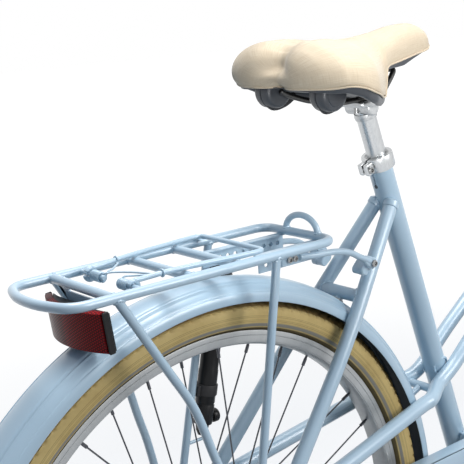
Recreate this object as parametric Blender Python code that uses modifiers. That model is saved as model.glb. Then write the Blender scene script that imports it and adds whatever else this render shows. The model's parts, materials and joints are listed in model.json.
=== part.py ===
"""City bike with twin lateral frame tubes, a rear carrier and a sprung saddle, at real size.

x runs forward from the rear axle, y to the rider's left and h up from the axle line.
place() turns these into world coordinates, with the origin on the ground under the middle.
"""

import math

import bmesh
import bpy
import numpy as np
from mathutils import Matrix, Vector

# Clearance between pieces that touch, and the sides of round pieces
GAP = 0.0003
FINE = 12
COARSE = 8
FRAME_SIDES = 10
WIRE_SIDES = 6
HUB_STEPS = 10

# Wheels
WHEEL_BASE = 1.115
TYRE_OUTER_R = 0.357
TYRE_SECTION_R = 0.023
TYRE_HEIGHT = 0.0405
RIM_BED_DEPTH = 0.0070
RIM_FLOOR_DEPTH = 0.0173
RIM_HALF_WIDTH = 0.0125
RIM_FLOOR_HALF_WIDTH = 0.0078
RIM_FLANGE = 0.0022
WHEEL_STEPS = 36
SPOKES = 36
SPOKE_R = 0.0009
SPOKE_LEAD = math.radians(57)
SPOKE_HEAD_OFFSET = 0.0018

# Hubs and axles
REAR_AXLE_R = 0.005
REAR_HALF_SPACING = 0.0675
REAR_BARREL_R = 0.030
REAR_FLANGE_R = 0.038
REAR_FLANGE_Y = 0.029
FRONT_AXLE_R = 0.0045
FRONT_HALF_SPACING = 0.050
FRONT_BARREL_R = 0.014
FRONT_FLANGE_R = 0.024
FRONT_FLANGE_Y = 0.030
HUB_END_R = 0.011
HUB_FLANGE_WALL = 0.003
DROPOUT_WALL = 0.0045
NUT_R = 0.0092
NUT_WALL = 0.0075

# Mudguards
GUARD_CLEARANCE = 0.0210
GUARD_SIDE_REACH = 0.0063
GUARD_HALF_WIDTH = 0.0325
GUARD_WALL = 0.001
GUARD_STEP = math.radians(10)
REAR_GUARD_FROM = math.radians(0)
REAR_GUARD_TO = math.radians(200)
FRONT_GUARD_FROM = math.radians(50)
FRONT_GUARD_TO = math.radians(190)
GUARD_STAY_R = 0.0022
REAR_GUARD_STAY_AT = math.radians(190)
FRONT_GUARD_STAY_AT = math.radians(183)
GUARD_EYELET = (-0.0140, 0.0085)

# Frame
SEAT_ANGLE = math.radians(71)
SEAT_AXIS_X = 0.4692
SEAT_TUBE_R = 0.0159
SEAT_TUBE_TOP = 0.4815
SEAT_BORE_FOOT = 0.06
SEAT_SLOT_LENGTH = 0.034
SEAT_SLOT_WIDTH = 0.0022
BRACKET_DROP = 0.050
BRACKET_R = 0.020
BRACKET_HALF_WIDTH = 0.0365
DOWN_TUBE_R = 0.0159
HEAD_ANGLE = math.radians(70)
HEAD_TUBE_R = 0.018
HEAD_CUP_R = 0.0215
HEAD_CUP_HEIGHT = 0.012
HEAD_ABOVE_CROWN = 0.0168
HEAD_LENGTH = 0.1712
DOWN_TUBE_ABOVE_FOOT = 0.0332
LATERAL_R = 0.010
LATERAL_BELOW_TOP = 0.037
LATERAL_JOIN_Y = 0.012
STAY_R = 0.0092
STAY_TOP = (0.3160, 0.0125, 0.4195)
STAY_BEND = (0.1965, 0.0450, 0.270)
STAY_FOOT = (0.0150, 0.0519)
CHAIN_STAY_START_Y = 0.027
CHAIN_STAY_BEND = (0.33, 0.0385)
CHAIN_STAY_END = (0.030, 0.001)
BRIDGE_R = 0.0085
BRIDGE_CLEARANCE = 0.0119
LATERAL_BRIDGE_R = 0.006
LATERAL_BRIDGE_X = 0.381
LATERAL_BRIDGE_DROP = 0.004
COPE = 0.0022

# Seat post and saddle
POST_R = 0.0127
POST_FOOT = 0.300
POST_BELOW_RAILS = 0.0070
COLLAR_R = 0.0208
COLLAR_HEIGHT = 0.021
COLLAR_SLOT = 0.003
COLLAR_EAR = (0.013, 0.007, 0.015)
SADDLE_RAIL_R = 0.0035
SADDLE_RAIL_Y = 0.021
SADDLE_RAIL_H = 0.5600
CLAMP_X = 0.268
CLAMP_SIZE = (0.036, 0.058, 0.0165)
SADDLE_REAR_X = 0.1215
SADDLE_NOSE_X = 0.396
SADDLE_STATIONS = 20
SADDLE_RING = 24
SHELL_REACH = 0.965
SHELL_SPREAD = 0.90
SHELL_RISE = 0.004
SHELL_ROOM = 0.008
SHELL_EDGE = 0.001
SHELL_GAP = 0.0030
BUMPER_R = 0.021
BUMPER_HALF_WIDTH = 0.014
BUMPER_AT = (0.172, 0.048)
BUMPER_ABOVE_RAILS = 0.0160

# Steering
FORK_RAKE = 0.055
STEERER_R = 0.0127
QUILL_R = 0.0111
CROWN_CLEARANCE = 0.019
CROWN_R = 0.0162
CROWN_HALF_WIDTH = 0.058
BLADE_TOP_Y = 0.0465
BLADE_TOP_R = 0.0115
BLADE_FOOT_R = 0.0075
BLADE_FOOT = (0.016, 0.046)
HEADSET_NUT_R = 0.0185
HEADSET_NUT_HEIGHT = 0.013
QUILL_DEPTH = 0.085
STEM_RISE = 0.087
STEM_REACH = 0.060
STEM_R = 0.0125
STEM_CLAMP_R = 0.0175
STEM_CLAMP_HALF_WIDTH = 0.019
BAR_R = 0.0111
BAR_SLEEVE_R = 0.0127
BAR_SLEEVE_HALF_WIDTH = 0.030
GRIP_R = 0.0168
GRIP_LENGTH = 0.122
GRIP_END_WALL = 0.004

# Drive
CHAIN_LINE = 0.048
CHAIN_WIDTH = 0.007
CHAIN_HEIGHT = 0.008
CHAINRING_TEETH = 44
SPROCKET_TEETH = 18
CHAIN_PITCH = 0.0127
RING_WALL = 0.003
SPINDLE_R = 0.0085
CRANK_LENGTH = 0.170
CRANK_INNER_Y = 0.0655
CRANK_WALL = 0.012
CRANK_BOSS_R = 0.018
CRANK_TIP_R = 0.0135
PEDAL_PIN_R = 0.006
PEDAL_SIZE = (0.090, 0.088, 0.024)
PEDAL_CLEARANCE = 0.005
CASE_TOP = 0.0685
CASE_WALL = 0.002
CASE_OUTER_Y = 0.0595
CASE_INNER_Y = 0.037
CASE_ROUND_R = 0.1185
CASE_DEPTH = 0.0525
CASE_REAR_X = 0.052

# Carrier
RACK_H = 0.4053
RACK_TUBE_R = 0.0055
RACK_HALF_WIDTH = 0.0622
RACK_REAR_X = -0.2125
RACK_FRONT_X = 0.1613
RACK_CORNER_R = 0.050
RACK_BARS = (-0.1507, -0.0494, 0.0145)
LEG_R = 0.005
EYELET = (-0.0036, 0.0239)
EYE_R = 0.0085
EYE_WALL = 0.005
LUG_WALL = 0.0017
PLATE_Y = 0.035
PLATE_WALL = 0.002
PLATE_FOOT_H = 0.3805
PLATE_FLANGE = 0.009
PLATE_REAR_X = {1: 0.036, -1: 0.064}
ARM_R = 0.004
STAY_LUG_H = 0.358
STAY_LUG_SIZE = (0.027, 0.0105, 0.018)
LUG_X = 0.243
ARM_INNER_Y = 0.0465
HOOP_HALF_WIDTH = 0.031
HOOP_RISE = 0.024
HOOP_R = 0.003
HOOP_POINTS = 10
FLAP_R = 0.003
FLAP_Y = 0.0410
FLAP_FRONT_Y = 0.0515
FLAP_FRONT_X = 0.0525
HINGE_X = -0.1135
HINGE_PIN_R = 0.0032
HINGE_PIN_INNER_Y = 0.012
SPRING_WIRE_R = 0.0011
SPRING_TURNS = 6
SPRING_OUTER_Y = 0.0350
SPRING_INNER_Y = 0.0170
SPRING_POINTS = 8
REFLECTOR_HALF_WIDTH = 0.052
REFLECTOR_SAG = 0.015
REFLECTOR_APEX_X = -0.1735
REFLECTOR_FOOT_H = 0.3468
REFLECTOR_HEIGHT = 0.0445
LENS_WALL = 0.004
HOUSING_BACK_X = -0.1518

# Pump on the carrier's left leg
PUMP_R = 0.0125
PUMP_HEAD_R = 0.0165
PUMP_OFFSET = 0.0235
PUMP_FOOT_H = 0.156
PUMP_TOP_H = 0.380
PUMP_HEAD_LENGTH = 0.034
PUMP_CAP_LENGTH = 0.008
PUMP_CLIPS = (0.215, 0.322)

# Stand
STAND_PIVOT = (0.420, -0.090)
STAND_TUBE_R = 0.009
STAND_LEG_R = 0.007
STAND_LEAN = math.radians(8)
STAND_INNER_Y = 0.034
STAND_FOOT_Y = 0.115
STAND_FOOT_R = 0.013
STAND_FOOT_WALL = 0.006

# Lamp on the fork crown
LAMP_R = 0.028
LAMP_AHEAD = 0.0725
LAMP_ABOVE = 0.0758

# Everything that follows from these
AXLE_HEIGHT = TYRE_OUTER_R
BEAD_R = TYRE_OUTER_R - TYRE_HEIGHT
GUARD_CREST_R = TYRE_OUTER_R + GUARD_CLEARANCE
GUARD_EDGE_R = TYRE_OUTER_R - GUARD_SIDE_REACH
CROWN_AT = GUARD_CREST_R + CROWN_CLEARANCE
HEAD_FOOT = CROWN_AT + HEAD_ABOVE_CROWN
HEAD_TOP = HEAD_FOOT + HEAD_LENGTH
DOWN_TUBE_JOIN = HEAD_FOOT + DOWN_TUBE_ABOVE_FOOT
LATERAL_JOIN = HEAD_TOP - LATERAL_BELOW_TOP
QUILL_FOOT = HEAD_TOP - QUILL_DEPTH
STEM_TOP = HEAD_TOP + STEM_RISE
RIM_BED_R = BEAD_R - RIM_BED_DEPTH
RIM_INNER_R = BEAD_R - RIM_FLOOR_DEPTH
MIDDLE_X = (WHEEL_BASE + TYRE_OUTER_R - GUARD_CREST_R) / 2
BRACKET_X = SEAT_AXIS_X + BRACKET_DROP / math.tan(SEAT_ANGLE)
CHAINRING_R = CHAINRING_TEETH * CHAIN_PITCH / (2 * math.pi)
SPROCKET_R = SPROCKET_TEETH * CHAIN_PITCH / (2 * math.pi)
DROPOUT_OUTER_Y = REAR_HALF_SPACING + DROPOUT_WALL
LEG_FOOT_Y = DROPOUT_OUTER_Y + LUG_WALL + GAP + EYE_WALL / 2
POST_TOP = SADDLE_RAIL_H - POST_BELOW_RAILS
CLAMP_ROOM = tuple(side + 2 * GAP for side in CLAMP_SIZE)
SIDES = ((1, "left"), (-1, "right"))


def place(x, y, h):
    """World point of a place given from the rear axle."""
    return Vector((x - MIDDLE_X, y, h + AXLE_HEIGHT))


def clear_radius(radius, sides=FINE):
    """Radius of a many-sided bore whose flats clear a shaft by the gap."""
    return (radius + GAP) / math.cos(math.pi / sides)


def seat_point(h, back=0.0, y=0.0):
    """Point on the seat tube's axis at height h, moved square to it."""
    x = SEAT_AXIS_X - h / math.tan(SEAT_ANGLE)
    return (x - back * math.sin(SEAT_ANGLE), y, h - back * math.cos(SEAT_ANGLE))


def steer_point(along, forward=0.0, y=0.0):
    """Point by its distance up the steering axis and forward of it."""
    up = (-math.cos(HEAD_ANGLE), math.sin(HEAD_ANGLE))
    ahead = (math.sin(HEAD_ANGLE), math.cos(HEAD_ANGLE))
    foot = (WHEEL_BASE - FORK_RAKE * ahead[0], -FORK_RAKE * ahead[1])
    x = foot[0] + along * up[0] + forward * ahead[0]
    h = foot[1] + along * up[1] + forward * ahead[1]
    return (x, y, h)


def chain_stay_point(x, side):
    """Point on a chain stay's axis at x."""
    xs = (CHAIN_STAY_END[0], CHAIN_STAY_BEND[0], BRACKET_X)
    ys = (DROPOUT_OUTER_Y - DROPOUT_WALL / 2, CHAIN_STAY_BEND[1], CHAIN_STAY_START_Y)
    hs = (CHAIN_STAY_END[1], -BRACKET_DROP)
    h = np.interp(x, (CHAIN_STAY_END[0], BRACKET_X), hs)
    return (x, side * float(np.interp(x, xs, ys)), float(h))


def clear_scene():
    for item in list(bpy.data.objects):
        bpy.data.objects.remove(item)


def new_collection(name):
    collection = bpy.data.collections.new(name)
    bpy.context.scene.collection.children.link(collection)
    return collection


def new_material(name, colour, roughness, metallic=0.0):
    """Principled material from an sRGB-like linear colour."""
    material = bpy.data.materials.new(name)
    material.use_nodes = True
    shader = material.node_tree.nodes["Principled BSDF"]
    shader.inputs["Base Color"].default_value = (*colour, 1.0)
    shader.inputs["Roughness"].default_value = roughness
    shader.inputs["Metallic"].default_value = metallic
    return material


clear_scene()
PARTS = new_collection("city_bike")
CUTTERS = new_collection("cutters")
BLUE_PAINT = new_material("blue_paint", (0.44, 0.60, 0.72), 0.35)
BARE_ALLOY = new_material("bare_alloy", (0.62, 0.62, 0.61), 0.30, 1.0)
DARK_STEEL = new_material("dark_steel", (0.12, 0.12, 0.12), 0.35, 1.0)
TAN_RUBBER = new_material("tan_rubber", (0.42, 0.30, 0.13), 0.80)
BLACK_RUBBER = new_material("black_rubber", (0.02, 0.02, 0.02), 0.70)
BLACK_PLASTIC = new_material("black_plastic", (0.03, 0.03, 0.035), 0.45)
GREY_PLASTIC = new_material("grey_plastic", (0.05, 0.053, 0.06), 0.40)
RED_LENS = new_material("red_lens", (0.45, 0.01, 0.01), 0.15)
BEIGE_COVER = new_material("beige_cover", (0.83, 0.69, 0.48), 0.75)


def add_mesh(name, bm, material, matrix=None):
    """Turns a bmesh into one named object of the bike."""
    bmesh.ops.recalc_face_normals(bm, faces=bm.faces)
    mesh = bpy.data.meshes.new(name)
    bm.to_mesh(mesh)
    bm.free()
    mesh.materials.append(material)
    thing = bpy.data.objects.new(name, mesh)
    if matrix is not None:
        thing.matrix_world = matrix
    PARTS.objects.link(thing)
    mesh.shade_smooth()
    mesh.set_sharp_from_angle(angle=math.radians(40))
    return thing


def along(start, end):
    """Matrix at the middle of two world points with Z from start to end."""
    start, end = Vector(start), Vector(end)
    turn = (end - start).to_track_quat("Z", "Y").to_matrix().to_4x4()
    return Matrix.Translation((start + end) / 2) @ turn


def rod(name, start, end, radius, material, end_radius=None, sides=FINE):
    """Solid round bar between two places, with its flats square to the axis."""
    start, end = place(*start), place(*end)
    bm = bmesh.new()
    bmesh.ops.create_cone(
        bm,
        cap_ends=True,
        segments=sides,
        radius1=radius,
        radius2=radius if end_radius is None else end_radius,
        depth=(end - start).length,
    )
    return add_mesh(name, bm, material, along(start, end))


def box(name, centre, size, material, turn=None):
    """Block by its centre and full sizes, turned about its centre when asked."""
    bm = bmesh.new()
    bmesh.ops.create_cube(bm, size=1.0, matrix=Matrix.Diagonal((*size, 1.0)))
    matrix = Matrix.Translation(place(*centre))
    return add_mesh(name, bm, material, matrix @ turn if turn is not None else matrix)


def curve_mesh(name, curve, material, matrix=None):
    """Evaluates a curve into a closed mesh with welded caps."""
    source = bpy.data.objects.new(name + "_curve", curve)
    if matrix is not None:
        source.matrix_world = matrix
    PARTS.objects.link(source)
    bpy.context.view_layer.update()
    graph = bpy.context.evaluated_depsgraph_get()
    mesh = bpy.data.meshes.new_from_object(source.evaluated_get(graph))
    bm = bmesh.new()
    bm.from_mesh(mesh)
    bmesh.ops.remove_doubles(bm, verts=bm.verts, dist=0.00001)
    thing = add_mesh(name, bm, material, source.matrix_world.copy())
    bpy.data.objects.remove(source)
    bpy.data.meshes.remove(mesh)
    return thing


def tube(name, points, radius, material, sides=COARSE, radii=None, closed=False):
    """Round tube or wire along a list of places."""
    curve = bpy.data.curves.new(name, "CURVE")
    curve.dimensions = "3D"
    curve.bevel_depth = radius
    curve.bevel_resolution = (sides - 4) // 2
    curve.use_fill_caps = True
    spline = curve.splines.new("POLY")
    spline.points.add(len(points) - 1)
    spline.use_cyclic_u = closed
    for index, point in enumerate(points):
        spline.points[index].co = (*place(*point), 1.0)
        if radii is not None:
            spline.points[index].radius = radii[index] / radius
    return curve_mesh(name, curve, material)


def plate(name, outlines, wall, centre_y, material):
    """Flat piece from outlines in x and h, with the wall centred on centre_y."""
    curve = bpy.data.curves.new(name, "CURVE")
    curve.dimensions = "2D"
    curve.fill_mode = "BOTH"
    curve.extrude = wall / 2
    for outline in outlines:
        spline = curve.splines.new("POLY")
        spline.points.add(len(outline) - 1)
        spline.use_cyclic_u = True
        for index, (x, h) in enumerate(outline):
            spline.points[index].co = (x, h, 0.0, 1.0)
    matrix = Matrix.Translation(place(0, centre_y, 0)) @ Matrix.Rotation(math.pi / 2, 4, "X")
    return curve_mesh(name, curve, material, matrix)


def level_plate(name, outline, wall, centre_h, material):
    """Flat piece from an outline in x and y, with the wall centred on centre_h."""
    curve = bpy.data.curves.new(name, "CURVE")
    curve.dimensions = "2D"
    curve.fill_mode = "BOTH"
    curve.extrude = wall / 2
    spline = curve.splines.new("POLY")
    spline.points.add(len(outline) - 1)
    spline.use_cyclic_u = True
    for index, (x, y) in enumerate(outline):
        spline.points[index].co = (x, y, 0.0, 1.0)
    return curve_mesh(name, curve, material, Matrix.Translation(place(0, 0, centre_h)))


def turned(name, profile, centre, material, steps=FINE, axis=(0, -1, 0), start=0.0, sweep=None):
    """Profile of (radius, along) pairs turned about an axis through centre.

    A whole turn takes a closed profile that runs clockwise, and a part turn an open one.
    """
    whole = sweep is None
    bm = bmesh.new()
    verts = [bm.verts.new((radius, 0.0, height)) for radius, height in profile]
    for first, second in zip(verts, verts[1:]):
        bm.edges.new((first, second))
    if whole and profile[0][0] > 0:
        bm.edges.new((verts[-1], verts[0]))
    mesh = bpy.data.meshes.new(name)
    bm.to_mesh(mesh)
    bm.free()
    mesh.materials.append(material)
    thing = bpy.data.objects.new(name, mesh)
    turn = Vector(axis).to_track_quat("Z", "X").to_matrix().to_4x4()
    if axis == (0, -1, 0):
        turn = Matrix.Rotation(math.pi / 2, 4, "X")
    thing.matrix_world = Matrix.Translation(place(*centre)) @ turn @ Matrix.Rotation(start, 4, "Z")
    PARTS.objects.link(thing)
    screw = thing.modifiers.new("turn", "SCREW")
    screw.axis = "Z"
    screw.angle = 2 * math.pi if whole else sweep
    screw.steps = steps
    screw.render_steps = steps
    screw.use_merge_vertices = True
    screw.merge_threshold = 0.00001
    return thing


def clockwise(profile):
    """The closed profile in the order that turns into an outward surface."""
    area = sum(
        a[0] * b[1] - b[0] * a[1] for a, b in zip(profile, profile[1:] + profile[:1])
    )
    return profile if area < 0 else profile[::-1]


def boolean(target, other, operation):
    """Cuts or joins another solid, which is then kept as a helper."""
    modifier = target.modifiers.new(other.name, "BOOLEAN")
    modifier.operation = operation
    modifier.solver = "EXACT"
    modifier.object = other
    if other.name in PARTS.objects:
        PARTS.objects.unlink(other)
        CUTTERS.objects.link(other)
    other.hide_render = True
    other.display_type = "WIRE"
    return modifier


def fuse(target, *pieces):
    for piece in pieces:
        boolean(target, piece, "UNION")
    return target


def cut(target, *pieces):
    for piece in pieces:
        boolean(target, piece, "DIFFERENCE")
    return target


def arc(centre, radius, start, end, steps):
    """Points on a circle arc, from start to end in radians."""
    angles = np.linspace(start, end, steps + 1)
    return [
        (centre[0] + radius * float(np.cos(a)), centre[1] + radius * float(np.sin(a)))
        for a in angles
    ]


def smooth_route(points, steps):
    """Catmull-Rom curve through the points, with steps pieces in each span."""
    knots = np.array([points[0], *points, points[-1]], float)
    route = []
    for index in range(len(points) - 1):
        a, b, c, d = knots[index : index + 4]
        for step in range(steps):
            t = step / steps
            route.append(
                0.5
                * (
                    2 * b
                    + (c - a) * t
                    + (2 * a - 5 * b + 4 * c - d) * t**2
                    + (3 * b - a - 3 * c + d) * t**3
                )
            )
    route.append(knots[-1])
    return [tuple(float(value) for value in point) for point in route]


def pivot(name, centre):
    """Empty on a joint's axis that carries the pieces of one moving body."""
    empty = bpy.data.objects.new(name, None)
    empty.location = place(*centre)
    empty.empty_display_size = 0.05
    PARTS.objects.link(empty)
    return empty


def hang(empty, pieces, parent=None):
    """Parents the pieces of a moving body to its pivot without moving them."""
    bpy.context.view_layer.update()
    if parent is not None:
        empty.parent = parent
        empty.matrix_parent_inverse = parent.matrix_world.inverted()
    for piece in pieces:
        piece.parent = empty
        piece.matrix_parent_inverse = empty.matrix_world.inverted()


def make_tyre(name, x):
    """Tyre with a round section that sits on the rim's flanges."""
    middle = TYRE_OUTER_R - TYRE_SECTION_R
    bulge = math.acos((BEAD_R + 0.004 - middle) / TYRE_SECTION_R)
    section = arc((middle, 0.0), TYRE_SECTION_R, -bulge, bulge, 4)
    lip = BEAD_R + GAP
    inner = RIM_HALF_WIDTH - RIM_FLANGE - GAP
    bed = RIM_BED_R + GAP
    section += [(lip, RIM_HALF_WIDTH), (lip, inner), (bed, inner)]
    section += [(bed, -inner), (lip, -inner), (lip, -RIM_HALF_WIDTH)]
    return turned(name, clockwise(section), (x, 0, 0), TAN_RUBBER, WHEEL_STEPS)


def make_rim(name, x):
    """Box rim with two flanges and a bed between them."""
    half = RIM_HALF_WIDTH
    inner = half - RIM_FLANGE
    section = [(BEAD_R, half), (BEAD_R, inner), (RIM_BED_R, inner)]
    section += [(RIM_BED_R, -inner), (BEAD_R, -inner), (BEAD_R, -half)]
    section += [(RIM_INNER_R, -RIM_FLOOR_HALF_WIDTH), (RIM_INNER_R, RIM_FLOOR_HALF_WIDTH)]
    return turned(name, clockwise(section), (x, 0, 0), BARE_ALLOY, WHEEL_STEPS)


def make_spokes(name, x, flange_r, flange_y):
    """Crossed spokes from both flanges to the rim's floor, as one set of bars."""
    bm = bmesh.new()
    hole_r = flange_r - 0.004
    tip_r = RIM_INNER_R - 2 * GAP
    for index in range(SPOKES):
        side = 1 if index % 2 == 0 else -1
        lead = 1 if index % 4 < 2 else -1
        tip_angle = 2 * math.pi * index / SPOKES
        hole_angle = tip_angle + lead * SPOKE_LEAD
        head_y = side * (flange_y + lead * SPOKE_HEAD_OFFSET)
        head = place(x + hole_r * math.cos(hole_angle), head_y, hole_r * math.sin(hole_angle))
        tip = place(x + tip_r * math.cos(tip_angle), side * 0.002, tip_r * math.sin(tip_angle))
        bmesh.ops.create_cone(
            bm,
            cap_ends=True,
            segments=3,
            radius1=SPOKE_R,
            radius2=SPOKE_R,
            depth=(tip - head).length,
            matrix=along(head, tip),
        )
    return add_mesh(name, bm, DARK_STEEL)


def make_hub(name, x, barrel_r, flange_r, flange_y, end_y, bore_r):
    """Hub shell with two flanges, a bore for the fixed axle and its spokes."""
    wall = HUB_FLANGE_WALL / 2
    half = [(HUB_END_R, end_y), (HUB_END_R, flange_y + wall), (flange_r, flange_y + wall)]
    half += [(flange_r, flange_y - wall), (barrel_r, flange_y - wall)]
    mirrored = [(radius, -y) for radius, y in reversed(half)]
    bore = clear_radius(bore_r, HUB_STEPS)
    section = [(bore, end_y), *half, *mirrored, (bore, -end_y)]
    hub = turned(name, clockwise(section), (x, 0, 0), BARE_ALLOY, HUB_STEPS)
    spokes = make_spokes(name + "_spokes", x, flange_r, flange_y)
    fuse(hub, spokes).modifiers[-1].use_self = True
    return hub


def make_axle(name, x, radius, half_spacing, wall):
    """Fixed axle with lock nuts inside the dropouts and hexagon nuts outside."""
    outer = half_spacing + wall + GAP
    end_y = outer + NUT_WALL + 0.004
    axle = rod(name, (x, -end_y, 0), (x, end_y, 0), radius, DARK_STEEL, sides=8)
    for side, word in SIDES:
        start, end = side * outer, side * (outer + NUT_WALL)
        nut = rod(f"{name}_nut_{word}", (x, start, 0), (x, end, 0), NUT_R, DARK_STEEL, sides=6)
        inner = side * (half_spacing - GAP)
        lock = side * (half_spacing - 0.006)
        cone = rod(f"{name}_cone_{word}", (x, inner, 0), (x, lock, 0), NUT_R, DARK_STEEL, sides=8)
        fuse(axle, nut, cone)
    return axle


def guard_section():
    """Open section of a mudguard, from edge to edge over its crest."""
    depth = GUARD_CREST_R - GUARD_EDGE_R
    points = []
    for angle in np.radians((180, 155, 122, 58, 25, 0)):
        y = GUARD_HALF_WIDTH * float(np.cos(angle))
        points.append((GUARD_EDGE_R + depth * float(np.sin(angle)) ** 0.8, y))
    middle = len(points) // 2
    points.insert(middle, (GUARD_CREST_R, 0.0))
    return points


def make_guard(name, x, start, end):
    """Mudguard: a sheet arch round the wheel."""
    steps = round((end - start) / GUARD_STEP)
    guard = turned(
        name, guard_section(), (x, 0, 0), BLUE_PAINT, steps, start=start, sweep=end - start
    )
    sheet = guard.modifiers.new("sheet", "SOLIDIFY")
    sheet.thickness = GUARD_WALL
    sheet.offset = 1
    return guard


def make_guard_stay(name, x, angle, foot, foot_y):
    """Wire from one dropout round the mudguard's back to the other dropout."""
    over = GUARD_CREST_R + GUARD_STAY_R + GAP
    side_y = GUARD_HALF_WIDTH + GUARD_STAY_R + 2 * GAP
    direction = (math.cos(angle), math.sin(angle))

    def at(radius, y):
        return (x + radius * direction[0], y, radius * direction[1])

    corner = 0.006
    left = [(x + foot[0], foot_y, foot[1]), at(GUARD_EDGE_R - 0.02, side_y + 0.004)]
    left += [at(over - corner, side_y), at(over, side_y - corner)]
    right = [(px, -py, ph) for px, py, ph in reversed(left)]
    return tube(name, left + right, GUARD_STAY_R, DARK_STEEL, sides=6)


def make_wheels():
    pieces = {}
    for name, x in (("rear", 0.0), ("front", WHEEL_BASE)):
        pieces[name + "_tyre"] = make_tyre(name + "_tyre", x)
        pieces[name + "_rim"] = make_rim(name + "_rim", x)
    pieces["rear_hub"] = make_hub(
        "rear_hub", 0.0, REAR_BARREL_R, REAR_FLANGE_R, REAR_FLANGE_Y, 0.0575, REAR_AXLE_R
    )
    pieces["front_hub"] = make_hub(
        "front_hub", WHEEL_BASE, FRONT_BARREL_R, FRONT_FLANGE_R, FRONT_FLANGE_Y, 0.040, FRONT_AXLE_R
    )
    return pieces


def make_rear_axle():
    """Rear axle with the back-pedal brake's arm, which is held at the left chain stay."""
    axle = make_axle("rear_axle", 0.0, REAR_AXLE_R, REAR_HALF_SPACING, DROPOUT_WALL)
    tip = (0.150, -0.036)
    outline = arc((0, 0), 0.012, math.radians(35), math.radians(240), 8)
    outline += [(0.018, -0.0275), *arc(tip, 0.006, math.radians(262), math.radians(442), 6)]
    outline += [(0.027, -0.0150)]
    arm_y = REAR_HALF_SPACING - 0.0045
    arm = plate("brake_arm", [outline], 0.003, arm_y, DARK_STEEL)
    stay = chain_stay_point(tip[0], 1)
    top = stay[2] - STAY_R - GAP - 0.0008
    foot = tip[1]
    strap = box(
        "brake_arm_strap",
        (tip[0], (stay[1] + arm_y) / 2, (top + foot) / 2),
        (0.012, arm_y - stay[1] + 0.003, top - foot),
        DARK_STEEL,
    )
    return fuse(axle, arm, strap)


def frame_cutters():
    """Round cutters that mitre each frame tube to its neighbours."""
    bracket_y = BRACKET_HALF_WIDTH + 0.02
    cup_top = HEAD_FOOT + HEAD_CUP_HEIGHT + GAP
    return {
        "cup": rod(
            "head_cup_cutter",
            steer_point(HEAD_FOOT - 0.02),
            steer_point(cup_top),
            clear_radius(HEAD_CUP_R),
            BLUE_PAINT,
        ),
        "bracket": rod(
            "bracket_cutter",
            (BRACKET_X, -bracket_y, -BRACKET_DROP),
            (BRACKET_X, bracket_y, -BRACKET_DROP),
            clear_radius(BRACKET_R, 24),
            BLUE_PAINT,
            sides=24,
        ),
        "seat": rod(
            "seat_tube_cutter",
            seat_point(-BRACKET_DROP),
            seat_point(SEAT_TUBE_TOP + 0.05),
            clear_radius(SEAT_TUBE_R, 24),
            BLUE_PAINT,
            sides=24,
        ),
        "head": rod(
            "head_tube_cutter",
            steer_point(HEAD_FOOT - 0.03),
            steer_point(HEAD_TOP + 0.03),
            clear_radius(HEAD_TUBE_R, 24),
            BLUE_PAINT,
            sides=24,
        ),
    }


def make_seat_tube(cutters):
    """Seat tube with the bore for the post and the clamping slot at its back."""
    seat = rod(
        "seat_tube", seat_point(-BRACKET_DROP), seat_point(SEAT_TUBE_TOP), SEAT_TUBE_R, BLUE_PAINT
    )
    bore = rod(
        "seat_tube_bore",
        seat_point(SEAT_BORE_FOOT),
        seat_point(SEAT_TUBE_TOP + 0.02),
        clear_radius(POST_R),
        BLUE_PAINT,
    )
    slot_middle = SEAT_TUBE_TOP - (SEAT_SLOT_LENGTH * math.sin(SEAT_ANGLE)) / 2
    slot = box(
        "seat_tube_slot",
        seat_point(slot_middle + 0.002, back=SEAT_TUBE_R),
        (SEAT_TUBE_R, SEAT_SLOT_WIDTH, SEAT_SLOT_LENGTH + 0.004),
        BLUE_PAINT,
        Matrix.Rotation(SEAT_ANGLE - math.pi / 2, 4, "Y"),
    )
    return cut(seat, cutters["bracket"], bore, slot)


def make_head_tube():
    """Head tube with flared bearing cups and the steerer's bore."""
    length = HEAD_TOP - HEAD_FOOT
    bore = clear_radius(STEERER_R)
    section = [(bore, 0.0), (HEAD_CUP_R, 0.0), (HEAD_CUP_R, HEAD_CUP_HEIGHT * 0.6)]
    section += [(HEAD_TUBE_R, HEAD_CUP_HEIGHT), (HEAD_TUBE_R, length - HEAD_CUP_HEIGHT)]
    section += [(HEAD_CUP_R, length - HEAD_CUP_HEIGHT * 0.6), (HEAD_CUP_R, length), (bore, length)]
    up = Vector(steer_point(1.0)) - Vector(steer_point(0.0))
    return turned(
        "head_tube", clockwise(section), steer_point(HEAD_FOOT), BLUE_PAINT, axis=tuple(up)
    )


def stay_points(side):
    """Seat stay from its foot above the dropout to the seat tube."""
    foot_y = DROPOUT_OUTER_Y - DROPOUT_WALL / 2
    foot = (STAY_FOOT[0], foot_y, STAY_FOOT[1])
    return [(x, side * y, h) for x, y, h in (foot, STAY_BEND, STAY_TOP)]


def stay_at(h, side):
    """Point on a seat stay's axis at height h."""
    points = np.array(stay_points(side))
    return tuple(float(np.interp(h, points[:, 2], points[:, k])) for k in range(3))


def stay_at_reach(reach):
    """Point on the left seat stay's upper run at that distance from the wheel's axis."""
    bend, top = (Vector(point) for point in (STAY_BEND, STAY_TOP))
    start, run = Vector((bend.x, bend.z)), Vector((top.x - bend.x, top.z - bend.z))
    along = start.dot(run) / run.length_squared
    share = -along + math.sqrt(along**2 + (reach**2 - start.length_squared) / run.length_squared)
    return tuple(bend + (top - bend) * share)


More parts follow.
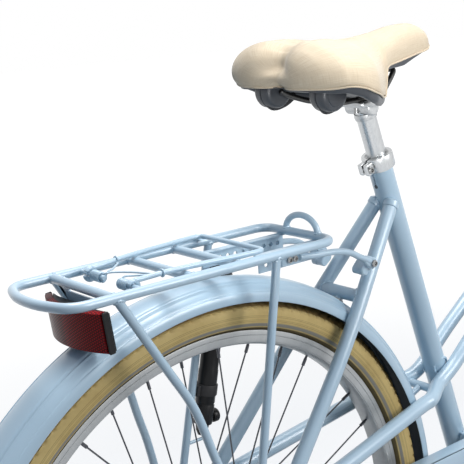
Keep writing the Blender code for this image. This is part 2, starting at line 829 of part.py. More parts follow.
def lateral_points(side):
    """Lateral tube from the seat stay, past the seat tube, to the head tube."""
    foot = stay_at(0.090, 1)
    beside = SEAT_TUBE_R + LATERAL_R - COPE
    join = steer_point(LATERAL_JOIN)
    route = [foot, (0.150, 0.0575, 0.108), (0.320, 0.0445, 0.1372), (0.352, 0.0435, 0.1430)]
    route += [(0.388, beside + 0.002, 0.1490), (0.4225, beside, 0.1665)]
    route += [(0.4572, beside, 0.1940), (0.5222, beside - 0.002, 0.2420)]
    route += [(join[0], LATERAL_JOIN_Y, join[2])]
    return [(x, side * y, h) for x, y, h in smooth_route(route, 2)]


def make_dropout(name, side):
    """Rear dropout: a plate with the axle's slot, a tongue for the stay and two eyelets."""
    foot, bend = stay_points(1)[0], STAY_BEND
    run = Vector((bend[0] - foot[0], bend[2] - foot[2])).normalized()
    across = Vector((-run[1], run[0])) * STAY_R * 0.85
    tongue = Vector((foot[0], foot[2])) - run * GAP
    slot = REAR_AXLE_R + GAP
    end_x, end_h = CHAIN_STAY_END
    outline = [tuple(tongue - across), (0.022, end_h + 0.026), (end_x + 0.004, end_h + 0.011)]
    outline += [(end_x + 0.006, end_h - 0.006), (slot + 0.010, -0.018), (slot, -0.020)]
    outline += arc((0, 0), slot, 0, math.pi, 8)
    outline += [(-slot, -0.020), (-0.016, -0.016), (-0.021, 0.0), (-0.014, 0.020)]
    outline += [(-0.0085, 0.0315), tuple(tongue + across)]
    middle = side * (REAR_HALF_SPACING + DROPOUT_WALL / 2)
    body = plate(name, [outline], DROPOUT_WALL, middle, BLUE_PAINT)
    for label, (x, h) in (("rack", EYELET), ("guard", GUARD_EYELET)):
        start = (x, side * (REAR_HALF_SPACING + DROPOUT_WALL / 2), h)
        end = (x, side * (DROPOUT_OUTER_Y + LUG_WALL), h)
        fuse(body, rod(f"{name}_{label}_lug", start, end, 0.0055, BLUE_PAINT, sides=12))
    return body


def make_frame():
    """Frame tubes, each its own piece and mitred to the next."""
    cutters = frame_cutters()
    pieces = {"seat_tube": make_seat_tube(cutters), "head_tube": make_head_tube()}
    shell_bore = clear_radius(SPINDLE_R)
    half = BRACKET_HALF_WIDTH
    section = [(shell_bore, half), (BRACKET_R, half), (BRACKET_R, -half), (shell_bore, -half)]
    pieces["bottom_bracket"] = turned(
        "bottom_bracket", clockwise(section), (BRACKET_X, 0, -BRACKET_DROP), BLUE_PAINT
    )
    bracket = (BRACKET_X, 0, -BRACKET_DROP)
    down = rod("down_tube", bracket, steer_point(DOWN_TUBE_JOIN), DOWN_TUBE_R, BLUE_PAINT)
    down_cutters = ("bracket", "seat", "head", "cup")
    pieces["down_tube"] = cut(down, *(cutters[name] for name in down_cutters))
    pieces["seat_stay_bridge"] = make_stay_bridge()
    pieces["lateral_bridge"] = make_lateral_bridge()
    for side, word in SIDES:
        stay_cutter = tube(
            f"seat_stay_cutter_{word}", stay_points(side), clear_radius(STAY_R, FRAME_SIDES), BLUE_PAINT,
            FRAME_SIDES,
        )
        lateral = lateral_points(side)
        radii = [STAY_R - GAP] + [LATERAL_R] * (len(lateral) - 1)
        tube_name = f"lateral_tube_{word}"
        pieces[tube_name] = tube(tube_name, lateral, LATERAL_R, BLUE_PAINT, FRAME_SIDES, radii)
        cut(pieces[tube_name], stay_cutter, cutters["seat"], cutters["head"])
        lateral_cutter = tube(
            f"lateral_cutter_{word}", lateral, clear_radius(LATERAL_R, FRAME_SIDES), BLUE_PAINT,
            FRAME_SIDES,
        )
        cut(pieces["seat_stay_bridge"], stay_cutter)
        cut(pieces["lateral_bridge"], lateral_cutter)
        pieces[f"seat_stay_{word}"] = make_seat_stay(side, word, cutters)
        pieces[f"chain_stay_{word}"] = make_chain_stay(side, word, cutters)
    return pieces


def make_seat_stay(side, word, cutters):
    """Seat stay with the lug that the carrier's arm is bolted to."""
    stay = tube(f"seat_stay_{word}", stay_points(side), STAY_R, BLUE_PAINT, FRAME_SIDES)
    at = stay_at(STAY_LUG_H, side)
    outer = ARM_INNER_Y - GAP
    inner = abs(at[1])
    wall = 0.004
    back_x = at[0] - STAY_R - wall / 2 + 0.002
    length, depth, height = STAY_LUG_SIZE
    face = box(
        f"stay_lug_{word}",
        (LUG_X + 0.001, side * (outer - depth / 2), STAY_LUG_H),
        (length, depth, height),
        BLUE_PAINT,
    )
    web = box(
        f"stay_lug_web_{word}",
        (back_x, side * (outer + inner - 0.001) / 2, STAY_LUG_H),
        (wall, outer - inner - 0.001, 0.016),
        BLUE_PAINT,
    )
    fuse(stay, face, web)
    return cut(stay, cutters["seat"])


def make_chain_stay(side, word, cutters):
    """Chain stay with its dropout."""
    xs = (CHAIN_STAY_END[0], CHAIN_STAY_BEND[0], BRACKET_X)
    points = [chain_stay_point(x, side) for x in xs]
    stay = tube(f"chain_stay_{word}", points, STAY_R, BLUE_PAINT, FRAME_SIDES)
    fuse(stay, make_dropout(f"dropout_{word}", side))
    return cut(stay, cutters["bracket"])


def make_stay_bridge():
    """Bridge between the seat stays, with a spacer down to the mudguard."""
    x, y, h = stay_at_reach(GUARD_CREST_R + BRIDGE_CLEARANCE)
    bridge = rod("seat_stay_bridge", (x, -y, h), (x, y, h), BRIDGE_R, BLUE_PAINT, sides=12)
    reach = math.hypot(x, h)
    scale = (GUARD_CREST_R + GAP) / reach
    spacer = rod("bridge_spacer", (x, 0, h), (x * scale, 0, h * scale), 0.005, BLUE_PAINT, sides=12)
    return fuse(bridge, spacer)


def make_lateral_bridge():
    """Bridge between the lateral tubes behind the seat tube, with a spacer to the mudguard."""
    points = np.array(lateral_points(1))
    order = np.argsort(points[:, 0])
    x = LATERAL_BRIDGE_X
    y, h = (float(np.interp(x, points[order, 0], points[order, k])) for k in (1, 2))
    h -= LATERAL_BRIDGE_DROP
    bridge = rod("lateral_bridge", (x, -y, h), (x, y, h), LATERAL_BRIDGE_R, BLUE_PAINT, sides=12)
    scale = (GUARD_CREST_R + GAP) / math.hypot(x, h)
    spacer = rod("lateral_spacer", (x, 0, h), (x * scale, 0, h * scale), 0.0045, BLUE_PAINT, sides=12)
    return fuse(bridge, spacer)


def make_seat_parts():
    """Seat collar and its bolt, seat post, saddle clamp and saddle."""
    pieces = {}
    top = SEAT_TUBE_TOP + 0.002
    foot = top - COLLAR_HEIGHT * math.sin(SEAT_ANGLE)
    collar = rod("seat_collar", seat_point(foot), seat_point(top), COLLAR_R, BARE_ALLOY, sides=18)
    bore = rod(
        "seat_collar_bore",
        seat_point(foot - 0.01),
        seat_point(top + 0.01),
        clear_radius(SEAT_TUBE_R, 18),
        BARE_ALLOY,
        sides=18,
    )
    lean = Matrix.Rotation(SEAT_ANGLE - math.pi / 2, 4, "Y")
    middle = (foot + top) / 2
    length, width, height = COLLAR_EAR
    ear_back = COLLAR_R + length / 2 - 0.003
    for side, word in SIDES:
        ear = box(
            f"collar_ear_{word}",
            seat_point(middle, ear_back, side * (COLLAR_SLOT + width) / 2),
            (length, width, height),
            BARE_ALLOY,
            lean,
        )
        fuse(collar, ear)
    slot = box(
        "seat_collar_slot",
        seat_point(middle, COLLAR_R),
        (0.03, COLLAR_SLOT, COLLAR_HEIGHT + 0.01),
        BARE_ALLOY,
        lean,
    )
    cut(collar, bore, slot)
    bolt_back = COLLAR_R + length / 2 - 0.001
    ear_y = COLLAR_SLOT / 2 + width
    hole = rod(
        "collar_bolt_hole",
        seat_point(middle, bolt_back, -ear_y - 0.01),
        seat_point(middle, bolt_back, ear_y + 0.01),
        clear_radius(0.0025, 12),
        BARE_ALLOY,
        sides=12,
    )
    cut(collar, hole)
    pieces["seat_collar"] = collar
    bolt = rod(
        "seat_collar_bolt",
        seat_point(middle, bolt_back, -ear_y - GAP - 0.004),
        seat_point(middle, bolt_back, ear_y - 0.001),
        0.0025,
        DARK_STEEL,
        sides=12,
    )
    head = rod(
        "collar_bolt_head",
        seat_point(middle, bolt_back, -ear_y - GAP - 0.004),
        seat_point(middle, bolt_back, -ear_y - GAP),
        0.0045,
        DARK_STEEL,
        sides=12,
    )
    pieces["seat_collar_bolt"] = fuse(bolt, head)
    pieces["seat_post"] = rod(
        "seat_post", seat_point(POST_FOOT), seat_point(POST_TOP), POST_R, BARE_ALLOY
    )
    pieces.update(make_saddle())
    trim = box("seat_post_trim", (CLAMP_X, 0, SADDLE_RAIL_H), CLAMP_ROOM, BARE_ALLOY)
    cut(pieces["seat_post"], trim)
    return pieces


def saddle_half_width(x):
    """Half width of the saddle's cover at x: a broad tail and a slim nose."""
    xs = (0.1215, 0.126, 0.136, 0.153, 0.175, 0.200, 0.225, 0.250, 0.275, 0.300, 0.330)
    ys = (0.030, 0.062, 0.085, 0.102, 0.107, 0.102, 0.085, 0.064, 0.046, 0.036, 0.030)
    nose_x = (0.355, 0.378, 0.390, 0.396)
    nose_y = (0.0265, 0.0235, 0.0160, 0.0060)
    return np.interp(x, xs + nose_x, ys + nose_y)


def saddle_crown(x):
    """Height of the saddle's crown at x, given in the table above the rails."""
    xs = (0.1215, 0.126, 0.136, 0.155, 0.180, 0.220, 0.260, 0.300, 0.335, 0.360, 0.378, 0.390, 0.396)
    above = (0.046, 0.062, 0.074, 0.0805, 0.0805, 0.0760, 0.0745, 0.0780, 0.0845, 0.0860)
    nose = (0.0810, 0.0710, 0.0620)
    return SADDLE_RAIL_H + np.interp(x, xs, above + nose)


def saddle_hem(x):
    """Height of the cover's lower edge at x, given in the table above the rails."""
    xs = (0.1215, 0.138, 0.155, 0.175, 0.190, 0.210, 0.235, 0.260, 0.274, 0.284, 0.294)
    above = (0.030, 0.025, 0.027, 0.024, 0.019, 0.013, 0.007, 0.003, 0.005, 0.022, 0.040)
    nose_x, nose = (0.380, 0.390, 0.396), (0.0510, 0.0525, 0.0550)
    return SADDLE_RAIL_H + np.interp(x, xs + nose_x, above + nose)


def saddle_rings():
    """Closed rings round the saddle's cover, one for each station from tail to nose."""
    t = np.linspace(0, 1, SADDLE_STATIONS)
    ease = 0.5 - 0.5 * np.cos(np.pi * t)
    xs = SADDLE_REAR_X + (SADDLE_NOSE_X - SADDLE_REAR_X) * (0.35 * t + 0.65 * ease)
    over = SADDLE_RING // 2
    angles = np.linspace(0, np.pi, over + 1)
    under = SADDLE_RING - over - 1
    rings = []
    for x in xs:
        width, crown, hem = saddle_half_width(x), saddle_crown(x), saddle_hem(x)
        y = width * np.sign(np.cos(angles)) * np.abs(np.cos(angles)) ** 0.75
        rise = np.sin(angles) ** 0.62
        groove = 0.006 * np.exp(-((y / 0.016) ** 2)) * np.clip((0.24 - x) / 0.10, 0, 1)
        lobe = 1 - 0.06 * np.clip((0.24 - x) / 0.08, 0, 1) * (np.abs(y) / width) ** 2
        h = hem + (crown - hem) * rise * lobe - groove
        floor_y = np.linspace(-width, width, under + 2)[1:-1]
        floor_h = hem + 0.35 * (crown - hem) * (1 - np.abs(floor_y / width) ** 4)
        y = np.concatenate((y, floor_y))
        h = np.concatenate((h, floor_h))
        rings.append(np.column_stack((np.full(len(y), x), y, h)))
    return np.array(rings)


def loft(name, rings, material):
    """Closed solid through rings of equal point counts, with flat ends."""
    bm = bmesh.new()
    rows = [[bm.verts.new(place(*point)) for point in ring] for ring in rings]
    for first, second in zip(rows, rows[1:]):
        for index in range(len(first)):
            after = (index + 1) % len(first)
            bm.faces.new((first[index], first[after], second[after], second[index]))
    bm.faces.new(rows[0])
    bm.faces.new(rows[-1])
    return add_mesh(name, bm, material)


def make_saddle():
    """Padded cover over a hollow base, two rails, two rubber springs and the clamp."""
    rings = saddle_rings()
    cover = loft("saddle_cover", rings, BEIGE_COVER)
    over = SADDLE_RING // 2 + 1
    shell = rings[1:-1].copy()
    shell[:, :, 0] = CLAMP_X + (shell[:, :, 0] - CLAMP_X) * SHELL_REACH
    shell[:, :, 1] *= SHELL_SPREAD
    for row in shell:
        floor = min(row[0, 2] + SHELL_RISE, row[over:, 2].max() - SHELL_ROOM)
        row[over:, 2] -= SHELL_GAP
        roof = np.interp(row[:over, 1], row[over:, 1], row[over:, 2])
        row[:over, 2] = np.minimum(roof - SHELL_EDGE, floor)
    base = loft("saddle_base", shell, GREY_PLASTIC)
    for side, word in SIDES:
        x, y = BUMPER_AT
        h = SADDLE_RAIL_H + BUMPER_ABOVE_RAILS
        start, end = side * (y - BUMPER_HALF_WIDTH), side * (y + BUMPER_HALF_WIDTH)
        bumper = rod(
            f"saddle_bumper_{word}", (x, start, h), (x, end, h), BUMPER_R, GREY_PLASTIC, sides=14
        )
        fuse(base, bumper)
    return {"saddle_cover": cover, "saddle_base": base, **make_saddle_rails(base)}


def saddle_rail_points(side):
    """One rail, from under the tail, down to the clamp and up to the nose."""
    route = [(0.168, 0.030, 0.0170), (0.185, 0.028, 0.0090), (0.215, SADDLE_RAIL_Y, 0.0)]
    route += [(0.290, SADDLE_RAIL_Y, 0.0), (0.306, 0.016, 0.0100), (0.328, 0.009, 0.0270)]
    return [(x, side * y, SADDLE_RAIL_H + above) for x, y, above in route]


def make_saddle_rails(base):
    """Two rails joined at the nose, and the clamp block that grips them."""
    left = saddle_rail_points(1)
    right = saddle_rail_points(-1)
    rails = tube("saddle_rails", left + right[::-1], SADDLE_RAIL_R, DARK_STEEL, 8)
    socket = tube("saddle_rail_socket", left + right[::-1], SADDLE_RAIL_R + GAP, DARK_STEEL, 8)
    room = box("saddle_clamp_room", (CLAMP_X, 0, SADDLE_RAIL_H), CLAMP_ROOM, GREY_PLASTIC)
    cut(base, socket, room)
    clamp = box("saddle_clamp", (CLAMP_X, 0, SADDLE_RAIL_H), CLAMP_SIZE, BARE_ALLOY)
    for side, word in SIDES:
        groove = rod(
            f"saddle_clamp_groove_{word}",
            (CLAMP_X - 0.05, side * SADDLE_RAIL_Y, SADDLE_RAIL_H),
            (CLAMP_X + 0.05, side * SADDLE_RAIL_Y, SADDLE_RAIL_H),
            clear_radius(SADDLE_RAIL_R, 12),
            BARE_ALLOY,
            sides=12,
        )
        cut(clamp, groove)
    return {"saddle_rails": rails, "saddle_clamp": clamp}


def make_fork():
    """Fork: steerer, crown, two raked blades, dropouts and the headset's lock nut."""
    up = tuple(Vector(steer_point(1.0)) - Vector(steer_point(0.0)))
    top = HEAD_TOP + GAP + HEADSET_NUT_HEIGHT
    bore = clear_radius(QUILL_R)
    nut_foot = HEAD_TOP + GAP - CROWN_AT
    section = [(bore, 0.0), (STEERER_R, 0.0), (STEERER_R, nut_foot), (HEADSET_NUT_R, nut_foot)]
    section += [(HEADSET_NUT_R, top - CROWN_AT), (bore, top - CROWN_AT)]
    fork = turned("fork", clockwise(section), steer_point(CROWN_AT), BLUE_PAINT, axis=up)
    crown = rod(
        "fork_crown",
        steer_point(CROWN_AT, y=-CROWN_HALF_WIDTH),
        steer_point(CROWN_AT, y=CROWN_HALF_WIDTH),
        CROWN_R,
        BLUE_PAINT,
    )
    foot = Vector(steer_point(0.0, FORK_RAKE))
    inward = (foot - Vector(steer_point(CROWN_AT))).normalized()
    turn = math.atan2(-inward.z, -inward.x) - FRONT_GUARD_FROM
    beside = turn % GUARD_STEP - GUARD_STEP / 2
    crest = GUARD_CREST_R * math.cos(GUARD_STEP / 2) / math.cos(beside)
    boss_end = foot - inward * (crest + 2 * GAP)
    boss = rod("fork_guard_boss", steer_point(CROWN_AT), tuple(boss_end), 0.005, BLUE_PAINT, sides=12)
    fuse(fork, crown, boss)
    for side, word in SIDES:
        fuse(fork, *make_blade(side, word))
    return fork


def make_blade(side, word):
    """One fork blade and its dropout."""
    y_foot = side * (FRONT_HALF_SPACING + DROPOUT_WALL / 2)
    y_top = side * BLADE_TOP_Y
    route = [steer_point(CROWN_AT, 0.0, y_top), steer_point(0.20, 0.0, side * 0.0475)]
    route += [steer_point(0.11, 0.009, side * 0.0490), steer_point(*BLADE_FOOT, y_foot)]
    points = smooth_route(route, 2)
    radii = np.linspace(BLADE_TOP_R, BLADE_FOOT_R, len(points))
    blade = tube(f"fork_blade_{word}", points, BLADE_TOP_R, BLUE_PAINT, 8, list(radii))
    hole_sides = 10
    hole = arc((WHEEL_BASE, 0), clear_radius(FRONT_AXLE_R, hole_sides), 0, 2 * math.pi, hole_sides)
    tip = steer_point(BLADE_FOOT[0] + 0.004, BLADE_FOOT[1])
    outline = hull_outline((WHEEL_BASE, 0), 0.0125, (tip[0], tip[2]), BLADE_FOOT_R * 0.9, 8)
    end = plate(f"fork_end_{word}", [outline, hole[:-1]], DROPOUT_WALL, y_foot, BLUE_PAINT)
    return end, blade


def bar_points(side):
    """Half of the handlebar, from its middle to the end under the grip."""
    x, _, h = steer_point(STEM_TOP, STEM_REACH)
    route = [(0.0, 0.028, 0.0), (0.004, 0.075, 0.012), (0.012, 0.140, 0.046), (-0.004, 0.210, 0.078)]
    route += [(-0.062, 0.262, 0.090), (-0.125, 0.283, 0.084)]
    points = smooth_route(route, 2)
    end = (-0.245, 0.300, 0.070)
    return [(x + px, side * py, h + ph) for px, py, ph in points + [end]]


def make_steering():
    """Fork, stem, handlebar and grips."""
    pieces = {"fork": make_fork()}
    clamp = steer_point(STEM_TOP, STEM_REACH)
    stem = rod("stem", steer_point(QUILL_FOOT), steer_point(STEM_TOP), QUILL_R, BARE_ALLOY)
    collar_foot = HEAD_TOP + 2 * GAP + HEADSET_NUT_HEIGHT
    neck = rod(
        "stem_neck", steer_point(collar_foot), steer_point(STEM_TOP + 0.012), STEM_R, BARE_ALLOY
    )
    reach = rod("stem_reach", steer_point(STEM_TOP), clamp, STEM_R, BARE_ALLOY)
    half = STEM_CLAMP_HALF_WIDTH
    ring = rod(
        "stem_ring",
        (clamp[0], -half, clamp[2]),
        (clamp[0], half, clamp[2]),
        STEM_CLAMP_R,
        BARE_ALLOY,
    )
    hole = rod(
        "stem_hole",
        (clamp[0], -0.05, clamp[2]),
        (clamp[0], 0.05, clamp[2]),
        clear_radius(BAR_SLEEVE_R),
        BARE_ALLOY,
    )
    pieces["stem"] = cut(fuse(stem, neck, reach, ring), hole)
    left, right = bar_points(1), bar_points(-1)
    bar = tube("handlebar", right[::-1] + left, BAR_R, BARE_ALLOY, COARSE)
    half = BAR_SLEEVE_HALF_WIDTH
    sleeve = rod(
        "handlebar_sleeve",
        (clamp[0], -half, clamp[2]),
        (clamp[0], half, clamp[2]),
        BAR_SLEEVE_R,
        BARE_ALLOY,
    )
    pieces["handlebar"] = fuse(bar, sleeve)
    for side, word in SIDES:
        pieces[f"grip_{word}"] = make_grip(side, word)
    return pieces


def make_grip(side, word):
    """Grip: a closed sleeve over the end of the bar."""
    start, end = (Vector(point) for point in bar_points(side)[-2:])
    run = (end - start).normalized()
    tip = end + run * (GRIP_END_WALL + GAP)
    open_end = tip - run * GRIP_LENGTH
    grip = rod(f"grip_{word}", tuple(open_end), tuple(tip), GRIP_R, BLACK_RUBBER)
    bore = rod(
        f"grip_bore_{word}",
        tuple(open_end - run * 0.01),
        tuple(end + run * GAP),
        clear_radius(BAR_R, 12),
        BLACK_RUBBER,
        sides=12,
    )
    return cut(grip, bore)


def make_lamp():
    """Round front lamp on a wire bracket in front of the crown."""
    crown = steer_point(CROWN_AT)
    x, h = crown[0] + LAMP_AHEAD, crown[2] + LAMP_ABOVE
    section = [(0.0, 0.018), (LAMP_R * 0.8, 0.016), (LAMP_R, 0.010), (LAMP_R, -0.004)]
    section += [(LAMP_R * 0.8, -0.026), (LAMP_R * 0.4, -0.038), (0.0, -0.040)]
    lamp = turned("front_lamp", section, (x, 0, h), BARE_ALLOY, axis=(1, 0, 0))
    start = (crown[0] + CROWN_R / 2, 0.0, crown[2] + 0.002)
    bend = (crown[0] + CROWN_R + 0.018, 0.0, crown[2] + 0.012)
    route = [start, bend, (x - 0.010, 0, h - LAMP_R * 0.7)]
    bracket = tube("lamp_bracket", route, 0.0035, BARE_ALLOY, 8)
    seat = rod(
        "lamp_bracket_trim",
        steer_point(CROWN_AT, y=-CROWN_HALF_WIDTH),
        steer_point(CROWN_AT, y=CROWN_HALF_WIDTH),
        clear_radius(CROWN_R, FINE),
        BARE_ALLOY,
    )
    cut(bracket, seat)
    return fuse(lamp, bracket)


def hull_outline(first, first_r, second, second_r, steps):
    """Outline round two circles and their outer tangents."""
    a, b = Vector(first), Vector(second)
    span = b - a
    base = math.atan2(span.y, span.x)
    lean = math.acos((first_r - second_r) / span.length)
    outline = arc(first, first_r, base + lean, base + 2 * math.pi - lean, steps)
    outline += arc(second, second_r, base - lean, base + lean, steps // 2)
    return outline


def make_drive():
    """Cranks, spindle, pedals, chain, sprocket and chain case."""
    bracket = (BRACKET_X, -BRACKET_DROP)
    pieces = {}
    end = CRANK_INNER_Y + CRANK_WALL
    spindle_end = end - 0.0015
    pieces["crank_spindle"] = rod(
        "crank_spindle",
        (BRACKET_X, -spindle_end, -BRACKET_DROP),
        (BRACKET_X, spindle_end, -BRACKET_DROP),
        SPINDLE_R,
        DARK_STEEL,
    )
    for side, word in SIDES:
        pieces[f"crank_{word}"] = make_crank(side, word)
        pieces[f"pedal_{word}"] = make_pedal(side, word)
    half = CHAIN_HEIGHT / 2
    outer = hull_outline(bracket, CHAINRING_R + half, (0, 0), SPROCKET_R + half, 24)
    inner = hull_outline(bracket, CHAINRING_R - half, (0, 0), SPROCKET_R - half, 24)
    pieces["chain"] = plate("chain", [outer, inner], CHAIN_WIDTH, -CHAIN_LINE, DARK_STEEL)
    disc = SPROCKET_R - half - 2 * GAP
    half_wall = RING_WALL / 2
    bore = clear_radius(HUB_END_R)
    section = [(disc, half_wall), (disc, -half_wall), (bore, -half_wall), (bore, half_wall)]
    pieces["rear_sprocket"] = turned(
        "rear_sprocket", clockwise(section), (0, -CHAIN_LINE, 0), DARK_STEEL, 24
    )
    pieces["chain_case"] = make_chain_case()
    return pieces


def make_crank(side, word):
    """Crank arm with its boss and pedal pin, and on the right the chainring."""
    x, h = BRACKET_X, -BRACKET_DROP
    tip_x = x - side * CRANK_LENGTH
    middle = side * (CRANK_INNER_Y + CRANK_WALL / 2)
    outline = hull_outline((x, h), CRANK_BOSS_R - 0.0015, (tip_x, h), CRANK_TIP_R, 8)
    crank = plate(f"crank_{word}", [outline], CRANK_WALL, middle, BARE_ALLOY)
    inner = CHAIN_LINE - RING_WALL if side < 0 else BRACKET_HALF_WIDTH + 0.002
    outer = CRANK_INNER_Y + CRANK_WALL
    boss = rod(
        f"crank_boss_{word}",
        (x, side * inner, h),
        (x, side * (outer + 0.001), h),
        CRANK_BOSS_R,
        BARE_ALLOY,
        sides=16,
    )
    pin_end = outer + PEDAL_CLEARANCE + PEDAL_SIZE[1] + 0.001
    pin = rod(
        f"pedal_pin_{word}",
        (tip_x, middle, h),
        (tip_x, side * pin_end, h),
        PEDAL_PIN_R,
        DARK_STEEL,
        sides=12,
    )
    fuse(crank, boss, pin)
    if side < 0:
        disc_r = CHAINRING_R - CHAIN_HEIGHT / 2 - 2 * GAP
        disc = arc((x, h), disc_r, 0, 2 * math.pi, 30)[:-1]
        windows = []
        for index in range(5):
            turn = 2 * math.pi * (index + 0.5) / 5
            centre = (x + 0.052 * math.cos(turn), h + 0.052 * math.sin(turn))
            windows.append(arc(centre, 0.019, 0.2, 0.2 + 2 * math.pi, 6)[:-1])
        ring = plate("chainring", [disc, *windows], RING_WALL, -CHAIN_LINE, BARE_ALLOY)
        fuse(crank, ring)
    hole = rod(
        f"crank_hole_{word}",
        (x, side * (inner - 0.01), h),
        (x, side * (outer + 0.01), h),
        clear_radius(SPINDLE_R),
        BARE_ALLOY,
    )
    return cut(crank, hole)


def make_pedal(side, word):
    """Flat pedal block that turns on the crank's pin."""
    x, h = BRACKET_X - side * CRANK_LENGTH, -BRACKET_DROP
    inner = CRANK_INNER_Y + CRANK_WALL + PEDAL_CLEARANCE
    middle = side * (inner + PEDAL_SIZE[1] / 2)
    pedal = box(f"pedal_{word}", (x, middle, h), PEDAL_SIZE, BLACK_RUBBER)
    bevel = pedal.modifiers.new("edges", "BEVEL")
    bevel.width = 0.004
    bevel.segments = 1
    bore = rod(
        f"pedal_bore_{word}",
        (x, side * (inner - 0.01), h),
        (x, side * (inner + PEDAL_SIZE[1] + 0.01), h),
        clear_radius(PEDAL_PIN_R, 12),
        BLACK_RUBBER,
        sides=12,
    )
    return cut(pedal, bore)


def make_chain_case():
    """Half open chain case: an outer plate and a roof over the chain's upper run."""
    bracket = (BRACKET_X, -BRACKET_DROP)
    start, end = math.radians(90), math.radians(-25)
    outer_arc = arc(bracket, CASE_ROUND_R, start, end, 12)
    inner_r = CASE_ROUND_R - CASE_DEPTH
    inner_arc = arc(bracket, inner_r, end, math.radians(75), 8)
    floor_h = CASE_TOP - CASE_DEPTH
    outline = [(CASE_REAR_X, CASE_TOP), *outer_arc, *inner_arc]
    outline += [(BRACKET_X - 0.05, floor_h), (CASE_REAR_X, floor_h)]
    wall_y = -CASE_OUTER_Y + CASE_WALL / 2
    case = plate("chain_case", [outline], CASE_WALL, wall_y, BLUE_PAINT)
    lip = CASE_WALL / 4
    high_arc = arc(bracket, CASE_ROUND_R - lip, start, end + 0.01, 12)
    low_arc = arc(bracket, CASE_ROUND_R - CASE_WALL, end + 0.01, start, 12)
    rear = CASE_REAR_X + lip
    roof = [(rear, CASE_TOP - lip), *high_arc, *low_arc, (rear, CASE_TOP - CASE_WALL)]
    depth = CASE_OUTER_Y - CASE_INNER_Y - CASE_WALL / 2
    top = plate("chain_case_roof", [roof], depth, -CASE_INNER_Y - depth / 2, BLUE_PAINT)
    h = CASE_TOP - 0.008
    seat = seat_point(h)
    reach = CASE_INNER_Y - SEAT_TUBE_R - GAP
    front = box(
        "chain_case_bracket",
        (seat[0], -SEAT_TUBE_R - GAP - reach / 2 - 0.001, h),
        (0.014, reach + 0.002, 0.014),
        BLUE_PAINT,
    )
    stay = chain_stay_point(0.105, -1)
    foot = stay[2] + STAY_R + 2 * GAP
    tab = box(
        "chain_case_tab",
        (0.105, wall_y, (foot + floor_h) / 2 + 0.001),
        (0.014, CASE_WALL / 2, floor_h - foot + 0.002),
        BLUE_PAINT,
    )
    return fuse(case, top, front, tab)


def rack_loop():
    """Points of the carrier's closed rail loop, seen from above."""
    x0, x1, y = RACK_REAR_X, RACK_FRONT_X, RACK_HALF_WIDTH
    r = RACK_CORNER_R
    quarter = math.pi / 2
    loop = arc((x1 - r * 0.6, y - r * 0.6), r * 0.6, quarter, 0, 3)
    loop += arc((x1 - r * 0.6, -y + r * 0.6), r * 0.6, 0, -quarter, 3)
    loop += arc((x0 + r, -y + r), r, -quarter, -2 * quarter, 5)
    loop += arc((x0 + r, y - r), r, 2 * quarter, quarter, 5)
    return [(px, py, RACK_H) for px, py in loop]


def make_rack_deck():
    """Carrier deck: rail loop, cross bars, hinge pins, side plates and hanger."""
    deck = tube("rack_deck", rack_loop(), RACK_TUBE_R, BLUE_PAINT, 8, closed=True)
    y = RACK_HALF_WIDTH
    for index, x in enumerate(RACK_BARS):
        bar = rod(
            f"rack_bar_{index}", (x, -y, RACK_H), (x, y, RACK_H), RACK_TUBE_R * 0.95, BLUE_PAINT,
            sides=6,
        )
        fuse(deck, bar)
    for side, word in SIDES:
        pin = rod(
            f"hinge_pin_{word}",
            (HINGE_X, side * y, RACK_H),
            (HINGE_X, side * HINGE_PIN_INNER_Y, RACK_H),
            HINGE_PIN_R,
            DARK_STEEL,
            sides=12,
        )
        fuse(deck, pin, *make_side_plate(side, word))
    hanger_top, hanger_foot = RACK_H - RACK_TUBE_R * 0.5, REFLECTOR_FOOT_H + 0.016
    hanger = box(
        "reflector_hanger",
        (RACK_BARS[0] + 0.0005, 0, (hanger_top + hanger_foot) / 2),
        (0.0024, 0.046, hanger_top - hanger_foot),
        BLUE_PAINT,
    )
    return fuse(deck, hanger)


def make_rack_hoop():
    """Wire hoop that stands on the carrier's front rail."""
    feet = [
        (RACK_FRONT_X, HOOP_HALF_WIDTH * math.cos(a), RACK_H + HOOP_RISE * math.sin(a))
        for a in np.linspace(0, math.pi, HOOP_POINTS)
    ]
    hoop = tube("rack_hoop", feet, HOOP_R, BLUE_PAINT, 8)
    cope = clear_radius(RACK_TUBE_R + GAP / 2, 8)
    return cut(hoop, tube("hoop_rail_cutter", rack_loop(), cope, BLUE_PAINT, 8, closed=True))


def make_side_plate(side, word):
    """Perforated angle under the deck that the arms to the frame are bolted to."""
    start, end = PLATE_REAR_X[side], RACK_FRONT_X + RACK_TUBE_R * 0.6
    top = RACK_H - RACK_TUBE_R + 0.0012
    outline = [(start, top), (end, top), (end, PLATE_FOOT_H), (start, PLATE_FOOT_H)]
    holes = []
    for x in np.arange(end - 0.009, start + 0.006, -0.0115):
        holes.append(arc((float(x), PLATE_FOOT_H + 0.0065), 0.0028, 0.3, 0.3 + 2 * math.pi, 5)[:-1])
    web = plate(f"side_plate_{word}", [outline, *holes], PLATE_WALL, side * PLATE_Y, BLUE_PAINT)
    flange_h = top - PLATE_WALL / 2 - 0.0005
    flange = box(
        f"side_flange_{word}",
        ((start + end) / 2, side * (PLATE_Y - PLATE_FLANGE / 2), flange_h),
        (end - start - 0.001, PLATE_FLANGE, PLATE_WALL),
        BLUE_PAINT,
    )
    return web, flange


def leg_top(x):
    """Place on a rail's axis that a leg runs up to, on the left."""
    return (x, RACK_HALF_WIDTH, RACK_H)


def front_leg_points(side):
    top = leg_top(0.0688)
    foot = (EYELET[0], LEG_FOOT_Y, EYELET[1])
    return [(x, side * y, h) for x, y, h in (top, foot)]


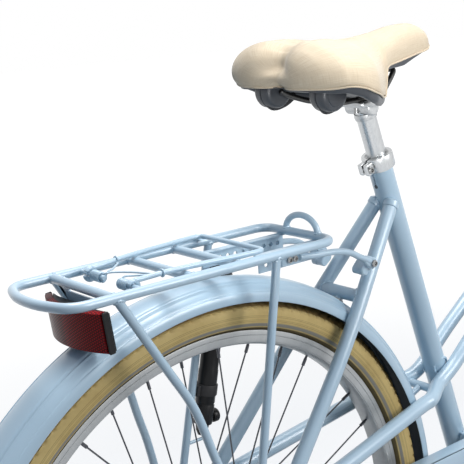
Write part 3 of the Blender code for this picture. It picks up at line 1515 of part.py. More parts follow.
def make_rack_leg(side, word):
    """Carrier leg: a straight front tube and a bent rear tube that meet in one eye."""
    front = front_leg_points(side)
    leg = tube(f"rack_leg_{word}", front, LEG_R, BLUE_PAINT, 8)
    route = [leg_top(-0.1490), (-0.0961, 0.0645, 0.3175), (-0.0655, 0.0675, 0.2640)]
    route += [(-0.0470, 0.0715, 0.2080), (-0.0310, 0.0745, 0.1550), (*EYELET[:1], LEG_FOOT_Y, EYELET[1])]
    points = [(x, side * y, h) for x, y, h in smooth_route(route, 2)]
    rear = tube(f"rack_leg_rear_{word}", points, LEG_R, BLUE_PAINT, 8)
    x, h = EYELET
    inner, outer = LEG_FOOT_Y - EYE_WALL / 2, LEG_FOOT_Y + EYE_WALL / 2
    eye = rod(
        f"rack_eye_{word}", (x, side * inner, h), (x, side * outer, h), EYE_R, BLUE_PAINT, sides=14
    )
    head = rod(
        f"rack_eye_bolt_{word}",
        (x, side * outer - side * 0.001, h),
        (x, side * (outer + 0.004), h),
        0.0048,
        DARK_STEEL,
        sides=8,
    )
    trim = box(
        f"rack_eye_trim_{word}",
        (x, side * (inner - 0.005), h),
        (0.08, 0.010, 0.08),
        BLUE_PAINT,
    )
    loop = tube(
        f"rail_cutter_{word}", rack_loop(), clear_radius(RACK_TUBE_R + GAP / 2, 8), BLUE_PAINT, 8,
        closed=True,
    )
    fuse(leg, rear, eye, head)
    if side > 0:
        fuse(leg, make_pump_peg())
    return cut(leg, trim, loop)


def leg_at(h, ahead=0.0):
    """Point on the left front leg's axis at height h, moved forward."""
    top, foot = (np.array(point) for point in front_leg_points(1))
    t = (h - foot[2]) / (top[2] - foot[2])
    point = foot + (top - foot) * t
    return (float(point[0]) + ahead, float(point[1]), h)


def make_pump_peg():
    """Short peg on the left leg that the pump's foot stands over."""
    return rod("pump_peg", leg_at(0.150), leg_at(0.150, 0.030), 0.0022, BLUE_PAINT, sides=8)


def make_pump():
    """Hand pump with a wider head, clipped along the left front leg."""
    foot, top = leg_at(PUMP_FOOT_H, PUMP_OFFSET), leg_at(PUMP_TOP_H, PUMP_OFFSET)
    run = Vector(top) - Vector(foot)
    length = run.length
    head_foot = length - PUMP_HEAD_LENGTH
    section = [(0.0, length), (PUMP_R * 0.5, length), (PUMP_HEAD_R, length - PUMP_CAP_LENGTH)]
    section += [(PUMP_HEAD_R, head_foot), (PUMP_R, head_foot - 0.004), (PUMP_R, 0.018)]
    section += [(PUMP_R * 0.7, 0.014), (0.002, 0.0), (0.0, 0.0)]
    pump = turned("air_pump", section, foot, BLACK_PLASTIC, 14, axis=tuple(run))
    knob = leg_at(PUMP_FOOT_H + 0.020, PUMP_OFFSET)
    lever = rod(
        "pump_lever", knob, (knob[0] + 0.022, knob[1], knob[2]), 0.0085, BLACK_PLASTIC, sides=12
    )
    fuse(pump, lever)
    lean = math.atan2(run.x, run.z)
    for index, h in enumerate(PUMP_CLIPS):
        near = LEG_R + 2 * GAP
        reach = PUMP_OFFSET * math.cos(lean) - near
        middle = leg_at(h)
        offset = (near + reach / 2) / math.cos(lean)
        clip = box(
            f"pump_clip_{index}",
            (middle[0] + offset, middle[1], h),
            (reach, 0.010, 0.014),
            BLACK_PLASTIC,
            Matrix.Rotation(lean, 4, "Y"),
        )
        fuse(pump, clip)
    return pump


def make_rack_arm(side, word):
    """Arm from the side plate to the lug on the seat stay."""
    y = side * (PLATE_Y + PLATE_WALL / 2 + GAP + 0.0015)
    eye_y = side * (ARM_INNER_Y + 0.002)
    start = (0.112, y, PLATE_FOOT_H + 0.0072)
    blade = box(f"rack_arm_{word}", start, (0.030, 0.003, 0.0125), BLUE_PAINT)
    route = [(0.122, y + side * 0.0028, start[2]), (0.150, side * 0.0425, 0.3865)]
    route += [(0.178, side * 0.0445, 0.3850), (0.200, side * 0.0465, 0.3795)]
    route += [(0.218, side * 0.0480, 0.3710), (0.236, eye_y, 0.3610)]
    wire = tube(f"rack_arm_rod_{word}", smooth_route(route, 2), ARM_R, BLUE_PAINT, WIRE_SIDES)
    eye = rod(
        f"rack_arm_eye_{word}",
        (LUG_X, side * ARM_INNER_Y, STAY_LUG_H),
        (LUG_X, side * (ARM_INNER_Y + 0.005), STAY_LUG_H),
        0.008,
        BLUE_PAINT,
        sides=14,
    )
    bolt = rod(
        f"rack_arm_bolt_{word}",
        (LUG_X, side * (ARM_INNER_Y + 0.004), STAY_LUG_H),
        (LUG_X, side * (ARM_INNER_Y + 0.0085), STAY_LUG_H),
        0.0045,
        DARK_STEEL,
        sides=8,
    )
    fuse(blade, wire, eye, bolt)
    for index, x in enumerate((0.105, 0.114)):
        head = rod(
            f"plate_bolt_{word}_{index}",
            (x, y, start[2]),
            (x, y + side * 0.0055, start[2]),
            0.0038,
            DARK_STEEL,
            sides=8,
        )
        fuse(blade, head)
    trim = box(
        f"rack_arm_trim_{word}",
        (0.240, side * (ARM_INNER_Y - 0.006), 0.362),
        (0.060, 0.012, 0.060),
        BLUE_PAINT,
    )
    return cut(blade, trim)


def make_flap():
    """Spring flap: a wire frame that lies on the cross bars and turns on the hinge pins."""
    rest = RACK_H + RACK_TUBE_R + FLAP_R + GAP
    eye = HINGE_PIN_R + GAP + FLAP_R + 0.0002
    y, front = FLAP_Y, FLAP_FRONT_X
    half = [(HINGE_X + 0.001, y, RACK_H + eye), (HINGE_X + 0.020, y, RACK_H + eye)]
    wide = FLAP_FRONT_Y
    half += [(RACK_BARS[1] - 0.020, y + 0.002, rest), (front - 0.014, wide, rest)]
    half += [(front - 0.004, wide - 0.004, rest), (front, wide - 0.014, rest)]
    other = [(x, -py, h) for x, py, h in reversed(half)]
    flap = tube("rack_flap", half + other, FLAP_R, BLUE_PAINT, WIRE_SIDES)
    for side, word in SIDES:
        outer, inner = y + FLAP_R + 0.0004, y - FLAP_R - 0.0004
        ring = rod(
            f"flap_eye_{word}",
            (HINGE_X, side * inner, RACK_H),
            (HINGE_X, side * outer, RACK_H),
            HINGE_PIN_R + GAP + 2 * FLAP_R * 0.75,
            BLUE_PAINT,
            sides=12,
        )
        fuse(flap, ring)
    for side, word in SIDES:
        hole = rod(
            f"flap_hole_{word}",
            (HINGE_X, side * (y - 0.02), RACK_H),
            (HINGE_X, side * (y + 0.009), RACK_H),
            clear_radius(HINGE_PIN_R, 12),
            BLUE_PAINT,
            sides=12,
        )
        cut(flap, hole)
    return flap


def coil_points(side):
    """Points of one torsion spring: a coil round the pin and a leg to the flap's rod."""
    coil_r = HINGE_PIN_R + SPRING_WIRE_R + 0.0008
    start, end = SPRING_OUTER_Y, SPRING_INNER_Y
    count = SPRING_TURNS * SPRING_POINTS
    points = []
    for index in range(count + 1):
        t = index / count
        angle = math.pi / 2 + 2 * math.pi * SPRING_TURNS * t
        y = start + (end - start) * t
        points.append(
            (HINGE_X + coil_r * math.cos(angle), side * y, RACK_H - coil_r * math.sin(angle))
        )
    return points


def least_gap(points, wire_r, skip):
    """Least clear distance between stretches of one wire, by its points."""
    places = np.array(points)
    least = 1.0
    for index in range(len(places) - skip):
        away = np.linalg.norm(places[index + skip :] - places[index], axis=1)
        least = min(least, float(away.min()))
    return least - 2 * wire_r


def make_flap_spring(side, word):
    """Torsion spring on a hinge pin, whose leg lies under the flap's rod."""
    points = coil_points(side)
    gap = least_gap(points, SPRING_WIRE_R, SPRING_POINTS // 2)
    print(f"flap_spring_{word}: least gap to itself {gap * 1000:.2f} mm")
    last = points[-1]
    rod_h = RACK_H + RACK_TUBE_R + GAP
    leg = [(last[0] + 0.012, side * 0.0165, last[2] + 0.0030)]
    leg += [(HINGE_X + 0.030, side * 0.0215, rod_h + 0.0010), (HINGE_X + 0.042, side * 0.0290, rod_h)]
    leg += [(HINGE_X + 0.047, side * (FLAP_Y - FLAP_R - SPRING_WIRE_R - 0.0012), rod_h)]
    return tube(f"flap_spring_{word}", points + leg, SPRING_WIRE_R, DARK_STEEL, 6)


def reflector_arc(offset):
    """Curved line of the reflector's face in x and y, moved inward by offset."""
    half, sag = REFLECTOR_HALF_WIDTH, REFLECTOR_SAG
    radius = (sag**2 + half**2) / (2 * sag)
    centre = (REFLECTOR_APEX_X + radius, 0.0)
    reach = math.asin(half / radius)
    return arc(centre, radius - offset, math.pi - reach, math.pi + reach, 10)


def make_reflector():
    """Rear reflector: a red lens in front of a black housing."""
    middle = REFLECTOR_FOOT_H + REFLECTOR_HEIGHT / 2
    outline = reflector_arc(0.0) + reflector_arc(LENS_WALL)[::-1]
    lens = level_plate("reflector_lens", outline, REFLECTOR_HEIGHT, middle, RED_LENS)
    inner = reflector_arc(LENS_WALL + GAP)
    half = abs(inner[0][1])
    back = HOUSING_BACK_X - GAP
    outline = inner + [(back, -half), (back, half)]
    housing = level_plate("reflector_housing", outline, REFLECTOR_HEIGHT, middle, BLACK_PLASTIC)
    return {"reflector_lens": lens, "reflector_housing": housing}


def make_carrier():
    pieces = {"rack_deck": make_rack_deck(), "rack_hoop": make_rack_hoop()}
    pieces.update(rack_flap=make_flap(), air_pump=make_pump())
    for side, word in SIDES:
        pieces[f"rack_leg_{word}"] = make_rack_leg(side, word)
        pieces[f"rack_arm_{word}"] = make_rack_arm(side, word)
        pieces[f"flap_spring_{word}"] = make_flap_spring(side, word)
    pieces.update(make_reflector())
    return pieces


def stand_point(down, y):
    """Point on a stand leg, by its distance down from the pivot along the lean."""
    x = STAND_PIVOT[0] + down * math.sin(STAND_LEAN)
    return (x, y, STAND_PIVOT[1] - down * math.cos(STAND_LEAN))


def make_stand():
    """Two-legged stand and the bracket under the chain stays that it turns in."""
    x, h = STAND_PIVOT
    inner = STAND_INNER_Y
    stand = rod("stand", (x, -inner, h), (x, inner, h), STAND_TUBE_R, DARK_STEEL)
    ground = -AXLE_HEIGHT
    sole = (STAND_PIVOT[1] - ground - STAND_FOOT_WALL / 2) / math.cos(STAND_LEAN)
    for side, word in SIDES:
        route = [stand_point(0.0, side * inner), stand_point(0.130, side * inner)]
        route += [stand_point(0.150, side * (inner + 0.004)), stand_point(sole, side * STAND_FOOT_Y)]
        leg = tube(f"stand_leg_{word}", route, STAND_LEG_R, DARK_STEEL, 8)
        foot_x = stand_point(sole, 0)[0]
        foot = rod(
            f"stand_foot_{word}",
            (foot_x, side * STAND_FOOT_Y, ground),
            (foot_x, side * STAND_FOOT_Y, ground + STAND_FOOT_WALL),
            STAND_FOOT_R,
            BLACK_RUBBER,
        )
        fuse(stand, leg, foot)
    floor = box("stand_floor_cutter", (x, 0, ground - 0.02), (0.3, 0.4, 0.04), DARK_STEEL)
    cut(stand, floor)
    stay = chain_stay_point(x, 1)
    top = stay[2] - STAY_R - GAP - 0.0020
    wall = 0.004
    bracket = box("stand_bracket", (x, 0, top - wall / 2), (0.030, 2 * stay[1] + 0.006, wall), BLUE_PAINT)
    foot_h = h - STAND_TUBE_R - 0.004
    block = box(
        "stand_block", (x, 0, (top - wall / 2 + foot_h) / 2), (0.026, 0.036, top - wall / 2 - foot_h),
        BLUE_PAINT,
    )
    bore = rod(
        "stand_bore", (x, -0.05, h), (x, 0.05, h), clear_radius(STAND_TUBE_R), BLUE_PAINT
    )
    fuse(bracket, block)
    return {"stand": stand, "stand_bracket": cut(bracket, bore)}


def make_guards():
    """Mudguards and their wire stays."""
    eye_y = DROPOUT_OUTER_Y + LUG_WALL + GAP + GUARD_STAY_R + 0.0009
    front_y = FRONT_HALF_SPACING + DROPOUT_WALL + GAP + GUARD_STAY_R + 0.0009
    return {
        "rear_mudguard": make_guard("rear_mudguard", 0.0, REAR_GUARD_FROM, REAR_GUARD_TO),
        "front_mudguard": make_guard(
            "front_mudguard", WHEEL_BASE, FRONT_GUARD_FROM, FRONT_GUARD_TO
        ),
        "rear_guard_stay": make_guard_stay(
            "rear_guard_stay", 0.0, REAR_GUARD_STAY_AT, GUARD_EYELET, eye_y
        ),
        "front_guard_stay": make_guard_stay(
            "front_guard_stay", WHEEL_BASE, FRONT_GUARD_STAY_AT, (-0.0108, 0.0), front_y
        ),
    }


def rig(pieces):
    """Hangs each moving body on an empty that stands on its joint's axis."""
    bracket = (BRACKET_X, 0, -BRACKET_DROP)
    steering = pivot("steering_axis", steer_point(HEAD_FOOT))
    steered = ("fork", "stem", "handlebar", "grip_left", "grip_right", "front_axle")
    steered += ("front_mudguard", "front_guard_stay", "front_lamp")
    hang(steering, [pieces[name] for name in steered])
    wheel = ("tyre", "rim", "hub")
    front = pivot("front_wheel_axis", (WHEEL_BASE, 0, 0))
    hang(front, [pieces[f"front_{name}"] for name in wheel], steering)
    rear = pivot("rear_wheel_axis", (0, 0, 0))
    hang(rear, [pieces[f"rear_{name}"] for name in wheel])
    hang(pivot("sprocket_axis", (0, -CHAIN_LINE, 0)), [pieces["rear_sprocket"]])
    cranks = pivot("crank_axis", bracket)
    hang(cranks, [pieces[name] for name in ("crank_left", "crank_right", "crank_spindle")])
    for side, word in SIDES:
        pedal = pivot(f"pedal_axis_{word}", (BRACKET_X - side * CRANK_LENGTH, 0, -BRACKET_DROP))
        hang(pedal, [pieces[f"pedal_{word}"]], cranks)
    seat = pivot("seat_post_axis", seat_point(SEAT_TUBE_TOP))
    seated = ("seat_post", "saddle_clamp", "saddle_rails", "saddle_base", "saddle_cover")
    hang(seat, [pieces[name] for name in seated])
    hang(pivot("flap_axis", (HINGE_X, 0, RACK_H)), [pieces["rack_flap"]])
    hang(pivot("stand_axis", (STAND_PIVOT[0], 0, STAND_PIVOT[1])), [pieces["stand"]])


def main():
    pieces = make_wheels()
    pieces["rear_axle"] = make_rear_axle()
    pieces["front_axle"] = make_axle(
        "front_axle", WHEEL_BASE, FRONT_AXLE_R, FRONT_HALF_SPACING, DROPOUT_WALL
    )
    pieces.update(make_frame())
    pieces.update(make_seat_parts())
    pieces.update(make_steering())
    pieces["front_lamp"] = make_lamp()
    pieces.update(make_guards())
    pieces.update(make_drive())
    pieces.update(make_carrier())
    pieces.update(make_stand())
    rig(pieces)


main()
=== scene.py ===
# %% [markdown]
# # A city bicycle with a sprung carrier flap
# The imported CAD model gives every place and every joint. This script dresses it: fine surfaces
# worked out with numpy, and a finish for each material. A solid could be smoothed with modifiers
# instead, but a surface from its own formula keeps true circles and needs no repair.

# %% Load the frame
import bmesh
import bpy
import json
import math
import numpy as np
from functools import partial
from mathutils import Matrix, Vector

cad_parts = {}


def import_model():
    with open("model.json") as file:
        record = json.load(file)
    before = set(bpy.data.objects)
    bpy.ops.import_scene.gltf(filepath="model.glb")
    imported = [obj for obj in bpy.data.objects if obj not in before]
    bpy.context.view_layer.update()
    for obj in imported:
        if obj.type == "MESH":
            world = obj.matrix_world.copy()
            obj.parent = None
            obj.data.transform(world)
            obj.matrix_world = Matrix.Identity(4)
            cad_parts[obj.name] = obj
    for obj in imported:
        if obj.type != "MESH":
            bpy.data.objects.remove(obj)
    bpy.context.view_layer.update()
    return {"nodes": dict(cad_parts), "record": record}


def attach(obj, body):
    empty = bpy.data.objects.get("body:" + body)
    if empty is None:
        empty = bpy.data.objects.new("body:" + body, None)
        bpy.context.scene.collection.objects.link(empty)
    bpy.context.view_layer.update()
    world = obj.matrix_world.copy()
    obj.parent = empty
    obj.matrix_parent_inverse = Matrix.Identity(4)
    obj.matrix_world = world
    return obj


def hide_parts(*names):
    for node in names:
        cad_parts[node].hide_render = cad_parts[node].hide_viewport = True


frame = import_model()

# %% [markdown]
# ## Places
# Sizes are given from the rear axle: x forward, y to the rider's left, h up. One function moves
# them into the frame's own places. The steering axis leans, so it has a function of its own.

# %% Places
REAR_AXLE_X, AXLE_HEIGHT, WHEEL_BASE = -0.547, 0.357, 1.115
SEAT_ANGLE, HEAD_ANGLE, FORK_RAKE = math.radians(71), math.radians(70), 0.055
SEAT_AXIS_X, BRACKET_DROP = 0.4692, 0.05
BRACKET_X = SEAT_AXIS_X + BRACKET_DROP / math.tan(SEAT_ANGLE)
SIDES = ((1, "left"), (-1, "right"))
GAP = 0.0003


def world(points):
    """Adds the rear axle's place to points given from it."""
    return np.asarray(points, float) + (REAR_AXLE_X, 0.0, AXLE_HEIGHT)


def seat_point(h, back=0.0, y=0.0):
    """Point on the seat tube's axis at height h, moved back square to it."""
    x = SEAT_AXIS_X - h / math.tan(SEAT_ANGLE)
    return (x - back * math.sin(SEAT_ANGLE), y, h - back * math.cos(SEAT_ANGLE))


def steer_point(along, forward=0.0, y=0.0):
    """Point by its distance up the steering axis and forward of it."""
    up = np.array((-math.cos(HEAD_ANGLE), math.sin(HEAD_ANGLE)))
    ahead = np.array((math.sin(HEAD_ANGLE), math.cos(HEAD_ANGLE)))
    x, h = np.array((WHEEL_BASE, 0.0)) + (forward - FORK_RAKE) * ahead + along * up
    return (float(x), y, float(h))


SEAT_UP = np.array(seat_point(1.0)) - seat_point(0.0)
STEER_UP = np.array(steer_point(1.0)) - steer_point(0.0)
print("bracket at x", round(BRACKET_X, 4), "head tube leans", HEAD_ANGLE)

# %% [markdown]
# ## Camera
# The view of the photograph: from behind and from the right, a little above the carrier, with
# a long lens. The camera's three directions were worked out from the ellipses of the wheel.

# %% Camera
CAMERA_AT = (-0.69702, -0.93243, 0.69868)
CAMERA_RIGHT = Vector((0.769211, -0.636534, -0.056025))
CAMERA_UP = Vector((0.183894, 0.136548, 0.973415))
camera_data = bpy.data.cameras.new("view")
camera_data.lens = 82.095
camera_data.sensor_width = 36.0
camera_data.shift_x, camera_data.shift_y = 0.00166, 0.00128
camera = bpy.data.objects.new("view", camera_data)
back = CAMERA_RIGHT.cross(CAMERA_UP)
turn = Matrix((CAMERA_RIGHT, CAMERA_UP, back)).transposed().to_4x4()
camera.matrix_world = Matrix.Translation(world(CAMERA_AT)) @ turn
bpy.context.scene.collection.objects.link(camera)
bpy.context.scene.camera = camera
print("camera at", [round(value, 3) for value in camera.location])

# %% [markdown]
# ## Surfaces from grids
# Every new piece is a grid of points: rows run along it and columns run round it. A patch is the
# grid with its faces and its own map in metres. Neighbouring points that coincide, as at a seam
# or a pole, are merged afterwards, and the faces are then turned outwards.

# %% Patches and pieces
made_faces = 0


def patch(grid, wrap_rows=False, wrap_columns=True):
    """Faces between neighbouring points of one grid, or of a stack of equal grids, with a map
    that runs in metres along the rows and round the columns."""
    grids = np.asarray(grid, float)
    grids = grids[None] if grids.ndim == 3 else grids
    count, rows, columns = grids.shape[:3]
    number = np.arange(rows * columns).reshape(rows, columns)
    number = np.vstack((number, number[:1])) if wrap_rows else number
    number = np.hstack((number, number[:, :1])) if wrap_columns else number
    first = grids[0].reshape(-1, 3)[number]
    u = np.linalg.norm(np.diff(first, axis=0), axis=2).mean(1).cumsum()
    v = np.linalg.norm(np.diff(first, axis=1), axis=2).mean(0).cumsum()
    place = np.stack(np.meshgrid(np.append(0, u), np.append(0, v), indexing="ij"), -1)

    def corners(table):
        ring = (table[:-1, :-1], table[1:, :-1], table[1:, 1:], table[:-1, 1:])
        return np.stack(ring, 2).reshape(-1, 4, *table.shape[2:])

    shift = (np.arange(count) * rows * columns)[:, None, None]
    faces = (corners(number)[None] + shift).reshape(-1, 4)
    uv = np.tile(corners(place), (count, 1, 1))
    return grids.reshape(-1, 3), faces, uv


def piece(name, body, parts, replaces=(), sharp=38):
    """One object from patches and their materials: points merged, faces outwards, riding on
    its body. Edges sharper than that many degrees stay sharp."""
    global made_faces
    points = np.vstack([part[0][0] for part in parts])
    starts = np.cumsum([0] + [len(part[0][0]) for part in parts])
    faces = np.vstack([part[0][1] + start for part, start in zip(parts, starts)])
    uv = np.vstack([part[0][2] for part in parts])
    finishes = list(dict.fromkeys(part[1] for part in parts))
    index = np.repeat([finishes.index(p[1]) for p in parts], [len(p[0][1]) for p in parts])
    mesh = bpy.data.meshes.new(name)
    mesh.vertices.add(len(points))
    mesh.vertices.foreach_set("co", points.astype(np.float32).ravel())
    mesh.loops.add(faces.size)
    mesh.loops.foreach_set("vertex_index", faces.astype(np.int32).ravel())
    mesh.polygons.add(len(faces))
    mesh.polygons.foreach_set("loop_start", np.arange(0, faces.size, 4, dtype=np.int32))
    mesh.polygons.foreach_set("material_index", index.astype(np.int32))
    mesh.uv_layers.new(name="metres").data.foreach_set("uv", uv.astype(np.float32).ravel())
    for finish in finishes:
        mesh.materials.append(finish)
    mesh.update(calc_edges=True)
    welded = bmesh.new()
    welded.from_mesh(mesh)
    bmesh.ops.remove_doubles(welded, verts=welded.verts, dist=2e-6)
    bmesh.ops.recalc_face_normals(welded, faces=welded.faces)
    welded.to_mesh(mesh)
    welded.free()
    mesh.polygons.foreach_set("use_smooth", np.ones(len(mesh.polygons), bool))
    mesh.set_sharp_from_angle(angle=math.radians(sharp))
    made = bpy.data.objects.new(name, mesh)
    bpy.context.scene.collection.objects.link(made)
    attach(made, body)
    if replaces:
        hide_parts(*([replaces] if isinstance(replaces, str) else replaces))
    made_faces += len(mesh.polygons)
    return made


# %% [markdown]
# ## Shapes
# Three shapes make most of a bicycle: a profile carried along a path, a profile turned about an
# axis, and a flat plate with rounded edges.

# %% Profiles and paths
def capped(grid):
    """Rows of points, closed at both ends by a pole in the middle of the end row."""
    grid = np.asarray(grid)
    ends = [np.broadcast_to(grid[k].mean(0), grid[k].shape)[None] for k in (0, -1)]
    return np.concatenate((ends[0], grid, ends[1]))


def ring(radius=1.0, count=24, power=1.0):
    """Circle of points; a power below 1 fills it out towards a square with round corners."""
    a = np.arange(count) * 2 * np.pi / count
    cos, sin = np.cos(a), np.sin(a)
    both = (np.sign(cos) * np.abs(cos) ** power, np.sign(sin) * np.abs(sin) ** power)
    return radius * np.column_stack(both)


def smooth(points, steps=6):
    """Catmull-Rom curve through the points: each span blends its four nearest points."""
    p = np.asarray(points, float)
    p = np.vstack((p[:1], p, p[-1:]))
    a, b, c, d = (p[k : len(p) - 3 + k, None, :] for k in range(4))
    t = (np.arange(steps) / steps)[None, :, None]
    spans = 2 * b + (c - a) * t + (2 * a - 5 * b + 4 * c - d) * t**2
    spans = 0.5 * (spans + (3 * b - a - 3 * c + d) * t**3)
    return np.vstack((spans.reshape(-1, p.shape[1]), p[-1:]))


def rounded(points, rounds=4, closed=False):
    """Corners cut again and again: each span keeps its points at one and three quarters."""
    p = np.asarray(points, float)
    for _ in range(rounds):
        following = np.roll(p, -1, 0) if closed else p[1:]
        here = p if closed else p[:-1]
        cut = np.stack((here * 0.75 + following * 0.25, here * 0.25 + following * 0.75), 1)
        cut = cut.reshape(-1, p.shape[1])
        p = cut if closed else np.vstack((p[:1], cut[1:-1], p[-1:]))
    return p


def bent(points, radius=0.03, steps=8):
    """Straight runs with each corner replaced by a curve that starts that far from it."""
    p = np.asarray(points, float)
    before, after = p[:-2] - p[1:-1], p[2:] - p[1:-1]
    reach = [np.linalg.norm(run, axis=1, keepdims=True) for run in (before, after)]
    start = p[1:-1] + before / reach[0] * np.minimum(radius, reach[0] * 0.45)
    end = p[1:-1] + after / reach[1] * np.minimum(radius, reach[1] * 0.45)
    t = np.linspace(0, 1, steps)[None, :, None]
    curve = (1 - t) ** 2 * start[:, None] + 2 * t * (1 - t) * p[1:-1, None] + t**2 * end[:, None]
    return np.vstack((p[:1], curve.reshape(-1, p.shape[1]), p[-1:]))


# %% A profile carried along a path
def across(path, closed=False, flat=None):
    """Side and up directions on a path. Side is square to the path and to the direction in
    which the path is flattest, so a profile never twists."""
    if flat is None:
        flat = np.linalg.svd(path - path.mean(0), full_matrices=True)[2][-1]
    if closed:
        ahead = np.roll(path, -1, 0) - np.roll(path, 1, 0)
    else:
        ahead = np.gradient(path, axis=0)
    side = np.cross(ahead, flat)
    side /= np.linalg.norm(side, axis=1, keepdims=True)
    up = np.cross(side, ahead)
    return side, up / np.linalg.norm(up, axis=1, keepdims=True)


def sweep(path, profile, size=1.0, closed=False, flat=None):
    """The profile's two numbers run along side and up at each point of the path, times size.
    Open ends are closed by a pole on the path."""
    path, profile = np.asarray(path, float), np.asarray(profile, float)
    side, up = across(path, closed, flat)
    size = np.broadcast_to(np.asarray(size, float), (len(path),))[:, None, None]
    grid = profile[None, :, :1] * side[:, None] + profile[None, :, 1:] * up[:, None]
    grid = path[:, None] + size * grid
    if not closed:
        pole = np.ones((1, len(profile), 1))
        grid = np.concatenate((path[0] * pole, grid, path[-1] * pole))
    return patch(world(grid), wrap_rows=closed)


def tube(path, radius, sides=24, closed=False, flat=None, edge=0.0):
    """Round tube. An edge above 0 rounds both ends over that length."""
    path = np.asarray(path, float)
    size = np.broadcast_to(np.asarray(radius, float), (len(path),)).copy()
    if edge:
        lean = np.linspace(0, np.pi / 2, 4)[1:]
        runs = [path[1] - path[0], path[-2] - path[-1]]
        runs = [run / np.linalg.norm(run) * edge for run in runs]
        start = path[0] + runs[0] * (1 - np.cos(lean))[:, None]
        end = (path[-1] + runs[1] * (1 - np.cos(lean))[:, None])[::-1]
        small = edge * (1 - np.sin(lean))
        size = np.concatenate((size[0] - small, size[1:-1], size[-1] - small[::-1]))
        path = np.vstack((start, path[1:-1], end))
    return sweep(path, ring(1.0, sides), size, closed, flat)


# %% A profile turned about an axis
def lathe(profile, centre, axis=(0, 1, 0), steps=48, closed=False, shape=None):
    """Profile rows hold a place along the axis and a radius. Every radius goes once round the
    axis, and shape, a list of factors round the turn, makes it other than round."""
    axis = np.asarray(axis, float) / np.linalg.norm(axis)
    side = np.cross(axis, (0.0, 0.6, 0.8) if abs(axis[0]) > 0.5 else (1.0, 0.0, 0.0))
    side /= np.linalg.norm(side)
    turn = np.arange(steps) * 2 * np.pi / steps
    way = np.cos(turn)[:, None] * side + np.sin(turn)[:, None] * np.cross(axis, side)
    way = way if shape is None else way * np.asarray(shape)[:, None]
    profile = np.asarray(profile, float)
    grid = np.asarray(centre) + profile[:, None, :1] * axis + profile[:, None, 1:] * way
    return patch(world(grid), wrap_rows=closed)


def mirrored(rows):
    """Profile rows in the opposite order, on the other side of the middle."""
    return [(-along, radius) for along, radius in rows[::-1]]


def sides_of(count, steps=48):
    """Factors that make a turned piece six-sided, or other: flats at 1, corners further out."""
    turn = np.arange(steps) * 2 * np.pi / steps
    part = 2 * np.pi / count
    return 1 / np.cos(np.mod(turn, part) - part / 2)


# %% A flat plate
def plate(outline, wall, y, edge=0.0006, hole=None, pole=None):
    """Plate in the wheel's plane: the outline runs over its front, its rounded edge and its
    back to a pole in the middle, or to the rim of a hole with as many points."""
    outline = np.asarray(outline, float)
    run = np.roll(outline, -1, 0) - np.roll(outline, 1, 0)
    out = np.column_stack((run[:, 1], -run[:, 0]))
    out /= np.linalg.norm(out, axis=1, keepdims=True)
    middle = outline.mean(0) if pole is None else np.asarray(pole)
    out *= np.sign(((outline - middle) * out).sum())
    half = wall / 2
    near = outline - out * edge
    rows = [(-half, near), (edge - half, outline), (half - edge, outline), (half, near)]
    if hole is None:
        centre = np.broadcast_to(middle, outline.shape)
        rows = [(-half, centre), *rows, (half, centre)]
    else:
        rows = [*rows, (half, hole), (-half, hole)]
    grid = [np.column_stack((o[:, 0], np.full(len(o), y + dy), o[:, 1])) for dy, o in rows]
    return patch(world(np.array(grid)), wrap_rows=hole is not None)


def arc(centre, radius, start, end, count):
    """Points of an arc in degrees, both ends included."""
    a = np.radians(np.linspace(start, end, count))
    return np.asarray(centre) + radius * np.column_stack((np.cos(a), np.sin(a)))


def block(centre, size, edge=0.0008, lean=0.0, count=32):
    """Block with rounded edges: an almost square ring that shrinks at both ends. It leans
    about y, from x towards h."""
    length, width, height = size
    profile = ring(1.0, count, 0.22) * (width / 2, height / 2)
    inner = profile * (1 - 2 * edge / np.array((width, height)))
    half = length / 2
    rows = [(-half, profile * 0), (-half, inner), (edge - half, profile)]
    rows += [(half - edge, profile), (half, inner), (half, profile * 0)]
    grid = np.array([np.column_stack((np.full(count, x), p)) for x, p in rows])
    cos, sin = math.cos(lean), math.sin(lean)
    turned = grid @ np.array(((cos, 0, -sin), (0, 1, 0), (sin, 0, cos))).T
    return patch(world(turned + np.asarray(centre)))


print("shapes ready")

# %% [markdown]
# ## Finishes
# Each finish starts from what the real one is. Colours are written as they look on a screen and
# turned to linear light by one function. Patterns read places in metres, so a scale of 1000
# means one repeat in a millimetre.

# %% Colour and nodes
def colour(code):
    """Linear colour of a screen colour in hex: the screen's curve is undone."""
    value = np.array([int(code[k : k + 2], 16) for k in (0, 2, 4)]) / 255
    linear = np.where(value <= 0.04045, value / 12.92, ((value + 0.055) / 1.055) ** 2.4)
    return (*(float(part) for part in linear), 1.0)


def add_node(tree, kind, inputs=(), out=0, stops=(), **settings):
    """Adds a node with its settings, fills or links its inputs, sets the stops of a ramp, each
    a place and a hex colour or grey level, and gives back the output that was asked for."""
    node = tree.nodes.new("ShaderNode" + kind)
    for key, value in settings.items():
        setattr(node, key, value)
    for key, value in dict(inputs).items():
        if isinstance(value, bpy.types.NodeSocket):
            tree.links.new(value, node.inputs[key])
        else:
            node.inputs[key].default_value = value
    places = node.color_ramp.elements if stops else ()
    while len(places) < len(stops):
        places.new(0.5)
    for place, (at, what) in zip(places, stops):
        place.position = at
        place.color = colour(what) if isinstance(what, str) else (what, what, what, 1.0)
    return node.outputs[out] if len(node.outputs) else node


def new_finish(name):
    """Empty material, and the function that adds a node to it."""
    finish = bpy.data.materials.new(name)
    finish.use_nodes = True
    finish.node_tree.nodes.clear()
    return finish, partial(add_node, finish.node_tree)


# %% [markdown]
# ### Enamel
# The frame, carrier and mudguards are sprayed with a pale blue enamel that is baked on. The eye
# sees a soft broad shine under a thin clear top coat, a faint orange-peel of about two
# millimetres, and slightly duller patches where hands and dust have been.

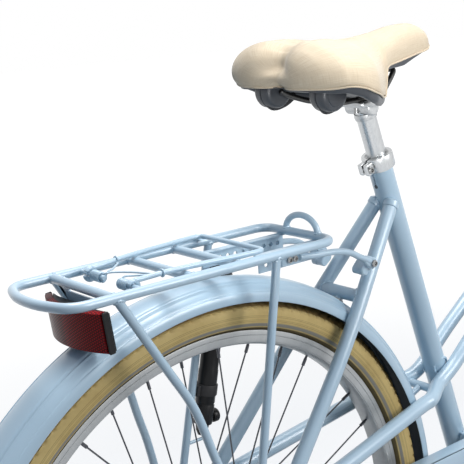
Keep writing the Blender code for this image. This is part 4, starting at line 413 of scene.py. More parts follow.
# %% Enamel
def make_enamel(name, pale, deep, rough, coat=1.0):
    """Two close tones by a slow cloud, a fine orange-peel, and a dull film by another cloud."""
    finish, add = new_finish(name)
    place = add("TexCoord", out="Object")
    slow = add("TexNoise", {"Vector": place, "Scale": 9.0, "Detail": 4.0})
    film = add("TexNoise", {"Vector": place, "Scale": 38.0, "Detail": 5.0, "Roughness": 0.6})
    peel = add("TexNoise", {"Vector": place, "Scale": 520.0, "Detail": 1.0})
    shader = add("BsdfPrincipled", {
        "Base Color": add("ValToRGB", {"Fac": slow}, stops=[(0.3, deep), (0.72, pale)]),
        "Roughness": add("ValToRGB", {"Fac": film}, stops=[(0.25, rough - 0.05), (0.8, rough + 0.1)]),
        "Normal": add("Bump", {"Height": peel, "Distance": 0.00004, "Strength": 0.4}),
        "IOR": 1.5, "Coat Weight": coat, "Coat Roughness": 0.28,
    })
    add("OutputMaterial", {"Surface": shader})
    return finish


enamel = make_enamel("pale_blue_enamel", "B2CAD9", "A9C3D4", 0.38)
# The dark blue enamel below is painted shade. It is used on the mudguards' insides and on the seat tube's
# slot end, hollows where shade falls.
shade_enamel = make_enamel("enamel_painted_shade", "34424E", "27333D", 0.55, 0.1)
print("enamel ready")

# %% [markdown]
# ### Bare metals
# Rims and seat post are aluminium, anodised to a satin; brushing leaves fine lines round the
# part. Spokes, bolts, rails and springs are zinc-plated or stainless steel, a little darker.
# The lines are noise stretched a hundredfold, which costs less than cutting them.

# %% Bare metals
def make_metal(name, pale, deep, rough, stretch, depth=0.00001):
    """Tone, roughness and height follow lines, which are noise drawn out by stretch:
    roughness = rough - 0.13 + 0.16 lines + 0.10 smudge."""
    finish, add = new_finish(name)
    place = add("TexCoord", out="Object")
    drawn = add("Mapping", {"Vector": place, "Scale": stretch})
    lines = add("TexNoise", {"Vector": drawn, "Scale": 1.0, "Detail": 4.0, "Roughness": 0.6})
    smudge = add("TexNoise", {"Vector": place, "Scale": 55.0, "Detail": 3.0})
    film = add("Math", {0: smudge, 1: 0.1}, operation="MULTIPLY")
    film = add("Math", {0: lines, 1: 0.16, 2: film}, operation="MULTIPLY_ADD")
    shader = add("BsdfPrincipled", {
        "Base Color": add("ValToRGB", {"Fac": lines}, stops=[(0.25, deep), (0.75, pale)]),
        "Roughness": add("Math", {0: film, 1: rough - 0.13}, operation="ADD"),
        "Normal": add("Bump", {"Height": lines, "Distance": depth, "Strength": 0.6}),
        "Metallic": 1.0,
    })
    add("OutputMaterial", {"Surface": shader})
    return finish


post_alloy = make_metal("brushed_aluminium", "D3D5D6", "B9BCBE", 0.3, (1600, 1600, 25))
cast_alloy = make_metal("cast_aluminium", "C9CBCC", "A9ACAE", 0.36, (240, 240, 240), 0.00004)
bright_alloy = make_metal("polished_aluminium", "DFE1E2", "CDD0D1", 0.18, (900, 40, 900))
zinc_steel = make_metal("zinc_plated_steel", "A9AAA8", "86878A", 0.34, (420, 420, 420))
spoke_steel = make_metal("stainless_spoke_wire", "5C5E64", "404247", 0.3, (500, 500, 500))
dark_steel = make_metal("browned_steel", "5C5B59", "3F3F40", 0.42, (300, 300, 300), 0.00003)
chain_steel = make_metal("oiled_steel", "6B655C", "46423D", 0.38, (350, 350, 350), 0.00003)


def make_rim_metal():
    """Satin aluminium turned on a lathe: lines run round the wheel, so the pattern reads the
    piece's map, metres along the rim and across it. A grey film lies in a slow cloud over it,
    and the tone follows 0.45 lines + 0.55 film."""
    finish, add = new_finish("satin_anodised_aluminium")
    drawn = add("Mapping", {"Vector": add("TexCoord", out="UV"), "Scale": (6, 4200, 1)})
    lines = add("TexNoise", {"Vector": drawn, "Scale": 1.0, "Detail": 3.0})
    place = add("TexCoord", out="Object")
    film = add("TexNoise", {"Vector": place, "Scale": 30.0, "Detail": 4.0, "Roughness": 0.6})
    both = add("Math", {0: film, 1: 0.55}, operation="MULTIPLY")
    both = add("Math", {0: lines, 1: 0.45, 2: both}, operation="MULTIPLY_ADD")
    tones = [(0.25, "9C9E9F"), (0.6, "B2B4B4"), (0.85, "BEBFBE")]
    shader = add("BsdfPrincipled", {
        "Base Color": add("ValToRGB", {"Fac": both}, stops=tones),
        "Normal": add("Bump", {"Height": lines, "Distance": 0.00002, "Strength": 0.4}),
        "Metallic": 0.55, "Roughness": 0.42,
    })
    add("OutputMaterial", {"Surface": shader})
    return finish


rim_alloy = make_rim_metal()
print("metals ready")

# %% [markdown]
# ### Rubber and plastics
# The tyres are moulded in tan rubber with a grey reflecting band on each wall; the shine of
# rubber is broad and weak. Grips and pedal treads are black rubber, the pump and the
# reflector's housing black ABS, the saddle's base dark grey polypropylene with a fine grain.

# %% Rubber and plastics
TYRE_SECTION_R, TYRE_OUTER_R, BEAD_R = 0.023, 0.357, 0.3143
TYRE_MIDDLE_R = TYRE_OUTER_R - TYRE_SECTION_R
TYRE_BULGE = math.acos((BEAD_R + 0.004 - TYRE_MIDDLE_R) / TYRE_SECTION_R)
TYRE_HALF_ARC_MM = 1000 * TYRE_BULGE * TYRE_SECTION_R


def make_tan_rubber():
    """Colour by share = |v - half arc| / half arc, the distance from the tread's middle in the
    map: tan, with painted shade over the tread where the mudguard shades it, the grey band,
    painted shade lines beside the two moulded ridges on each wall and a painted shade line in
    the crease by the rim, then a slow cloud and fine dust over all."""
    finish, add = new_finish("tan_tyre_rubber")
    place = add("TexCoord", out="Object")
    across_m = add("SeparateXYZ", {0: add("TexCoord", out="UV")}, out="Y")
    across_mm = add("Math", {0: across_m, 1: 1000.0}, operation="MULTIPLY")
    away = add("Math", {0: across_mm, 1: TYRE_HALF_ARC_MM}, operation="SUBTRACT")
    away = add("Math", {0: away}, operation="ABSOLUTE")
    share = add("Math", {0: away, 1: TYRE_HALF_ARC_MM}, operation="DIVIDE")
    cloud = add("TexNoise", {"Vector": place, "Scale": 26.0, "Detail": 5.0, "Roughness": 0.6})
    tan = add("ValToRGB", {"Fac": cloud}, stops=[(0.28, "BBA166"), (0.72, "D3BA7D")])
    # Painted shade multiplied over the tan: dark over the tread (share below 0.475) where the mudguard shades
    # it, thin dark lines on both sides of each moulded ridge, and a dark line at the wall's foot in the
    # crease by the rim.
    plain, line = "FFFFFF", "7D6A40"
    painted_shade = add("ValToRGB", {"Fac": share}, stops=[
        (0.0, "6E5A30"), (0.45, "8A7444"), (0.475, plain), (0.694, plain), (0.7, line), (0.707, plain),
        (0.722, plain), (0.729, line), (0.736, plain), (0.788, plain), (0.794, line), (0.801, plain),
        (0.816, plain), (0.822, line), (0.83, plain), (0.988, plain), (0.994, "2A210F"),
    ])
    tan_with_painted_shade = add("Mix", {"Factor": 0.75, 6: tan, 7: painted_shade}, 2, data_type="RGBA", blend_type="MULTIPLY")
    band = [(0.0, 0.0), (0.874, 0.0), (0.88, 1.0), (0.955, 1.0), (0.961, 0.0), (1.0, 0.0)]
    band = add("ValToRGB", {"Fac": share}, stops=band)
    base = add("Mix", {"Factor": band, 6: tan_with_painted_shade, 7: colour("8F8A80")}, 2, data_type="RGBA")
    specks = add("TexNoise", {"Vector": place, "Scale": 900.0, "Detail": 2.0})
    dust = add("ValToRGB", {"Fac": specks}, stops=[(0.6, 0.0), (0.8, 0.25)])
    grain = add("TexNoise", {"Vector": place, "Scale": 1500.0, "Detail": 2.0})
    shader = add("BsdfPrincipled", {
        "Base Color": add("Mix", {"Factor": dust, 6: base, 7: colour("A08A58")}, 2, data_type="RGBA"),
        "Normal": add("Bump", {"Height": grain, "Distance": 0.00006, "Strength": 0.6}),
        "Roughness": 0.62, "Specular IOR Level": 0.35,
    })
    add("OutputMaterial", {"Surface": shader})
    return finish


def make_plastic(name, pale, deep, rough, grain, depth, specular=0.5):
    """Moulded plastic or rubber: two close tones, and a spark-eroded grain of that scale."""
    finish, add = new_finish(name)
    place = add("TexCoord", out="Object")
    cloud = add("TexNoise", {"Vector": place, "Scale": 24.0, "Detail": 4.0, "Roughness": 0.6})
    pits = add("TexNoise", {"Vector": place, "Scale": grain, "Detail": 2.0})
    shader = add("BsdfPrincipled", {
        "Base Color": add("ValToRGB", {"Fac": cloud}, stops=[(0.3, deep), (0.7, pale)]),
        "Roughness": add("ValToRGB", {"Fac": cloud}, stops=[(0.2, rough - 0.06), (0.8, rough + 0.08)]),
        "Normal": add("Bump", {"Height": pits, "Distance": depth, "Strength": 0.7}),
        "IOR": 1.49, "Specular IOR Level": specular,
    })
    add("OutputMaterial", {"Surface": shader})
    return finish


tan_rubber = make_tan_rubber()
black_rubber = make_plastic("black_rubber", "232326", "161618", 0.6, 700.0, 0.00008)
black_abs = make_plastic("black_abs", "1B1C1E", "121315", 0.36, 1100.0, 0.00003, specular=0.25)
grey_pp = make_plastic("dark_grey_polypropylene", "45484D", "383B40", 0.38, 900.0, 0.00005)
white_lens = make_plastic("clear_polycarbonate", "DADDE0", "C4C8CC", 0.1, 400.0, 0.0001)


def make_reflex_red():
    """Red acrylic over corner-cube prisms. Three cosine waves at 60 degrees to one another add
    up to a honeycomb, cells = (sum + 1.5) / 4.5; it darkens the colour between cells and dents
    the surface. Bands across the lens then paint shade on its three prism panels: the left and
    middle panels, which face away from the light, are darker, and the right one keeps its red."""
    finish, add = new_finish("red_acrylic_reflex")
    where = add("TexCoord", out="UV")
    pitch = 0.003
    total = 1.5
    for turn in (0.0, 60.0, 120.0):
        way = (math.cos(math.radians(turn)), math.sin(math.radians(turn)), 0.0)
        along = add("VectorMath", {0: where, 1: way}, "Value", operation="DOT_PRODUCT")
        phase = add("Math", {0: along, 1: 4 * math.pi / (math.sqrt(3) * pitch)}, operation="MULTIPLY")
        wave = add("Math", {0: phase}, operation="COSINE")
        total = add("Math", {0: wave, 1: total}, operation="ADD")
    cells = add("Math", {0: total, 1: 1 / 4.5}, operation="MULTIPLY")
    tones = [(0.06, "420006"), (0.35, "7C000C"), (0.85, "D00A1A")]
    shade = add("ValToRGB", {"Fac": cells}, stops=tones)
    where_u = add("SeparateXYZ", {0: where}, out="X")
    share = add("Math", {0: where_u, 1: 0.12}, operation="DIVIDE")
    # Painted shade by panel: the left and middle prism panels are darkened as if turned away from the light;
    # the right panel is left at full red.
    panel_shade = add("ValToRGB", {"Fac": share}, stops=[
        (0.0, "8E7278"), (0.3, "7E5C62"), (0.34, "5E3A3E"), (0.42, "B0606A"),
        (0.47, "9A4A54"), (0.66, "C88088"), (0.7, "FFFFFF"), (1.0, "FFFFFF"),
    ])
    mixed = {"Factor": 1.0, 6: shade, 7: panel_shade}
    shader = add("BsdfPrincipled", {
        "Base Color": add("Mix", mixed, 2, data_type="RGBA", blend_type="MULTIPLY"),
        "Normal": add("Bump", {"Height": cells, "Distance": 0.0004, "Strength": 0.5}),
        "IOR": 1.45, "Roughness": 0.3, "Specular IOR Level": 0.1,
        "Coat Weight": 0.06, "Coat Roughness": 0.05,
    })
    add("OutputMaterial", {"Surface": shader})
    return finish


reflex_red = make_reflex_red()
print("rubber and plastics ready")

# %% [markdown]
# ### Saddle cloth
# The saddle wears a woven beige cover, coated against rain. Threads stand about half a
# millimetre apart; thicker ones make the faint streaks of linen across the saddle. Threads
# that fine are drawn a little coarser, so that they show. Cloth scatters light at a low angle,
# which the sheen gives.

# %% Saddle cloth
def make_saddle_cloth():
    """Warp and weft are two sine waves at right angles, multiplied: weave = sin u sin v. The
    thicker threads are noise drawn out both ways. Tone = threads + 0.05 weave, and
    height = threads + 0.5 weave."""
    finish, add = new_finish("coated_linen_weave")
    where = add("TexCoord", out="UV")
    weave = 1.0
    for way in "XY":
        along = add("SeparateXYZ", {0: where}, out=way)
        phase = add("Math", {0: along, 1: 2 * math.pi / 0.0011}, operation="MULTIPLY")
        wave = add("Math", {0: phase}, operation="SINE")
        weave = add("Math", {0: wave, 1: weave}, operation="MULTIPLY")
    threads = 0.0
    for stretch, share in (((45, 1300, 1), 0.6), ((1300, 60, 1), 0.4)):
        drawn = add("Mapping", {"Vector": where, "Scale": stretch})
        streak = add("TexNoise", {"Vector": drawn, "Scale": 1.0, "Detail": 2.0})
        threads = add("Math", {0: streak, 1: share, 2: threads}, operation="MULTIPLY_ADD")
    tone, height = (
        add("Math", {0: weave, 1: share, 2: threads}, operation="MULTIPLY_ADD") for share in (0.05, 0.5)
    )
    tones = [(0.3, "C9B69A"), (0.5, "D6C4A9"), (0.7, "DFD1BA")]
    shader = add("BsdfPrincipled", {
        "Base Color": add("ValToRGB", {"Fac": tone}, stops=tones),
        "Normal": add("Bump", {"Height": height, "Distance": 0.00012, "Strength": 0.5}),
        "Roughness": 0.72, "Sheen Weight": 0.25, "Sheen Roughness": 0.4, "Specular IOR Level": 0.3,
    })
    add("OutputMaterial", {"Surface": shader})
    return finish


cloth = make_saddle_cloth()
print("cloth ready")

# %% [markdown]
# ## Tyres
# A tyre is a torus with a flat-lying tread. Its outer skin is a circle about the section's
# middle, from bead to bead; the radius dips in five grooves that run round the wheel and in
# short cuts across each shoulder, one every sixteen millimetres or so. Cutting them with
# Booleans would be slow, while one formula for the radius gives them all.

# %% Tyres
WHEELS = (("rear", 0.0), ("front", WHEEL_BASE))
# Tyre grid: rows round the wheel, points across the section, rows from one cut to the next.
TYRE_TURN_STEPS, TYRE_SECTION_STEPS, CUT_STEPS = 1120, 77, 8


def tyre_grid(x):
    """Radius = section circle, less a dip at each groove's angle, less a cut on the shoulders
    over about a third of every step round the wheel."""
    lean = np.linspace(-TYRE_BULGE, TYRE_BULGE, TYRE_SECTION_STEPS)
    turn = np.arange(TYRE_TURN_STEPS) * 2 * np.pi / TYRE_TURN_STEPS
    degrees = np.degrees(lean)[None, :]
    slope = np.abs(degrees)
    grooves = sum(np.exp(-(((slope - at) / 1.4) ** 2)) for at in (0, 12, 24))
    moulded = sum(np.exp(-(((slope - at) / 1.5) ** 2)) for at in (95, 107.5))
    shoulder = np.clip((slope - 26) / 3, 0, 1) * np.clip((71 - slope) / 2.5, 0, 1)
    ledge = np.exp(-(((slope - 67) / 2.4) ** 2))
    place = np.arange(TYRE_TURN_STEPS)[:, None] + 2.4 * np.abs(slope - 46) / 12
    cut = np.clip(1.6 - np.abs(np.mod(place, CUT_STEPS) - 2.0), 0, 1)
    dip = 0.0014 * grooves + 0.0022 * shoulder * cut - 0.0004 * moulded - 0.0016 * ledge * (1 - cut)
    band = 0.0001 * np.clip((4 - np.abs(slope - 115)) / 1, 0, 1)
    section = TYRE_SECTION_R - 0.0002 - dip + band
    radius = TYRE_MIDDLE_R + section * np.cos(lean)[None, :]
    side = section * np.sin(lean)[None, :] + 0.0022 * np.sign(lean) * np.clip((slope - 92) / 41, 0, 1)
    skin = np.stack((radius, side), -1)
    lip = np.array(((BEAD_R + GAP, 0.0118), (BEAD_R + GAP, 0.01), (0.3078, 0.01)))
    inside = np.vstack((lip, (lip * (1, -1))[::-1]))
    inside = np.broadcast_to(inside, (TYRE_TURN_STEPS, *inside.shape))
    both = np.concatenate((skin, inside), 1)
    cos, sin = np.cos(turn)[:, None], np.sin(turn)[:, None]
    grid = np.stack((x + both[..., 0] * cos, both[..., 1], both[..., 0] * sin), -1)
    return patch(world(grid), wrap_rows=True)


for word, x in WHEELS:
    piece(
        f"{word}_tyre_rubber", f"{word}_wheel", [(tyre_grid(x), tan_rubber)],
        f"{word}_tyre", sharp=60,
    )
print("tyres:", made_faces, "faces")

# %% [markdown]
# ## Rims
# The rim is a rolled aluminium box: two hooked flanges that hold the beads, flat walls, and a
# rounded floor for the spokes. A closed profile turned about the axle gives it in one surface.
# Each spoke ends in a brass nipple, plated, that sits in the floor.

# %% Rims
RIM_HOOK = [
    (0.0125, 0.3138), (0.0123, 0.3146), (0.0112, 0.3146), (0.0104, 0.3133), (0.0104, 0.3078),
    (0.0096, 0.3071), (0.006, 0.3066),
]
RIM_WALL = [
    (-0.0125, 0.31), (-0.0124, 0.309), (-0.0119, 0.3087), (-0.0124, 0.3083), (-0.0122, 0.3025),
    (-0.0119, 0.301), (-0.0113, 0.3006), (-0.0112, 0.2996), (-0.0094, 0.2975), (-0.0062, 0.2963),
]
RIM_PROFILE = [*RIM_HOOK, *mirrored(RIM_HOOK), *RIM_WALL, (0.0, 0.296), *mirrored(RIM_WALL)]
for word, x in WHEELS:
    rim = lathe([(y * 1.22, radius) for y, radius in RIM_PROFILE], (x, 0, 0), steps=240, closed=True)
    valve = lathe(
        [(0.0, 0.0), (0.0, 0.0034), (0.02, 0.0034), (0.021, 0.0044), (0.036, 0.004), (0.038, 0.0)],
        (x - 0.296 * math.sin(0.44), 0, -0.296 * math.cos(0.44)),
        (math.sin(0.44), 0, math.cos(0.44)), 16,
    )
    piece(
        f"{word}_rim_alloy", f"{word}_wheel", [(rim, rim_alloy), (valve, black_rubber)],
        f"{word}_rim", sharp=30,
    )

# %% [markdown]
# ## Hubs and spokes
# Thirty-six spokes cross from two flanges to the rim. Each is a two-millimetre wire with a bend
# at its head. All spokes of a wheel are one stack of equal grids, each a round profile along
# its own line, so whole arrays make them at once.

# %% Spokes
SPOKES, SPOKE_LEAD, SPOKE_R, SPOKE_START = 36, math.radians(57), 0.00105, math.radians(15.6)
RIM_FLOOR_R = 0.2962


def spoke_grids(x, hole_r, flange_y):
    """Ends of every spoke, then a circle of six points at each stage along it: head, bend,
    wire and nipple. Odd spokes go to the other flange, and every second pair leads back."""
    index = np.arange(SPOKES)
    side = np.where(index % 2 == 0, 1.0, -1.0)
    lead = np.where((index + 3) % 4 < 2, 1.0, -1.0)
    tip_turn = SPOKE_START + 2 * np.pi * index / SPOKES
    hole_turn = tip_turn + lead * SPOKE_LEAD
    head_y = side * (flange_y + lead * 0.0018)
    head = np.column_stack((x + hole_r * np.cos(hole_turn), head_y, hole_r * np.sin(hole_turn)))
    tip = np.column_stack(
        (x + RIM_FLOOR_R * np.cos(tip_turn), side * 0.002, RIM_FLOOR_R * np.sin(tip_turn))
    )
    start = head - np.column_stack((0 * side, side * lead * 0.0046, 0 * side))
    run = tip - head
    share = np.array((0.0, 0.0, 0.01, 0.5, 0.952, 0.952, 0.985, 0.99, 1.0))
    radius = np.array((1.0, 1.0, 1.0, 1.0, 1.0, 2.0, 2.0, 1.5, 1.5)) * SPOKE_R
    line = head[:, None] + run[:, None] * share[None, :, None]
    line[:, 0] = start
    ahead = run / np.linalg.norm(run, axis=1, keepdims=True)
    across_way = np.cross(ahead, (0.0, 1.0, 0.0))
    across_way /= np.linalg.norm(across_way, axis=1, keepdims=True)
    upward = np.cross(across_way, ahead)
    turn = np.arange(6) * np.pi / 3
    way = np.cos(turn)[None, :, None] * across_way[:, None]
    way = way + np.sin(turn)[None, :, None] * upward[:, None]
    grid = line[:, :, None] + radius[None, :, None, None] * way[:, None]
    wire, nipple = grid[:, :5], grid[:, 5:]
    cap = [line[:, k : k + 1, None] + 0 * way[:, None] for k in (0, 5, 8)]
    wire = np.concatenate((cap[0], wire), 1)
    nipple = np.concatenate((cap[1], nipple, cap[2]), 1)
    return patch(world(wire)), patch(world(nipple))


# %% Hubs
HUBS = {
    "rear": (0.034, 0.029, [
        (0.0575, 0.0), (0.0575, 0.009), (0.056, 0.011), (0.034, 0.0118), (0.0325, 0.0225),
        (0.0315, 0.037), (0.0305, 0.038), (0.0275, 0.038), (0.0265, 0.037), (0.0262, 0.031),
        (0.024, 0.0296), (0.01, 0.029), (0.0, 0.0288),
    ]),
    "front": (0.02, 0.03, [
        (0.04, 0.0), (0.04, 0.0085), (0.0385, 0.0106), (0.0335, 0.011), (0.0325, 0.015),
        (0.0316, 0.023), (0.0308, 0.024), (0.029, 0.024), (0.0283, 0.023), (0.028, 0.0165),
        (0.025, 0.0146), (0.01, 0.0138), (0.0, 0.0136),
    ]),
}
for word, x in WHEELS:
    hole_r, flange_y, half = HUBS[word]
    profile = half + mirrored(half[:-1])
    wire, nipple = spoke_grids(x, hole_r, flange_y)
    shell = lathe(profile, (x, 0, 0), steps=48)
    piece(
        f"{word}_hub_and_spokes", f"{word}_wheel",
        [(shell, cast_alloy), (wire, spoke_steel), (nipple, spoke_steel)], f"{word}_hub",
    )
print("wheels:", made_faces, "faces")

# %% [markdown]
# ## Bolts, nuts and weld beads
# A nut is a turned ring whose radius follows six flats. A screw head is turned, with a round
# socket. A weld bead is a small tube with ripples; it runs where the skins of two tubes meet,
# and that line is worked out: along each straight line of the first tube's skin, the distance
# at which it is one radius away from the second tube's axis.

# %% Fasteners
def nut(centre, axis, across, height, bore=0.0):
    """Six-sided nut with chamfered corners."""
    half, edge = across / 2, across * 0.05
    rows = [(0.0, bore), (0.0, half - edge), (edge, half), (height - edge, half)]
    rows += [(height, half - edge), (height, bore)]
    return lathe(rows, centre, axis, 48, closed=bore > 0, shape=sides_of(6))


def screw_head(centre, axis, radius, height):
    """Round head with a rounded rim and a socket half as wide."""
    edge = min(radius, height) * 0.25
    rows = [(0.0, 0.0), (0.0, radius - edge), (edge, radius), (height - edge, radius)]
    rows += [(height, radius - edge), (height, radius * 0.55), (height * 0.4, radius * 0.5)]
    return lathe([*rows, (height * 0.4, 0.0)], centre, axis, 24)


def domed_nut(centre, axis, across, height):
    """Nut with a round washer under it and a dome over it, as on a wheel's axle."""
    washer = [(0.0, 0.0), (0.0, across * 0.6), (0.0012, across * 0.62)]
    washer += [(0.0016, across * 0.58), (0.0016, 0.0)]
    lean = np.linspace(0, np.pi / 2, 7)
    dome = [(height * 0.66 + height * 0.34 * math.sin(a), across * 0.4 * math.cos(a)) for a in lean]
    return [lathe(washer, centre, axis, 32),
            nut(np.asarray(centre) + np.asarray(axis) * 0.0016, axis, across, height * 0.66),
            lathe([(height * 0.6, 0.0), *dome], centre, axis, 32)]


# %% Weld beads
def meeting_line(start, way, radius, point, axis, big_radius, count=72):
    """For each line of the first tube's skin: the distance where it meets the second tube's
    skin, the smaller root of a quadratic."""
    start, way, point, axis = (np.asarray(v, float) for v in (start, way, point, axis))
    way, axis = way / np.linalg.norm(way), axis / np.linalg.norm(axis)
    side = np.cross(way, axis)
    side /= np.linalg.norm(side)
    turn = np.arange(count) * 2 * np.pi / count
    lines = start + radius * (
        np.cos(turn)[:, None] * side + np.sin(turn)[:, None] * np.cross(way, side)
    )
    off = lines - point
    off -= (off @ axis)[:, None] * axis
    flat_way = way - (way @ axis) * axis
    a, b = flat_way @ flat_way, off @ flat_way
    c = (off**2).sum(1) - big_radius**2
    root = np.sqrt(np.maximum(b * b - a * c, 0))
    return lines + ((-b - root) / a)[:, None] * way


def bead(line, radius=0.0016):
    """Tube round a closed line, its radius rippled by a sixth as the pool of metal froze."""
    line = np.asarray(line)
    ripples = 1 + 0.16 * np.sin(np.arange(len(line)) * 2 * np.pi / 4)
    return sweep(line, ring(1.0, 8), radius * ripples, closed=True)


print("fasteners ready")

# %% [markdown]
# ## Mudguards
# A mudguard is rolled from sheet: a flat crown, two pressed lines on each side of it, deep
# side walls and a hem turned in at each edge. The section is a closed loop, outside and
# inside a millimetre apart, carried round an arc of the wheel. The inside gets a dark blue
# enamel, which is painted shade for the hollow under the guard.

# %% Mudguards
GUARD_CREST_R, GUARD_EDGE_R, GUARD_HALF_WIDTH = 0.378, 0.353, 0.0325
GUARDS = {"rear": (0.0, 0.0, 200.0, "frame"), "front": (WHEEL_BASE, 50.0, 190.0, "steering")}


def guard_section(inset):
    """Across the guard: half width times the cosine of a lean that goes from edge to edge,
    and a radius that rises by the sine to the power 0.8, less two narrow pressed lines."""
    lean = np.linspace(0, np.pi, 113)
    y = (GUARD_HALF_WIDTH - inset) * np.cos(lean)
    depth = GUARD_CREST_R - GUARD_EDGE_R
    radius = GUARD_EDGE_R + depth * np.abs(np.sin(lean)) ** 0.8 - inset
    share = np.abs(y) / GUARD_HALF_WIDTH
    step = 0.0014 / (1 + np.exp(-(share - 0.5) / 0.008))
    line = 0.0018 * np.exp(-(((share - 0.63) / 0.024) ** 2))
    line -= 0.0012 * np.exp(-(((share - 0.9) / 0.02) ** 2))
    fade = np.clip((0.97 - share) / 0.1, 0, 1)
    return np.column_stack((radius - (step - line) * fade, y))


def guard_grid(x, start, end, rows, section):
    """The section carried round the wheel from the start angle to the end angle."""
    turn = np.radians(np.linspace(start, end, rows))
    grid = np.broadcast_to(section, (rows, *section.shape))
    cos, sin = np.cos(turn)[:, None], np.sin(turn)[:, None]
    return np.stack((x + grid[..., 0] * cos, grid[..., 1], grid[..., 0] * sin), -1)


for word, (x, start, end, body) in GUARDS.items():
    outer, inner = guard_section(0.0), guard_section(0.0009)
    hem = np.array([(GUARD_EDGE_R - 0.0009, GUARD_HALF_WIDTH - 0.0004)])
    outside = np.vstack((hem, outer, hem * (1, -1)))
    tuck = np.array([(GUARD_EDGE_R - 0.001, GUARD_HALF_WIDTH - 0.0022)])
    inside = np.vstack((hem, tuck, inner, tuck * (1, -1), hem * (1, -1)))
    rows = round((end - start) / 1.25)
    parts = [
        (patch(world(guard_grid(x, start, end, rows, outside)), wrap_columns=False), enamel),
        (patch(world(guard_grid(x, start, end, rows, inside)), wrap_columns=False), shade_enamel),
    ]
    for at in (start, end):
        rim = np.stack((outside, np.vstack((hem, inner, hem * (1, -1)))))
        turn = math.radians(at)
        along, up = rim[..., 0] * math.cos(turn), rim[..., 0] * math.sin(turn)
        lip = np.stack((x + along, rim[..., 1], up), -1)
        parts.append((patch(world(lip), wrap_columns=False), enamel))
    piece(f"{word}_mudguard_sheet", body, parts, f"{word}_mudguard", sharp=50)
print("mudguards:", made_faces, "faces")

# %% [markdown]
# ## Frame
# The frame is welded from aluminium tubes: one seat tube, two seat stays that end beside it,
# two lateral tubes that swing past it to the head tube, chain stays, a down tube and small
# bridges. Each is a round profile along its own line, with a weld bead where it meets another.

# %% Lines of the frame's tubes
STAY_R, LATERAL_R, TUBE_R, SEAT_TUBE_TOP = 0.0092, 0.01, 0.0159, 0.4815
STAY_TOP, STAY_BEND = (0.316, 0.0125, 0.4195), (0.1965, 0.045, 0.27)
STAY_FOOT, CHAIN_STAY_END = (0.015, 0.06975, 0.0519), (0.03, 0.06975, 0.001)
BRACKET = (BRACKET_X, 0.0, -BRACKET_DROP)
MIRROR = np.array((1.0, -1.0, 1.0))


def on_side(points, side):
    """Points given for the left, mirrored for the right."""
    return np.asarray(points, float) * (MIRROR if side < 0 else 1.0)


def stay_at(h):
    """Point on the left stay's corner line at height h."""
    line = np.array((STAY_FOOT, STAY_BEND, STAY_TOP))
    return np.array([np.interp(h, line[:, 2], line[:, k]) for k in range(3)])


def lateral_line(side, steps=8):
    """From the seat stay, past the seat tube's side, to the head tube."""
    join = steer_point(0.548)
    beside = TUBE_R + LATERAL_R - 0.0022
    route = [stay_at(0.09), (0.15, 0.0575, 0.108), (0.32, 0.0445, 0.1372)]
    route += [(0.352, 0.0435, 0.143), (0.388, beside + 0.002, 0.149), (0.4225, beside, 0.1665)]
    route += [(0.4572, beside, 0.194), (0.5222, beside - 0.002, 0.242), (join[0], 0.012, join[2])]
    return on_side(smooth(route, steps), side)


def reach_at(line, reach):
    """Point of a line at that distance from the wheel's axis."""
    away = np.hypot(line[:, 0], line[:, 2])
    order = np.argsort(away)
    return np.array([np.interp(reach, away[order], line[order, k]) for k in range(3)])


def spacer(point, body_r):
    """Short post from a bridge down to the mudguard, with a screw's head under it."""
    top = np.array((point[0], 0.0, point[2]))
    outward = top / np.linalg.norm(top)
    foot = outward * 0.3786
    head = [(0.0, 0.0), (0.0, body_r * 1.25), (0.0012, body_r * 1.25), (0.0014, 0.0)]
    return [(tube(np.linspace(top, foot, 6), body_r, 24), enamel),
            (lathe(head, foot, outward, 24), zinc_steel)]


# %% Seat tube
slot_turn = math.degrees(math.asin(0.0011 / TUBE_R))
tube_ring = arc((0, 0), TUBE_R, slot_turn, 360 - slot_turn, 60)
bore_ring = arc((0, 0), 0.0131, 360 - slot_turn, slot_turn, 60)
slotted = np.vstack((tube_ring, bore_ring))
slot_foot = SEAT_TUBE_TOP - 0.036
low = np.array([seat_point(h) for h in np.linspace(-0.032, slot_foot, 12)])
high = np.array([seat_point(h)
                 for h in (slot_foot, slot_foot + 0.01, SEAT_TUBE_TOP - 0.001, SEAT_TUBE_TOP)])
hole = seat_point(slot_foot, TUBE_R - 0.0006)
slot_end = [(0.0, 0.0), (0.0, 0.0026), (0.0009, 0.0026), (0.0009, 0.0)]
flat = (0.0, 1.0, 0.0)
bracket_line = meeting_line(seat_point(0.1), -SEAT_UP, TUBE_R, BRACKET, (0, 1, 0), 0.02)
piece(
    "seat_tube_enamelled", "frame",
    [
        (sweep(low, ring(TUBE_R, 60), flat=flat), enamel),
        (sweep(high, slotted, (1, 1, 1, 0.985), flat=flat), enamel),
        # The slot's round end is a small disk in the dark blue enamel: painted shade in the hole.
        (lathe(slot_end, hole, (-1, 0, -0.34), 20), shade_enamel),
        (bead(bracket_line, 0.0018), enamel),
    ],
    "seat_tube",
)

# %% Seat stays and their lugs
LUG_AT, ARM_INNER_Y = (0.2375, 0.3593), 0.0465


def hull(first, first_r, second, second_r, count=48):
    """Outline of two circles and the straight lines that touch both: every direction takes the
    circle that reaches further that way."""
    a = np.arange(count) * 2 * np.pi / count
    way = np.column_stack((np.cos(a), np.sin(a)))
    first, second = np.asarray(first, float), np.asarray(second, float)
    nearer = way @ (second - first) + second_r - first_r > 0
    return np.where(nearer[:, None], second + second_r * way, first + first_r * way)


